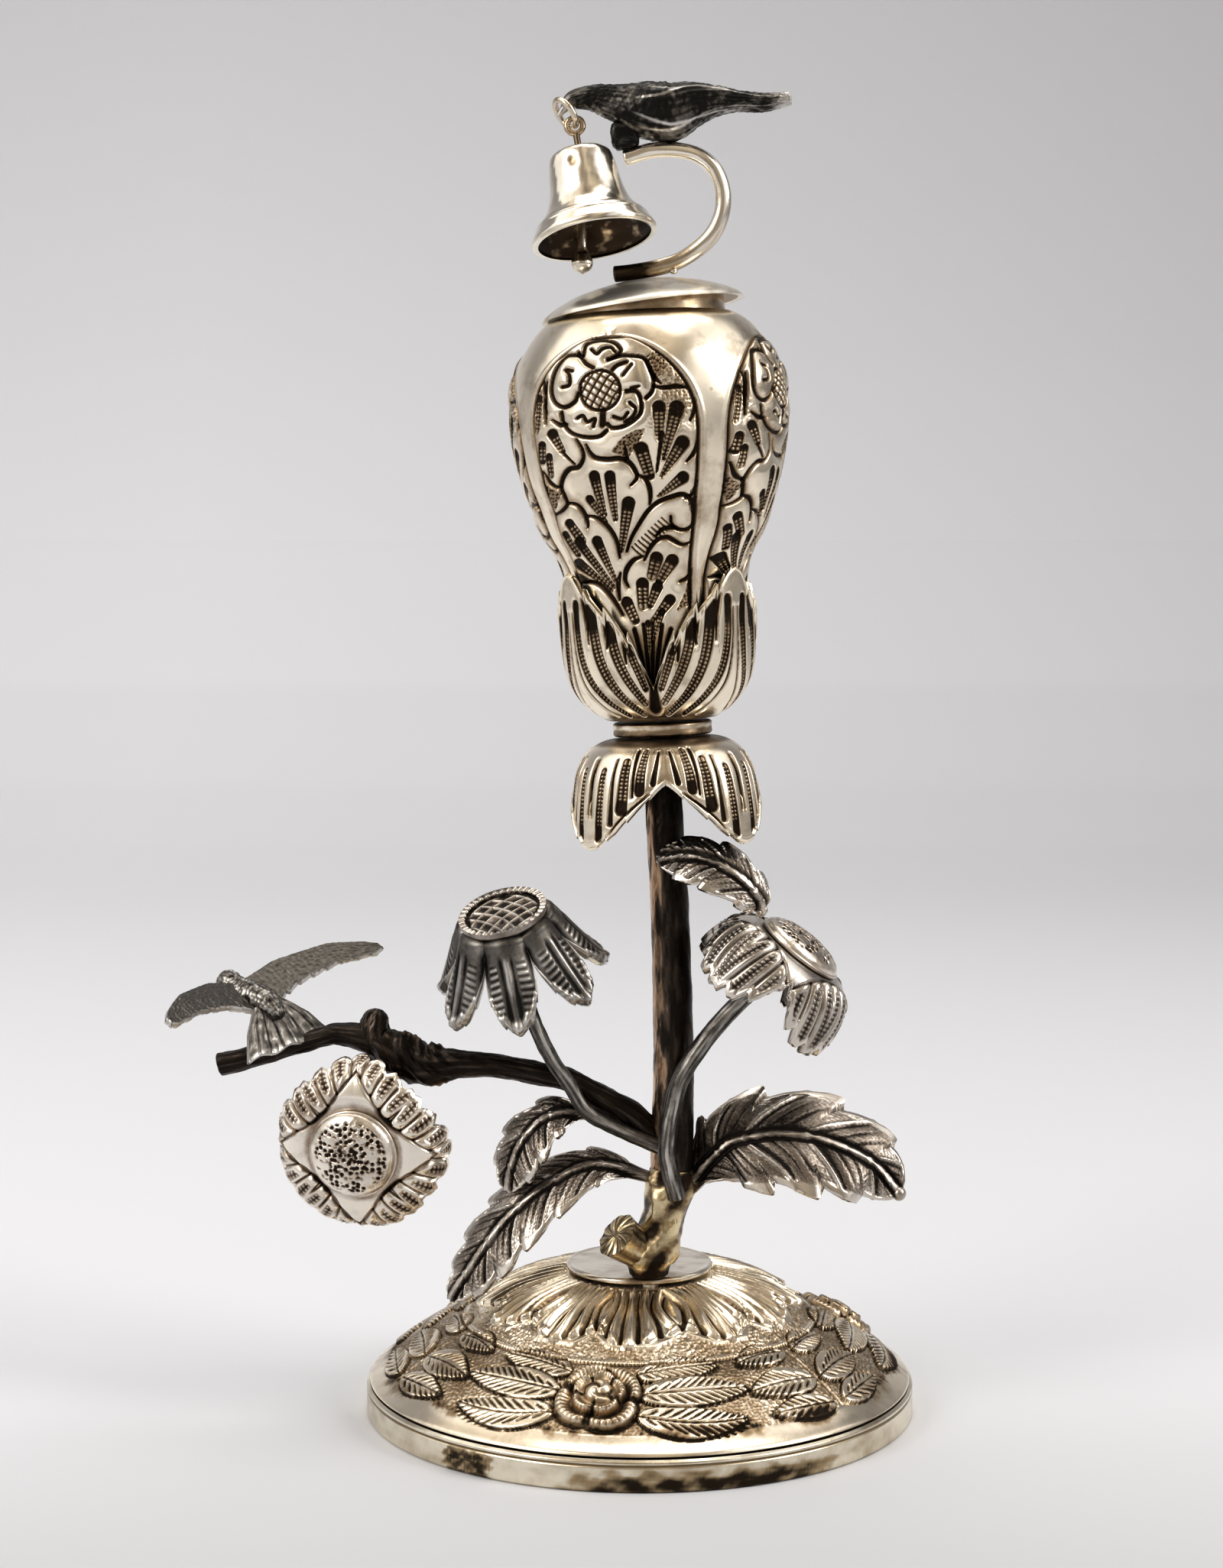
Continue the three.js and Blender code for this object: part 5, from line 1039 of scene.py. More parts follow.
def pointed_corolla():
    """Seven narrow petals, each with a midrib between two grooves and wings cut like ladders."""
    count = 7
    tips = [-math.pi / 2 + k * 2 * math.pi / count for k in range(count)]
    outline = hub(POINTED_SKIRT, 10.5, 10.6, 1.62)
    reach = math.pi / count
    grid, signed, at, arc, limit, ring = skirt(outline, tips, reach, POINTED_EDGE, 0.9, 560, 120, 0.02, 3)
    x = signed * ring
    share = np.abs(signed) / reach
    ladder = np.abs(np.sin(arc * 3.6 - np.abs(x) * 1.2)) ** 2
    rib = peak(x, 0.3) * smooth(5.0, 6.5, arc)
    groove = peak(np.abs(x) - 0.62, 0.22) * smooth(5.0, 6.5, arc)
    rim = smooth(0.085, 0.04, limit - at) * smooth(0, 0.01, limit - at)
    seam = smooth(0.72, 1.0, share) * smooth(4.5, 6, arc)
    wing = smooth(0.95, 1.25, np.abs(x)) * smooth(0.75, 0.6, share) * smooth(6, 7, arc)
    relief = 0.16 * rib - 0.2 * groove + 0.1 * wing * ladder + 0.26 * rim
    relief = relief + 0.5 * (1 - share ** 2) - 0.3 * seam
    shade = 0.58 + 0.4 * groove + 0.3 * wing * (1 - 2.4 * ladder) - 0.65 * rim - 0.35 * rib + 0.4 * seam
    shade = shade + 0.35 * wave_noise(grid[..., 0], grid[..., 1], 4, 77)
    relief = relief * smooth(0, 0.03, limit - at)
    build("pointed_petals", sheet(grid, PETAL_SHEET, relief, np.clip(shade, -0.3, 1), wrap=True, facing=-1),
          GREY, ["middle_flower_corolla"], MIDDLE_FLOWER)


def lattice_disc():
    """A flat disc cross-hatched with cuts, in a raised rim nicked all round."""
    turns = 260
    r = np.linspace(5.86, 0.03, 90)[:, None]
    angle = full_turn(turns)
    x, y = r * np.cos(angle), r * np.sin(angle)
    u, v = (x + y) * 0.7071, (x - y) * 0.7071
    u, v = u + 0.05 * v ** 2, v - 0.05 * u ** 2
    lines = np.maximum(peak(np.mod(u, 1.7) - 0.85, 0.24), peak(np.mod(v, 1.7) - 0.85, 0.24))
    rim = smooth(4.7, 5.0, r)
    nick = np.abs(np.sin(angle * 19 + 0.6 * np.sin(angle * 5))) ** 4 * rim
    channel = peak(r - 4.75, 0.2)
    relief = (1 - rim) * (-0.28 + 0.26 * lines) - 0.25 * channel + rim * 0.05 - 0.2 * nick
    shade = (1 - rim) * (0.85 - 0.75 * lines) + 0.8 * channel + 0.7 * nick - 0.35 * rim
    shade = shade + 0.35 * wave_noise(x, y, 3, 13)
    top = np.hstack([r, 0.65 + 0.35 * smooth(4.6, 5.2, r)])
    side = polyline([(0.05, 0.02), (5.66, 0.02), (5.9, 0.4), (5.86, 1.0)], 24)
    build("lattice", [revolve(top, turns, relief, np.clip(shade, -0.3, 1), (0, 0, 1, 0.8)),
                      revolve(side, turns, dark=0.35, area=(0, 0.82, 1, 1))],
          LEAF, ["middle_flower_disc"], MIDDLE_FLOWER)


def stalk(name, node, path, flower, radius, side, sides, steps, seed, base, lit, material):
    """A wire of even girth that ends square in the flower's back."""
    middle, axis = flower[:3, 3], flower[:3, 2]
    path = np.vstack([path[:-1], middle - axis * STALK_TURN, middle - axis * STALK_END])
    part = rod(path, radius, side=side, sides=sides, steps=steps, relief=bark(seed, 2, 0.07),
               dark=streaks_and_sheen(seed + 1, base, 0.4, math.radians(lit)))
    build(name, [part], material, [node])


def flower_stems():
    middle = path_from((1.548, -8.449, 37.485), [
        (0.06, 0.07, -0.05), (-0.256, 0.07, 0.09), (-0.427, 0.06, 0.194), (-0.537, 0.05, 0.368),
        (-0.657, 0.025, 0.552), (-0.771, 0.01, 0.797), (-0.85, 0, 1.051), (-0.905, -0.006, 1.3)], 20)
    stalk("middle_stalk", "middle_flower_stem", middle, MIDDLE_FLOWER, 0.98, (0, 1, 0), 40, 150, 71, 0.66,
          200, GREY)
    right = path_from((4.883, -9.703, 30.28), [
        (0, 0.02, 0), (-0.027, 0.003, 0.111), (-0.044, 0.007, 0.222), (-0.021, 0.013, 0.383),
        (0.019, 0.023, 0.53), (0.129, 0.04, 0.699), (0.246, 0.053, 0.832), (0.346, 0.067, 0.921),
        (0.44, 0.078, 1.01)], 30)
    stalk("right_stalk", "right_flower_stem", right, RIGHT_FLOWER, 1.18, (0, 1, 0), 44, 190, 73, 0.66, 180,
          GREY)
    hook = path_from(KNUCKLE, [
        (0, 0, 0), (-0.03, 0.14, -0.32), (-0.09, 0.17, -0.62), (-0.15, 0.06, -0.87)], 12)
    stalk("hook", "hanging_flower_hook", hook, HANGING_FLOWER, 1.1, (1, 0, 0), 40, 90, 75, 0.6, 0,
          BLACK)


# Neck: both calyxes and the ring between them

NECK = tilted((3.039, -1.014, 90.7), 2.6)
CALYX_REACH = math.radians(55)
CALYX_SHEET = 0.8
UPPER_TIPS = [math.radians(t) for t in (-150, -40, 32, 142)]
LOWER_TIPS = [math.radians(t) for t in (-142, -38, 38, 142)]
UPPER_CALYX = [(0.463, 0), (0.56, 0.02), (0.67, 0.075), (0.78, 0.16), (0.855, 0.27), (0.9, 0.45),
               (0.915, 0.72), (0.92, 0.92), (0.925, 1)]
LOWER_CALYX = [(0.5, 0), (0.66, -0.03), (0.815, -0.12), (0.915, -0.275), (0.96, -0.46), (0.99, -0.72),
               (1, -1)]


# Strokes on half a petal: a kind, head and foot widths, then places in degrees from the midrib
# and millimetres above or below the ring
UPPER_STROKES = [
    ("line", 0.4, 0.8, [(2, 14), (2.5, 9.5), (5, 5), (12, 2), (18, 0.8)]),
    ("flute", 1.6, 1.5, [(6.5, 15.2), (6.6, 11.2), (10.5, 6.4), (20, 2.8), (30, 0.9)]),
    ("flute", 2.1, 1.6, [(18.5, 14.6), (20, 11.2), (24, 7.0), (33, 3.2), (44, 1.0)]),
    ("flute", 1.9, 1.4, [(30.5, 12.2), (33, 9.2), (38, 6.0), (48, 2.4)]),
    ("flute", 1.5, 1.1, [(42, 9.4), (45, 7.2), (50, 4.2)]),
    ("line", 1.4, 0.6, [(49.5, 7.2), (52, 5.6), (54, 4)]),
    ("line", 1.3, 0.3, [(13, 16), (14.5, 13), (15.5, 10)]),
    ("line", 1.3, 0.4, [(27, 14), (27.8, 11.5), (28.5, 9.5)]),
    ("line", 1.4, 0.4, [(39.5, 12), (39, 9.5), (39.5, 7.5)]),
    ("line", 3.4, 1.6, [(55, 1.6), (55, 2.8), (55, 4.4)]),
]
LOWER_STROKES = [
    ("line", 1.2, 0.3, [(0, -2.2), (0.5, -5.5), (1.5, -9)]),
    ("flute", 1.4, 1.1, [(8, -12), (8.5, -8), (9.5, -3.4)]),
    ("flute", 1.9, 1.5, [(24, -8.2), (25, -6), (26, -2.4)]),
    ("flute", 1.6, 1.3, [(35.5, -5.9), (36.5, -3.6), (38.5, -1.2)]),
    ("line", 1.1, 0.4, [(16.5, -10), (17, -6.5), (18, -2)]),
    ("line", 0.4, 0.9, [(31, -6.6), (31.5, -3.8), (32.5, -1)]),
    ("line", 1.0, 0.5, [(44, -5), (46, -3), (48, -1.2)]),
    ("line", 0.3, 0.6, [(13, -12.2), (20, -10.2), (30, -8.2), (41, -6.4)]),
]
# How far a petal reaches from its midrib to its seam, in millimetres above or below the ring
UPPER_EDGE = [(0, 19.2), (0.12, 18.6), (0.31, 16.2), (0.5, 14.8), (0.7, 12.6), (0.84, 9.6), (0.93, 6.8),
              (1, 4.2)]
LOWER_EDGE = [(0, 13.4), (0.12, 13.2), (0.35, 11.4), (0.7, 7.6), (1, 4.6)]


def calyx(name, node, shares, radius, height, hole, seat, tips, facing, strokes, edge, saw, seed):
    """Four petals with beaded flutes on both sides of a plain midrib."""
    outline = [(hole, seat)] + [(a * radius, seat + b * height) for a, b in shares]
    at_share = np.linspace(0, 1, 200)
    fine = curve_at(outline, at_share)
    length = run_along(fine)
    rise = np.abs(fine[:, 1] - seat)
    # Heights are looked up past the flat stretch beside the ring
    past = slice(20, None)
    limits = [(a, np.interp(h, rise[past], at_share[past])) for a, h in edge]
    grid, signed, at, arc, limit, _ = skirt(outline, tips, CALYX_REACH, limits, 0.5, 900, 200, saw, 4)
    x = signed * radius
    work = Chasing(x, arc)
    for kind, wide, narrow, points in strokes:
        path = [(math.radians(a) * radius, np.interp(abs(h), rise[past], length[past])) for a, h in points]
        path = finer(path, 5)
        for sign in (1, -1):
            side = path * (sign, 1)
            if kind == "line":
                work.cut(side, np.linspace(wide, narrow, len(side)), 0.3, 0.97, halo=1.6)
            else:
                work.flute(side, (wide, narrow), 0.34, 0.52, plain=0.14)
    work.settle(0.14, 0.42)
    inward = (limit - at) * 26
    rim = smooth(0.8, 0.35, inward)
    # Painted shade near the ring, where the petals bend in towards it; a band just inside the rim is darker
    # too
    bend = 0.75 * smooth(6.6, 5.0, arc) + 0.3 * smooth(0.5, 1.4, inward) * smooth(3.0, 1.4, inward)
    shade = np.maximum(work.dark, bend) * (1 - rim) - 0.05 + 0.15 * wave_noise(x, arc, 7, seed)
    relief = (work.height + 0.1 * rim) * smooth(0, 0.02, limit - at)
    build(name, sheet(grid, CALYX_SHEET, relief, np.clip(shade, -0.3, 1), 0.9, True, facing, echo=0.3),
          CHASED, [node], NECK)


def neck():
    calyx("upper_petals", "upper_calyx", UPPER_CALYX, 13.6, 19.6, 1.6, 2.5, UPPER_TIPS, 1, UPPER_STROKES,
          UPPER_EDGE, 0.035, 81)
    calyx("lower_petals", "lower_calyx", LOWER_CALYX, 12.2, 13.4, 3.0, -0.7, LOWER_TIPS, -1, LOWER_STROKES,
          LOWER_EDGE, 0.015, 83)
    turns = 200
    outline = polyline([(1.6, 0.0), (6.3, 0.0), (6.56, 0.25), (6.5, 0.9), (6.56, 1.55), (6.3, 1.8),
                        (1.6, 1.8)], 40)
    z = outline[:, 1:]
    # Painted shade darkens the ring, which sits between the calyxes, with random tone; a painted highlight
    # line runs near its top
    dark = 0.62 + 0.3 * wave_noise(full_turn(turns) * 6.5, z * 2, 4, 85) - 0.45 * peak(z - 1.2, 0.3)
    build("ring", [revolve(outline, turns, dark=np.clip(dark, 0, 0.9))],
          CHASED, ["neck_ring"], NECK)


# Bud: four arched panels between plain ribs, drawn once from the panel that faces the photograph

BUD_RADIUS = 17.95
BUD_HEIGHT = 51.6
BUD_SEAT = 3.2
BUD_WALL = 0.75
MOUTH_RADIUS = 11.3
SCREW_HOLE = 1.6
PANEL_TURN = -108.0
PANEL_HALF_SPAN = 39.0
PANEL_TOP = 0.935
PANEL_ARCH = 0.24
PANEL_COLUMNS = 200
BUD_ROWS = 460
BUD_OUTLINE = [(0.31, 0), (0.41, 0.018), (0.5, 0.05), (0.552, 0.085), (0.595, 0.142), (0.617, 0.21),
               (0.63, 0.285), (0.655, 0.345), (0.715, 0.4), (0.8, 0.455), (0.872, 0.527), (0.936, 0.592),
               (0.976, 0.665), (1, 0.745), (0.997, 0.812), (0.962, 0.87), (0.9, 0.914), (0.812, 0.958),
               (0.735, 0.985), (0.66, 1)]

# The panel's drawing in the photograph's pixels, each of them this many millimetres on the bud:
# bold lines, petals, then flutes with their head and foot and the widths there
PIXEL = 0.1015
BOLD_LINES = [
    [(767, 582), (772, 592), (780, 599), (795, 601), (812, 600), (824, 606), (832, 618), (833, 626),
     (825, 635)],
    [(835, 622), (843, 626), (849, 636), (851, 648), (850, 660)],
    [(755, 575), (762, 588), (763, 600), (757, 611), (745, 614), (737, 624), (734, 638), (739, 650),
     (742, 660), (736, 668), (728, 673)],
    [(742, 658), (755, 661), (764, 670), (769, 683), (770, 690)],
    [(768, 675), (780, 677), (792, 685), (802, 698), (808, 712), (811, 730)],
    [(820, 722), (826, 704), (836, 686), (848, 668), (862, 656), (878, 650), (893, 647), (905, 655),
     (911, 668), (909, 683), (900, 692), (889, 693), (879, 686), (877, 675)],
    [(858, 702), (866, 693), (878, 690), (886, 692)],
    [(843, 733), (850, 718), (860, 707), (872, 703), (882, 708), (892, 713), (905, 710)],
    [(842, 728), (829, 733), (820, 745), (818, 758), (823, 768)],
    [(812, 750), (809, 765), (811, 785)],
    [(912, 578), (908, 592), (898, 604)],
    [(913, 630), (908, 645), (897, 652)],
    [(908, 742), (901, 755), (889, 761)],
    [(911, 520), (909, 537), (903, 550)],
    [(711, 618), (722, 634), (735, 640)],
    [(722, 550), (733, 556), (743, 555)],
    [(716, 500), (713, 525), (714, 555)],
    [(855, 505), (868, 507), (885, 505), (900, 507)],
    [(845, 470), (855, 492), (865, 502)],
    [(763, 763), (775, 762), (790, 770), (803, 785), (815, 805)],
]
PETAL_LINES = [
    [(760, 465), (743, 466), (731, 480), (724, 500), (723, 516), (728, 528), (739, 533), (752, 526),
     (757, 515)],
    [(735, 540), (739, 555), (750, 567), (767, 572), (784, 571), (794, 563)],
    [(763, 466), (768, 452), (785, 447), (803, 449), (812, 458), (806, 466), (795, 471)],
    [(795, 471), (810, 466), (826, 466), (842, 469), (850, 482), (855, 497), (853, 512), (845, 521)],
    [(819, 512), (832, 512), (838, 522), (839, 537), (833, 547), (818, 557), (802, 560), (795, 555)],
    [(757, 462), (766, 475), (776, 481)],
    [(820, 474), (808, 478), (801, 484)],
]
PETAL_CURLS = [
    [(738, 507), (747, 504), (747, 493), (742, 485), (750, 486)],
    [(757, 547), (764, 544), (770, 552), (779, 548), (777, 558)],
    [(775, 459), (782, 464), (790, 458), (800, 456), (805, 461)],
    [(818, 552), (828, 545), (832, 535), (824, 527)], [(803, 545), (815, 548), (822, 540)],
]
PETAL_SPOTS = [((790, 540), (789, 556), 12), ((816, 492), (827, 478), 7), ((826, 508), (836, 506), 7)]
DISC_MIDDLE = (786, 511)
DISC_RADIUS = 26
FLUTE_BREADTH = 1.28
FLUTES = [
    ((862, 533), (862, 572), 17, 9), ((885, 534), (868, 600), 19, 5), ((839, 587), (850, 622), 17, 12),
    ((892, 579), (866, 622), 18, 6), ((893, 624), (862, 648), 15, 5), ((779, 622), (792, 672), 13, 7),
    ((799, 622), (806, 678), 13, 7), ((823, 657), (813, 720), 16, 6), ((773, 652), (793, 682), 10, 5),
    ((724, 568), (737, 590), 13, 8), ((711, 582), (711, 603), 9, 9), ((720, 597), (722, 621), 8, 8),
    ((747, 684), (764, 706), 11, 10), ((760, 707), (803, 768), 11, 6), ((783, 706), (806, 760), 12, 5),
    ((760, 736), (800, 772), 13, 6), ((742, 698), (759, 724), 8, 7), ((859, 730), (853, 752), 16, 12),
    ((879, 733), (863, 760), 16, 10), ((841, 763), (842, 792), 15, 12), ((860, 768), (851, 792), 13, 8),
    ((821, 788), (832, 812), 14, 10), ((876, 785), (856, 812), 14, 8), ((706, 520), (704, 565), 6, 5),
    ((848, 815), (850, 850), 7, 4), ((866, 800), (854, 840), 8, 4),
]
WEDGES = [((866, 567), (859, 617), 10, 5), ((712, 500), (713, 548), 5, 4), ((820, 600), (817, 580), 9, 3),
          ((740, 595), (752, 607), 7, 5)]
# Lines that run together at the panel's foot, between two petals of the calyx
FAN_COUNT = 7
FAN_TOP = 812
FAN_SPREAD = 12
FAN_FOOT = (854, 905)
FLOWER_MIDDLE = (788, 503)
FLOWER_REACH = 76
# A row of short cuts across a leaf: from, to, half their length and how many
COMB = ((832, 720), (870, 681), 10, 10)
# Petals and big leaves that swell from the ground: places and sizes
PETAL_MOUNDS = [(742, 500, 22), (760, 555, 22), (788, 455, 20), (832, 490, 26), (818, 540, 24)]
LEAF_MOUNDS = [(870, 560, 40), (800, 640, 38), (870, 670, 30), (770, 710, 34), (845, 770, 34)]
GROUNDS = [
    [(700, 622), (722, 640), (735, 645), (728, 668), (716, 650)],
    [(903, 640), (914, 632), (911, 690), (900, 660)],
    [(845, 560), (838, 575), (822, 600), (800, 590), (815, 572), (830, 563)],
    [(846, 466), (862, 458), (872, 480), (858, 498), (848, 486)],
    [(918, 750), (906, 742), (895, 775), (884, 800), (905, 790)],
]


def swelling(x, y, places):
    """Soft mounds on the panel, each with a place and a size."""
    return [np.exp(-((x - mx) ** 2 + (y - my) ** 2) / size ** 2) for mx, my, size in places]


def panel_work(x, y):
    """The chased drawing of one panel. Sizes are in the photograph's pixels, ten to the millimetre."""
    work = Chasing(x, y)
    middle_x, middle_y = FLOWER_MIDDLE
    outside = smooth(FLOWER_REACH - 4, FLOWER_REACH + 6, np.hypot(x - middle_x, y - middle_y))
    work.ground(outside * smooth(middle_y + 75, middle_y + 25, y), 5.0, 1.6, 19, 0.6)
    for area in GROUNDS:
        work.ground(work.within(area), 4.6, 2.0, 17, 0.95)
    for line in BOLD_LINES:
        n = len(line)
        widths = 9.0 * np.sin(np.linspace(0.35, np.pi - 0.35, n)) ** 0.7
        widths = np.interp(np.linspace(0, 1, 6 * n), np.linspace(0, 1, n), widths)
        work.cut(finer(line), widths, 3.4, halo=30)
    for line in PETAL_LINES:
        work.cut(finer(line), 7.5, 3.2, halo=24)
    for line in PETAL_CURLS:
        work.cut(finer(line), 6.5, 2.4, halo=13)
    for head, foot, width in PETAL_SPOTS:
        work.cut([head, foot], width, 1.6)
    for k in range(FAN_COUNT):
        from_middle = k - (FAN_COUNT - 1) / 2
        head = (FAN_FOOT[0] + from_middle * FAN_SPREAD, FAN_TOP + abs(from_middle) * 6)
        foot = (FAN_FOOT[0] + from_middle * 2.2, FAN_FOOT[1])
        work.cut([head, foot], (7.5, 2.6), 3.0, halo=13)
    work.settle(2.6, 0.42)
    for head, foot, wide, narrow in FLUTES:
        work.flute([head, foot], (wide * FLUTE_BREADTH, narrow * FLUTE_BREADTH), 3.0, 5.2, plain=0.1)
    for head, foot, wide, narrow in WEDGES:
        work.cut([head, foot], (wide, narrow), 2.8)
    start, end, width, count = COMB
    along = np.subtract(end, start)
    across = np.array([along[1], -along[0]]) / math.hypot(*along) * width
    for k in range(count):
        place = start + along * (k / (count - 1))
        work.cut([place - across, place + across * 0.7], 3.2, 1.6, 0.95)

    # Cross-hatched disc in the flower's heart
    dx, dy = work.x - DISC_MIDDLE[0], work.y - DISC_MIDDLE[1]
    r = np.hypot(dx, dy)
    heart = smooth(DISC_RADIUS - 1, DISC_RADIUS - 3, r)
    u, v = dx * 0.86 + dy * 0.5, dy * 0.86 - dx * 0.5
    hatch = np.maximum(peak(np.mod(u + 4, 9.5) - 4.7, 1.7), peak(np.mod(v + 4, 8.5) - 4.2, 1.6))
    dome = 4.0 * np.sqrt(np.clip(1 - (r / DISC_RADIUS) ** 2, 0, 1)) - 2.4 * hatch
    work.dark = work.dark * (1 - heart) + heart * hatch
    work.height = work.height * (1 - heart) + heart * dome
    around = [(DISC_MIDDLE[0] + math.cos(a) * DISC_RADIUS, DISC_MIDDLE[1] + math.sin(a) * DISC_RADIUS)
              for a in np.linspace(0, 2 * math.pi, 49)]
    work.cut(around, 6.0, 3.0)
    work.height += 3.5 * np.max(swelling(work.x, work.y, PETAL_MOUNDS), axis=0) * (1 - heart)
    for mound in swelling(work.x, work.y, LEAF_MOUNDS):
        work.height += 2.2 * mound
    # Shade that deepens to the panel's foot, down between the calyx's petals
    work.dark = np.maximum(work.dark, 0.8 * smooth(780, 868, work.y))
    return work


def bud():
    """The panel repeats four times round a plain body, whose mouth and floor are open to the inside."""
    outline = resample(np.array(BUD_OUTLINE) * (BUD_RADIUS, BUD_HEIGHT) + (0, BUD_SEAT), BUD_ROWS)
    quarter_degrees = np.linspace(-45, 45, PANEL_COLUMNS, endpoint=False)
    angle = np.radians(quarter_degrees + PANEL_TURN)
    r, z = outline[:, :1], outline[:, 1:]
    work = panel_work(*seen(moved(spun(r, angle, z), NECK)))

    # How far a place lies outside the panel's edge, in millimetres
    share = (z - BUD_SEAT) / BUD_HEIGHT
    arch_start = PANEL_TOP - PANEL_ARCH
    arch = np.sqrt(np.clip(1 - ((share - arch_start) / PANEL_ARCH) ** 2, 0, 1))
    half = np.radians(PANEL_HALF_SPAN + 2.5 * smooth(0.5, 0.3, share)) * np.where(share < arch_start, 1, arch)
    above = (share - PANEL_TOP) * BUD_HEIGHT
    beyond = np.maximum((np.abs(np.radians(quarter_degrees)) - half) * r, above)
    inside = smooth(0.12, -0.12, beyond)
    rim = peak(beyond + 0.32, 0.3)
    lip = peak(beyond - 0.42, 0.3)
    height = (work.height * PIXEL + 0.3) * inside * (1 - rim) - 0.34 * rim + 0.1 * lip
    dark = work.dark * inside * (1 - rim) + rim
    dark = np.maximum(dark, 0.42 * smooth(-2.2, -0.3, beyond) * inside)
    dark = np.maximum(dark, 0.3 * smooth(1.1, 0.2, beyond) * smooth(-0.3, 0.1, beyond))
    height, dark, inside = (np.tile(grid, (1, 4)) for grid in (height, dark, inside))

    full = np.concatenate([angle + math.radians(90) * k for k in range(4)])
    points = spun(r, full, z)
    x = full * 17.0
    spots = pits(x, z, 3.6, 93, 0.1) * smooth(0.3, 0.8, wave_noise(x, z, 13, 95))
    shade = dark + 0.1 * wave_noise(x, z, 9, 91) - 0.05
    shade = np.clip(shade + 0.4 * spots * (1 - inside), -0.2, 1)
    height = height + 0.03 * wave_noise(x, z, 8, 97)
    body = patch(points + normals(points, True) * height[..., None], shade, True, False, (0, 0, 1, 0.8))

    floor_z, rim_z = BUD_SEAT + BUD_WALL, BUD_SEAT + BUD_HEIGHT
    inner = [(a - BUD_WALL, b) for a, b in outline[::30] if b > floor_z + 0.6]
    inner = resample(inner, 60)
    mouth = polyline([outline[-1], (MOUTH_RADIUS, rim_z), (MOUTH_RADIUS, rim_z - BUD_WALL)], 6)
    floor = polyline([(SCREW_HOLE, floor_z), (inner[0, 0], floor_z), tuple(inner[0])], 8)
    base = polyline([(SCREW_HOLE, floor_z), (SCREW_HOLE, BUD_SEAT), tuple(outline[0])], 8)
    lining = np.vstack([inner, [(MOUTH_RADIUS, rim_z - BUD_WALL)]])
    build("chased_bud", [
        body,
        revolve(mouth, 240, dark=0.1, area=(0, 0.81, 1, 0.83)),
        revolve(lining[::-1], 240, dark=0.55, area=(0, 0.84, 1, 0.94)),
        revolve(floor[::-1], 120, dark=0.6, area=(0, 0.95, 1, 0.97)),
        revolve(base, 120, dark=0.6, area=(0, 0.98, 1, 1)),
    ], CHASED, ["bud_body"], NECK)


# Lid, scroll and the bird on it

LID_TILT = 7.65
LID = tilted((0.392, -1.014, 146.337), LID_TILT)
LID_RADIUS = 13.35
LID_RISE = 3.9
LID_SHEET = 0.7
LID_OUTLINE = [(1, 0), (0.97, 0.14), (0.9, 0.3), (0.8, 0.47), (0.62, 0.7), (0.4, 0.87), (0.2, 0.97), (0, 1)]
SCROLL = [(0.011, 0, 0.987), (0.186, 0, 1.013), (0.354, 0, 0.995), (0.488, 0, 0.942), (0.58, 0, 0.84),
          (0.616, 0, 0.69), (0.585, 0, 0.537), (0.487, 0, 0.401), (0.306, 0, 0.298), (0.14, 0, 0.262),
          (-0.037, 0, 0.255), (-0.153, 0, 0.258)]
SCROLL_SIZE = 20
SCROLL_GIRTH = 1.05
SOLDER_PLACE = (4.6, -0.5, 4.45)
BIRD_PLACE = np.array([5.4, 0, 21.43])
BIRD_LENGTH = 29.2
BIRD_GIRTH = 3.9
# The length of the bird's curved middle line, and the radius that its feathers are drawn on
BIRD_RUN = 32.0
BIRD_GRAIN = 3.2
BIRD_PATH = [(-0.447, 0, 0.166), (-0.418, 0, 0.195), (-0.373, 0, 0.228), (-0.287, 0, 0.226),
             (-0.188, 0, 0.192), (-0.074, 0, 0.147), (0.043, 0, 0.12), (0.148, 0, 0.136), (0.251, 0, 0.139),
             (0.353, 0, 0.125), (0.47, 0, 0.103), (0.587, 0, 0.104)]
BIRD_DEPTH = [0.07, 0.14, 0.31, 0.42, 0.6, 0.93, 1, 0.77, 0.51, 0.33, 0.3, 0.2]
BIRD_BREADTH = [0.07, 0.15, 0.3, 0.38, 0.54, 0.75, 0.82, 0.75, 0.64, 0.52, 0.42, 0.3]


def lid():
    turns = 320
    angle = full_turn(turns)
    cover = resample(np.array(LID_OUTLINE) * (LID_RADIUS, LID_RISE), 70)
    cover[-1, 0] = 0.03
    r = cover[:, :1]
    x, y = r * np.cos(angle), r * np.sin(angle)
    smudge = wave_noise(x, y, 8, 101)
    dark = 0.12 * smudge + 0.16 * smooth(0.2, 0.7, wave_noise(x * 0.6, y, 6, 103)) * smooth(13, 9, r)
    dark = dark + 0.2 * peak(r - LID_RADIUS, 0.3)
    under = cover[::-1].copy()
    under[:, 1] -= LID_SHEET * 0.95
    under[:, 0] = np.maximum(under[:, 0] - 0.15, 0.03)
    under = under[under[:, 1] > 0]
    edge = polyline([tuple(under[-1]), (LID_RADIUS - LID_SHEET, 0.02), (LID_RADIUS - 0.15, 0.0),
                     (LID_RADIUS, 0.06)], 8)
    build("cover", [revolve(cover, turns, 0.07 * smudge, np.clip(dark, 0, 0.8), (0, 0, 1, 0.6)),
                    revolve(under, turns, dark=0.5, area=(0, 0.62, 1, 0.9)),
                    revolve(edge, turns, dark=0.1, area=(0, 0.92, 1, 1))],
          COVER, ["lid"], LID, "lid")
    tube = polyline([(10.05, 1.5), (10.05, -2.55), (10.35, -2.6), (10.65, -2.4), (10.65, 1.5),
                     (10.05, 1.5)], 30)
    dark = np.clip(0.45 + 0.3 * wave_noise(angle * 10.6, tube[:, 1:] * 2, 5, 105), 0, 0.9)
    build("bezel", [revolve(tube, turns, dark=dark)], POLISHED, ["lid_bezel"], LID, "lid")


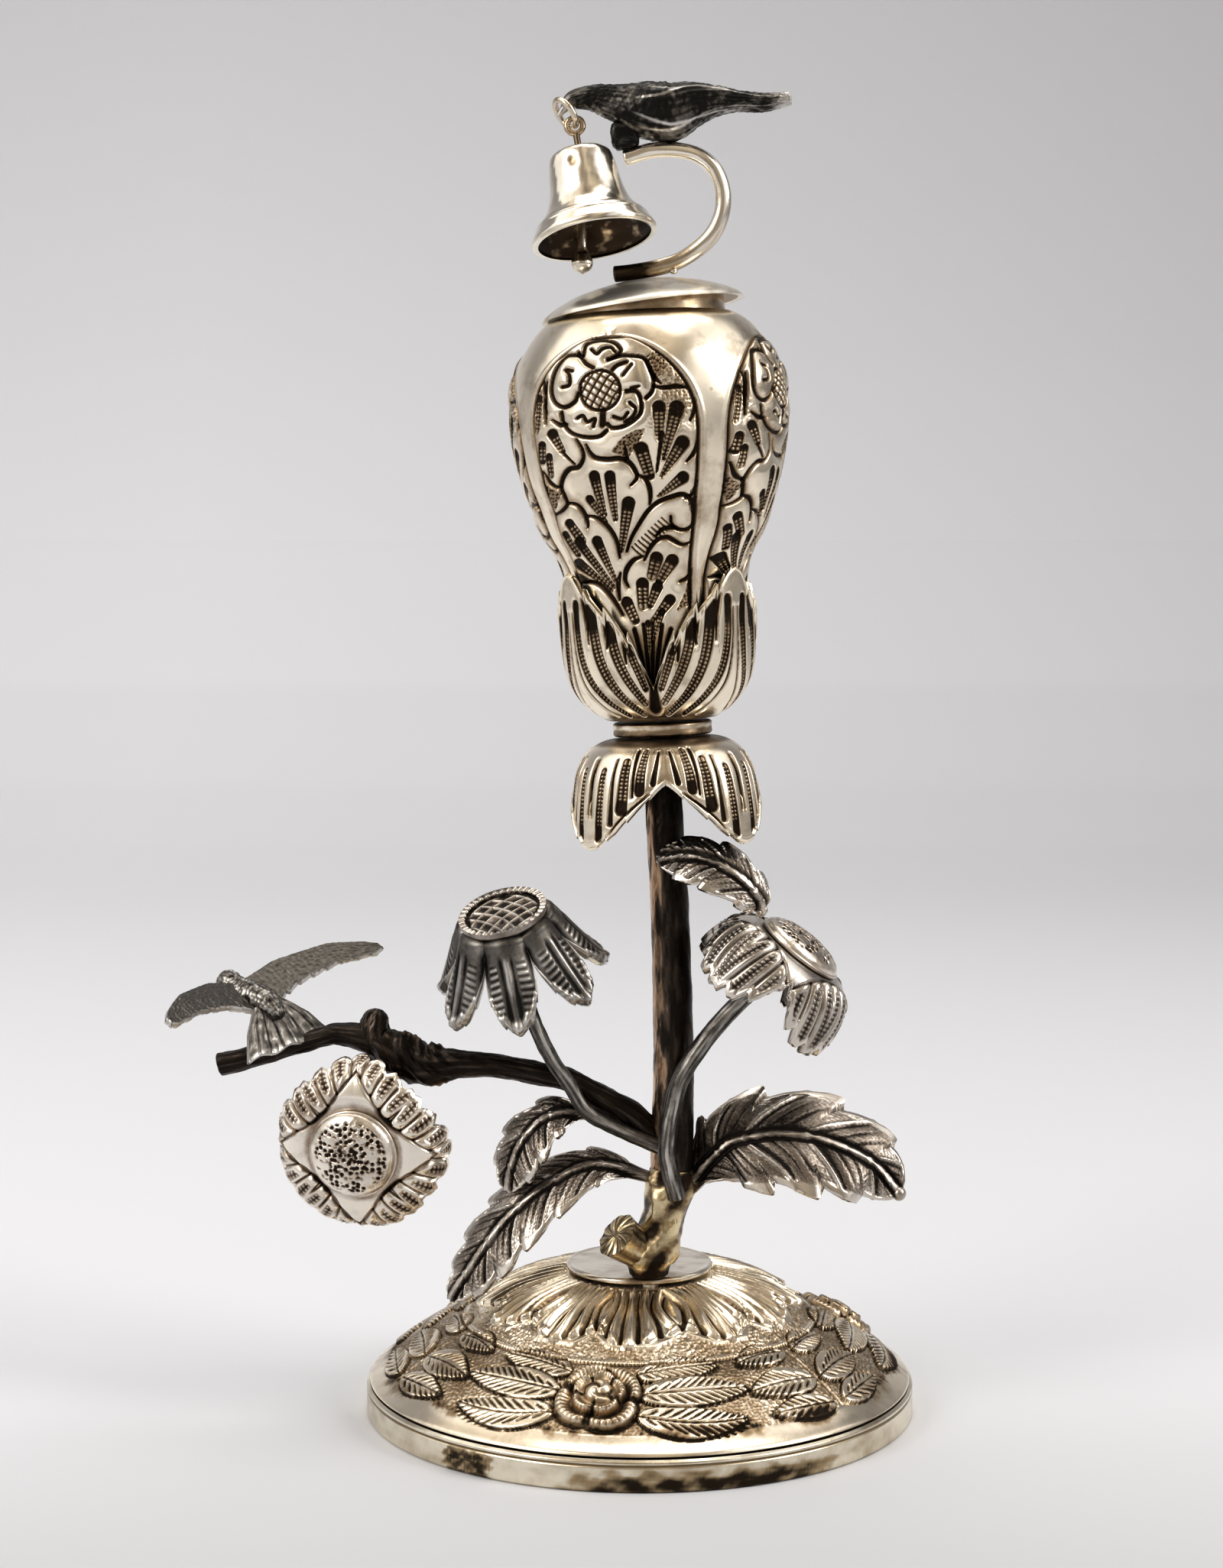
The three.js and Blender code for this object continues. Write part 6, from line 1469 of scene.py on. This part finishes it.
def scroll():
    """The scroll's drawn rod, darker towards its foot, and the bead of solder where it meets the lid."""
    def drawn(angle, distance):
        return 0.04 * np.sin(angle * 2) + 0.03 * wave_noise(angle * 2, distance * 0.4, 3, 107)

    def drawn_dark(angle, distance):
        uneven = distance + 0.8 * wave_noise(angle * 1.5, distance, 2, 109)
        shade = 0.05 + 0.25 * wave_noise(angle * 1.5, distance * 0.3, 3, 108) + 0.3 * smooth(16, 27, distance)
        return shade + 0.6 * smooth(29.5, 33.0, uneven)

    handle = rod(np.array(SCROLL) * SCROLL_SIZE, SCROLL_GIRTH, side=(0, 1, 0), sides=64, steps=260,
                 relief=drawn, dark=drawn_dark)
    solder = patch(globe(16, 28, 1.5) * (0.55, 0.55, 0.4) + SOLDER_PLACE, 0.2, True)
    build("scroll", [handle, solder], POLISHED, ["scroll_handle"], LID, "lid")


def bird():
    """The bird on the scroll: feathered back, folded wings standing proud, a tail and a claw block."""
    def share(distance):
        return distance / BIRD_RUN

    def from_back(angle):
        """How far round from the middle line of back or belly; both flanks are a quarter turn away."""
        return np.abs(np.abs(wrapped(angle)) - np.pi / 2)

    def plumage(angle, distance):
        t, near = share(distance), from_back(angle)
        scale = pits(angle * BIRD_GRAIN, distance, 0.85, 5, 0.5)
        wing = peak(near - 1.15, 0.42) * (smooth(0.34, 0.44, t) * smooth(0.86, 0.72, t))
        quills = np.sin(near * 22 + t * 10)
        rough = 0.12 * wave_noise(angle * BIRD_GRAIN, distance, 1.1, 112)
        return 0.4 * wing + 0.06 * quills * wing + (0.05 * scale + rough) * (1 - wing) * smooth(0.1, 0.2, t)

    def plumage_dark(angle, distance):
        t, near = share(distance), from_back(angle)
        scale = pits(angle * BIRD_GRAIN, distance, 0.85, 5, 0.5)
        quills = smooth(0.1, 0.9, np.sin(near * 22 + t * 10))
        ridge = peak(near - 0.98 - 0.35 * np.sin(t * 6), 0.05) * smooth(0.32, 0.4, t) * smooth(0.8, 0.65, t)
        ridge = ridge + 0.6 * peak(near - 0.6 - 0.5 * t, 0.05) * smooth(0.34, 0.42, t)
        rough = 0.5 * wave_noise(angle * BIRD_GRAIN, distance, 1.1, 112)
        mottle = wave_noise(angle * 3, distance, 5, 111) + rough
        # Painted highlight: the upward-facing back is lighter, in patches
        patches = 0.6 + 1.2 * wave_noise(angle * 4, distance * 1.5, 2.4, 117)
        back = np.clip(-np.sin(angle), 0, 1) ** 2 * patches
        shade = 0.92 - 0.12 * scale + 0.1 * quills - 1.0 * ridge + 0.4 * mottle - 0.5 * np.clip(back, 0, 1)
        return shade - 0.8 * smooth(0.1, 0.03, t) - 0.9 * smooth(0.88, 0.98, t)

    body = rod(BIRD_PLACE + np.array(BIRD_PATH) * BIRD_LENGTH, np.array(BIRD_DEPTH) * BIRD_GIRTH,
               np.array(BIRD_BREADTH) * BIRD_GIRTH, side=(0, 1, 0), sides=128, steps=360,
               relief=plumage, dark=plumage_dark)

    def squared(wave):
        return np.sign(wave) * np.abs(wave) ** 0.55

    a = full_turn(64)
    p = np.linspace(-1.54, 1.54, 40)[:, None]
    across, along, up = squared(np.cos(a)), squared(np.sin(a)), squared(np.sin(p))
    slim = squared(np.cos(p))
    claw = np.stack([across * slim * 1.85, along * slim * 1.4, up * np.ones_like(a) * 1.85], axis=2)
    claw *= (1 + 0.05 * wave_noise(a * 2, p * 3, 2, 113))[..., None]
    claw = claw + BIRD_PLACE + np.array([-0.164, 0, 0.045]) * BIRD_LENGTH
    claw_dark = 0.85 + 0.3 * wave_noise(a * 3, p * 4, 2, 115)
    build("bird", [body, patch(claw, claw_dark, True)], GREY, ["top_bird"], LID, "lid")


# Bell with its rings and clapper

BELL = np.eye(4)
BELL[:3, :3] = Matrix.Rotation(-math.radians(10), 3, "Y") @ Matrix.Rotation(-math.radians(11.6), 3, "X")
BELL[:3, 3] = (-8.553, -1.014, 170.17)
BELL_RADIUS = 8.2
BELL_HEIGHT = 13.0
BELL_HANG = 2.5
BELL_WALL = 0.7
BELL_NECK = 0.9
EYE_HOLE = 0.4
EYE_RADIUS = 0.98
EYE_WIRE = 0.33
CLAPPER_PLACE = (-7.562, -2.186, 164.546)
CLAPPER_LENGTH = 12.2
CLAPPER_ROD = 0.62
CLAPPER_BOB = 1.45
BELL_OUTLINE = [(0.25, 0.01), (0.4, 0.025), (0.485, 0.07), (0.525, 0.15), (0.55, 0.263), (0.575, 0.38),
                (0.615, 0.525), (0.69, 0.657), (0.8, 0.76), (0.88, 0.82), (0.95, 0.9), (1, 0.963),
                (0.995, 1)]


def torus(radius, wire, axis, dark, seed, middle=(0, 0, 0)):
    """A ring of slightly uneven round wire."""
    up = unit(axis)
    side = unit(np.cross(up, (0.3, 0.9, 0.2)))
    other = np.cross(up, side)
    a = full_turn(96)[:, None]
    b = full_turn(28)[None, :]
    uneven = 1 + 0.06 * wave_noise(np.cos(a) * 4, np.sin(a) * 4 + np.cos(b), 2, 121 + seed)
    out = radius + wire * np.cos(b) * uneven
    grid = (side * (np.cos(a) * out)[..., None] + other * (np.sin(a) * out)[..., None]
            + up * (wire * np.sin(b) * uneven)[..., None] + np.asarray(middle))
    return patch(np.concatenate([grid, grid[:1]]), dark, True)


def bill_wire():
    """The loose ring in the bill, turned a little about the line of the bill."""
    slope = math.radians(30)
    line = np.array([-math.cos(slope), 0, -math.sin(slope)])
    down = np.array([math.sin(slope), 0, -math.cos(slope)])
    turn = np.array(Matrix.Rotation(-math.radians(22), 3, Vector(down)))
    build("bill_wire", [torus(2.01, 0.41, turn @ line, 0.3, 0)], POLISHED, ["beak_ring"],
          tilted((-9.744, -1.014, 171.714), LID_TILT), "bill_ring")


def bell():
    """A cast bell with two turned lines, a dent at the front and an inside painted near black as shade, on
    its double-eyed wire.
    """
    turns = 420
    top = BELL_HANG + BELL_NECK
    tall = BELL_HEIGHT - BELL_NECK
    mouth = -BELL_HANG - BELL_HEIGHT
    outline = resample(np.array(BELL_OUTLINE) * (BELL_RADIUS, -tall) - (0, top), 150)[::-1]
    angle = full_turn(turns)
    drop = (-outline[:, 1:] - top) / tall
    front = wrapped(angle + np.pi / 2)
    lines = peak(drop - 0.8, 0.018) + 0.7 * peak(drop - 0.83, 0.01)
    dent = np.exp(-((front + 0.26) * 4.4 / 0.75) ** 2 - ((drop - 0.22) * BELL_HEIGHT / 0.95) ** 2)
    knocks = wave_noise(front * 6, drop * 9, 5, 131)
    stain = smooth(0.35, 0.8, wave_noise(front * 5, drop * 12, 4, 133))
    relief = 0.1 * lines - 0.28 * dent + 0.05 * knocks
    dark = 0.02 + 0.12 * knocks + 0.55 * dent + 0.45 * stain * smooth(0.6, 0.9, drop)
    dark = dark + 0.35 * peak(drop - 0.775, 0.012)
    under_crown = (EYE_HOLE, -top - BELL_WALL)
    crown = polyline([tuple(outline[-1]), (EYE_HOLE, -top), under_crown], 8)
    inner = outline - (BELL_WALL + 0.02, 0.1)
    inner = inner[(inner[:, 0] > 1.0) & (inner[:, 1] < -top - BELL_WALL)]
    # Painted shade: the inside is painted near black, with a few lighter patches
    inner_shade = 0.95 + 0.45 * wave_noise(angle * 6, inner[::-1, 1:] * 1.6, 3, 135)
    lip = polyline([tuple(inner[0]), (BELL_RADIUS - 0.7, mouth), (BELL_RADIUS - 0.3, mouth - 0.08),
                    tuple(outline[0])], 10)
    closing = polyline([under_crown, tuple(inner[-1])], 8)
    lining = np.vstack([closing, inner[::-1]])
    lining_dark = np.vstack([np.full((len(closing), turns), 0.8), inner_shade])
    build("small_bell", [
        revolve(outline, turns, relief, np.clip(dark, -0.1, 0.9), (0, 0, 1, 0.6)),
        revolve(crown, turns // 2, dark=0.3, area=(0, 0.61, 1, 0.63)),
        revolve(lining, turns, dark=np.clip(lining_dark, 0.35, 1), area=(0, 0.65, 1, 0.92)),
        revolve(lip, turns, dark=0.05, area=(0, 0.94, 1, 1)),
    ], POLISHED, ["bell"], BELL, "bell")
    eye = -BELL_HANG - 2.35
    shank = polyline([(0.33, eye + 0.9), (0.45, -top + 0.3), (0.45, -1.3), (0.33, -0.95)], 12)
    build("bell_hanger", [torus(1.06, 0.39, (0, 1, 0), 0.45, 1), revolve(shank, 24, dark=0.75),
                          torus(EYE_RADIUS, EYE_WIRE, (1, 0, 0), 0.6, 2, (0, 0, eye))],
          POLISHED, ["bell_loop"], BELL, "bell")


def clapper():
    """A rod that thickens to a pear-shaped bob, under its own eye."""
    hang = np.eye(4)
    hang[:3, 3] = CLAPPER_PLACE
    length, radius, bob = CLAPPER_LENGTH, CLAPPER_ROD, CLAPPER_BOB
    outline = [(0.02, -0.95), (radius * 0.8, -1.05), (radius, -1.5), (radius * 0.92, -5),
               (radius, -length + bob * 1.5), (bob * 0.72, -length + bob * 0.75), (bob, -length),
               (bob * 0.76, -length - bob * 0.62), (0.02, -length - bob)]
    outline = resample(outline, 110)[::-1]
    turns = 72
    dark = np.clip(0.05 + 0.2 * wave_noise(full_turn(turns) * 1.5, outline[:, 1:], 4, 141), 0, 0.8)
    build("tongue", [torus(EYE_RADIUS, EYE_WIRE, (0, 1, 0), 0.5, 3), revolve(outline, turns, dark=dark)],
          POLISHED, ["clapper"], hang, "clapper")


# Bird on the branch

FLYER_FORWARD = unit((-0.72, 0.68, 0.06))
FLYER_UP = unit(np.array([0.07, -0.3, 0.95]) - FLYER_FORWARD * (np.array([0.07, -0.3, 0.95]) @ FLYER_FORWARD))
FLYER = np.eye(4)
FLYER[:3, 0], FLYER[:3, 1], FLYER[:3, 2] = FLYER_FORWARD, np.cross(FLYER_UP, FLYER_FORWARD), FLYER_UP
FLYER[:3, 3] = (-51.1, -1.2, 55.301)
FLYER_LENGTH = 13.0
FLYER_GIRTH = 2.0
FLYER_GRAIN = 1.8
FLYER_SPAN = 18.0
FLYER_CHORD = 6.2
FLYER_SHEET = 0.8
TAIL_WIDTH = 7.0
FLYER_PATH = [(-0.34, 0, -0.13), (-0.2, 0, -0.04), (0, 0, 0), (0.2, 0, 0.02), (0.34, 0, 0.06),
              (0.46, 0, 0.1), (0.55, 0, 0.06), (0.64, 0, -0.02)]
FLYER_DEPTH = [0.45, 0.85, 1, 0.98, 0.78, 0.8, 0.5, 0.12]


def wing(hand):
    """One of two spread, barred wings: 1 for the near hand and -1 for the far one."""
    out = np.linspace(0, 1, 150)[None, :]
    back = np.linspace(0, 1, 60)[:, None]
    sweep = table([(0, 0.05), (0.3, 0.04), (0.65, -0.08), (1, -0.27)], out) * FLYER_SPAN
    raised = table([(0, 0.01), (0.35, 0.13), (0.7, 0.19), (1, 0.17)], out) * FLYER_SPAN
    wide = table([(0, 1), (0.2, 0.86), (0.5, 0.66), (0.8, 0.52), (0.94, 0.36), (1, 0.16)], out) * FLYER_CHORD
    feather = np.mod(out * 9, 1)
    wide = wide * (1 - 0.16 * smooth(0.5, 1.0, back) * feather)
    x = sweep + (0.5 - back) * wide
    z = raised - (back - 0.35) * wide * 0.5
    middle = np.stack(np.broadcast_arrays(x, hand * out * FLYER_SPAN, z), axis=2)
    lane = peak(feather - 0.02, 0.09) * smooth(0.4, 0.5, back)
    u, v = out * FLYER_SPAN, back * 5
    scales = pits(u, v, 0.7, 15, 0.5)
    knocked = wave_noise(u, v, 1.6, 155 + hand)
    relief = -0.14 * lane + 0.16 * scales + 0.09 * knocked
    relief = relief + 0.06 * np.sin(feather * np.pi) * smooth(0.4, 0.5, back)
    shade = 0.4 + 0.25 * lane - 0.42 * scales + 0.28 * knocked - 0.6 * peak(back - 0.02, 0.08)
    shade = shade - 0.35 * smooth(0.9, 1.0, back) + 0.3 * wave_noise(u, v, 5, 153 + hand)
    return sheet(middle, FLYER_SHEET, relief, np.clip(shade, -0.3, 1), facing=-hand)


def fanned_tail():
    along = np.linspace(0, 1, 60)[:, None]
    across = np.linspace(-1, 1, 90)[None, :]
    line = curve_at(np.array([(-0.16, 0, -0.03), (-0.3, 0, -0.2), (-0.45, 0, -0.43)]) * FLYER_LENGTH, along)
    wide = table([(0, 0.34), (0.5, 0.72), (1, 1)], along) * TAIL_WIDTH
    feather = np.mod((across + 1) * 3.5, 1)
    middle = line + np.stack([0 * across * wide, across * wide, 0.25 * np.cos(across * 9) * along], axis=2)
    lane = peak(feather - 0.02, 0.1) * smooth(0.15, 0.3, along)
    knocked = wave_noise(across * 5, along * 6, 1.4, 157)
    shade = 0.5 + 0.3 * lane - 0.45 * smooth(0.88, 1, along) + 0.3 * knocked
    return sheet(middle, FLYER_SHEET, -0.14 * lane + 0.08 * knocked, np.clip(shade, -0.2, 1))


def flyer():
    """The small bird on the branch, with wings spread and a fanned tail."""
    def plumage(angle, distance):
        scales = pits(angle * FLYER_GRAIN, distance, 0.6, 9, 0.5)
        return 0.12 * scales + 0.1 * wave_noise(angle * FLYER_GRAIN, distance, 1.5, 150)

    def plumage_dark(angle, distance):
        scales = pits(angle * FLYER_GRAIN, distance, 0.6, 9, 0.5)
        return 0.72 - 0.4 * scales + 0.35 * wave_noise(angle * 2, distance, 2, 151)

    body = rod(np.array(FLYER_PATH) * FLYER_LENGTH, np.array(FLYER_DEPTH) * FLYER_GIRTH,
               side=(0, 1, 0), sides=72, steps=150, relief=plumage, dark=plumage_dark)
    build("branch_flyer", [body, *wing(1), *wing(-1), *fanned_tail()],
          GREY, ["branch_bird"], FLYER)


# Stage: a pale sweep, soft lights and a room for the silver to mirror

# The paper in metres: away from the viewer and up, and half its width
PAPER_OUTLINE = [(-2.4, 0.0), (0.62, 0.0), (0.7, 0.004), (0.78, 0.02), (0.86, 0.06), (0.92, 0.13),
                 (0.95, 0.22), (0.96, 1.6)]
PAPER_REACH = 2.4
PAPER_COLUMNS = 24
# The paper's colour where the light is full, and the darker one that the painted falloff of light fades it to
PAPER_NEAR = (0.845, 0.84, 0.85)
PAPER_FAR = (0.35, 0.342, 0.342)
# Painted falloff of light, darker upwards, to the right and towards the front. Two places in metres, then the
# share of the near colour at each: upwards, sideways and away
PAPER_RISE = (0.12, 0.62, 1.0, 0.35)
PAPER_SIDE = (-0.2, 0.5, 1.0, 0.52)
PAPER_FRONT = (-0.1, 0.02, 0.42, 1.0)
PAPER_FAR_FRONT = (-0.5, -0.12, 1.0, 0.42)


def stage():
    rows = polyline(PAPER_OUTLINE, 60)
    columns = np.linspace(-PAPER_REACH, PAPER_REACH, PAPER_COLUMNS)
    grid = np.stack(np.broadcast_arrays(columns, rows[:, :1], rows[:, 1:]), axis=2)
    i, j = np.meshgrid(np.arange(len(rows) - 1), np.arange(PAPER_COLUMNS - 1), indexing="ij")
    corner = (i * PAPER_COLUMNS + j).ravel()
    faces = np.stack([corner, corner + 1, corner + PAPER_COLUMNS + 1, corner + PAPER_COLUMNS], axis=1)
    mesh = bpy.data.meshes.new("sweep")
    mesh.from_pydata(grid.reshape(-1, 3).tolist(), [], faces.tolist())
    mesh.polygons.foreach_set("use_smooth", np.ones(len(faces), bool))
    sweep = bpy.data.objects.new("sweep", mesh)
    bpy.context.collection.objects.link(sweep)
    material = bpy.data.materials.new("paper")
    material.use_nodes = True
    wiring = Wiring(material.node_tree)
    place = wiring.node("ShaderNodeTexCoord", {})["Object"]
    x, y, z = wiring.node("ShaderNodeSeparateXYZ", {0: place})
    # Painted falloff of light: the paper fades from its near colour to the far one upwards, sideways and
    # towards the front
    front = wiring.maths("MAXIMUM", wiring.spread(y, PAPER_FRONT), wiring.spread(y, PAPER_FAR_FRONT))
    near = wiring.maths("MULTIPLY", wiring.spread(z, PAPER_RISE), front)
    near = wiring.maths("MULTIPLY", near, wiring.spread(x, PAPER_SIDE))
    wiring.feed(material.node_tree.nodes["Principled BSDF"], {
        "Base Color": wiring.mix(near, (*PAPER_FAR, 1), (*PAPER_NEAR, 1)),
        "Roughness": 0.9,
        "Specular IOR Level": 0.1,
    })
    mesh.materials.append(material)


def lamp(name, place, aim, size, power, colour):
    data = bpy.data.lights.new(name, "AREA")
    data.shape = "RECTANGLE"
    data.size, data.size_y = size
    data.energy = power
    data.color = colour
    thing = bpy.data.objects.new(name, data)
    thing.location = place
    thing.rotation_euler = (Vector(aim) - Vector(place)).to_track_quat("-Z", "Y").to_euler()
    bpy.context.collection.objects.link(thing)


# What the silver mirrors, from the left to the right of the room, and how it brightens upwards
ROOM = [(0.0, (0.75, 0.73, 0.7)), (0.16, (0.95, 0.93, 0.9)), (0.3, (0.5, 0.44, 0.36)),
        (0.42, (0.13, 0.1, 0.075)), (0.56, (0.45, 0.39, 0.3)), (0.7, (0.16, 0.13, 0.1)),
        (0.82, (0.9, 0.88, 0.86)), (1.0, (0.3, 0.28, 0.26))]
ROOM_RISE = (-0.2, 0.9, 0.62, 1.85)
WALL = (0.93, 0.92, 0.93, 1)
WALL_LIGHT = 0.42
WALL_RISE = (0.0, 0.22, 0.36, 0.66)


def lights():
    world = bpy.data.worlds.new("room")
    bpy.context.scene.world = world
    world.use_nodes = True
    world.node_tree.nodes.clear()
    wiring = Wiring(world.node_tree)
    place = wiring.node("ShaderNodeTexCoord", {})["Generated"]
    x, _, z = wiring.node("ShaderNodeSeparateXYZ", {0: place})
    room = wiring.nodes.new("ShaderNodeValToRGB")
    wiring.feed(room, {0: wiring.spread(x, (-1, 1))})
    ramp = room.color_ramp
    while len(ramp.elements) < len(ROOM):
        ramp.elements.new(0.5)
    for element, (at, colour) in zip(ramp.elements, ROOM):
        element.position = at
        element.color = (*colour, 1)

    def background(colour, strength):
        return wiring.node("ShaderNodeBackground", {"Color": colour, "Strength": strength})[0]

    def either(share, first, second):
        return wiring.node("ShaderNodeMixShader", {0: share, 1: first, 2: second})[0]

    ray = wiring.node("ShaderNodeLightPath", {})
    mirrored = background(room.outputs[0], wiring.spread(z, ROOM_RISE))
    lit = either(ray["Is Glossy Ray"], background(WALL, WALL_LIGHT), mirrored)
    # Behind the paper's edges, which only other views take in, a pale wall
    shown = either(ray["Is Camera Ray"], lit, background(WALL, wiring.spread(z, WALL_RISE)))
    wiring.node("ShaderNodeOutputWorld", {0: shown})
    lamp("key", (-0.75, -0.55, 0.75), (0, 0, 0.09), (0.55, 0.7), 6.0, (1, 0.99, 0.97))
    lamp("right", (0.7, -0.25, 0.55), (0, 0, 0.11), (0.3, 0.6), 4.0, (1, 0.98, 0.95))
    lamp("top", (0.05, 0.15, 0.95), (0, 0, 0.1), (0.7, 0.5), 3.2, (1, 1, 1))


def camera():
    data = bpy.data.cameras.new("camera")
    data.sensor_fit = "VERTICAL"
    data.sensor_height = SENSOR_HEIGHT
    data.lens = FOCAL_PIXELS * SENSOR_HEIGHT / PHOTO_HEIGHT
    data.clip_start = 0.01
    data.dof.use_dof = False
    thing = bpy.data.objects.new("camera", data)
    thing.location = (np.array(CAMERA_PLACE) + FOOT_AXIS) * MM
    thing.rotation_euler = (math.pi / 2 - CAMERA_PITCH, 0, CAMERA_TURN)
    bpy.context.collection.objects.link(thing)
    bpy.context.scene.camera = thing


def fixings():
    """The studs, washer and nuts keep their own shapes and get a dull cast silver."""
    for name in ("foot_stud", "foot_washer", "foot_nut", "neck_stud", "bud_nut"):
        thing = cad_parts[name]
        for slot in thing.material_slots:
            slot.material = GREY


camera()
foot_band()
foot_dome()
foot_plate()
root()
stem()
branch()
leaves()
flower_stems()
pointed_corolla()
lattice_disc()
lobed_corolla("right_petals", "right_flower_corolla", RIGHT_FLOWER, 9.9, 8.7, 1.82, 161, LEAF, SIDE_EDGE)
boss("right_dome", "right_flower_boss", RIGHT_FLOWER, 163)
lobed_corolla("hanging_petals", "hanging_flower_corolla", HANGING_FLOWER, 11.0, 6.0, 1.74, 165, PETAL,
              HANGING_EDGE)
boss("hanging_dome", "hanging_flower_boss", HANGING_FLOWER, 167)
neck()
bud()
lid()
scroll()
bird()
bill_wire()
bell()
clapper()
flyer()
fixings()
stage()
lights()
bpy.context.scene.view_settings.view_transform = "Standard"
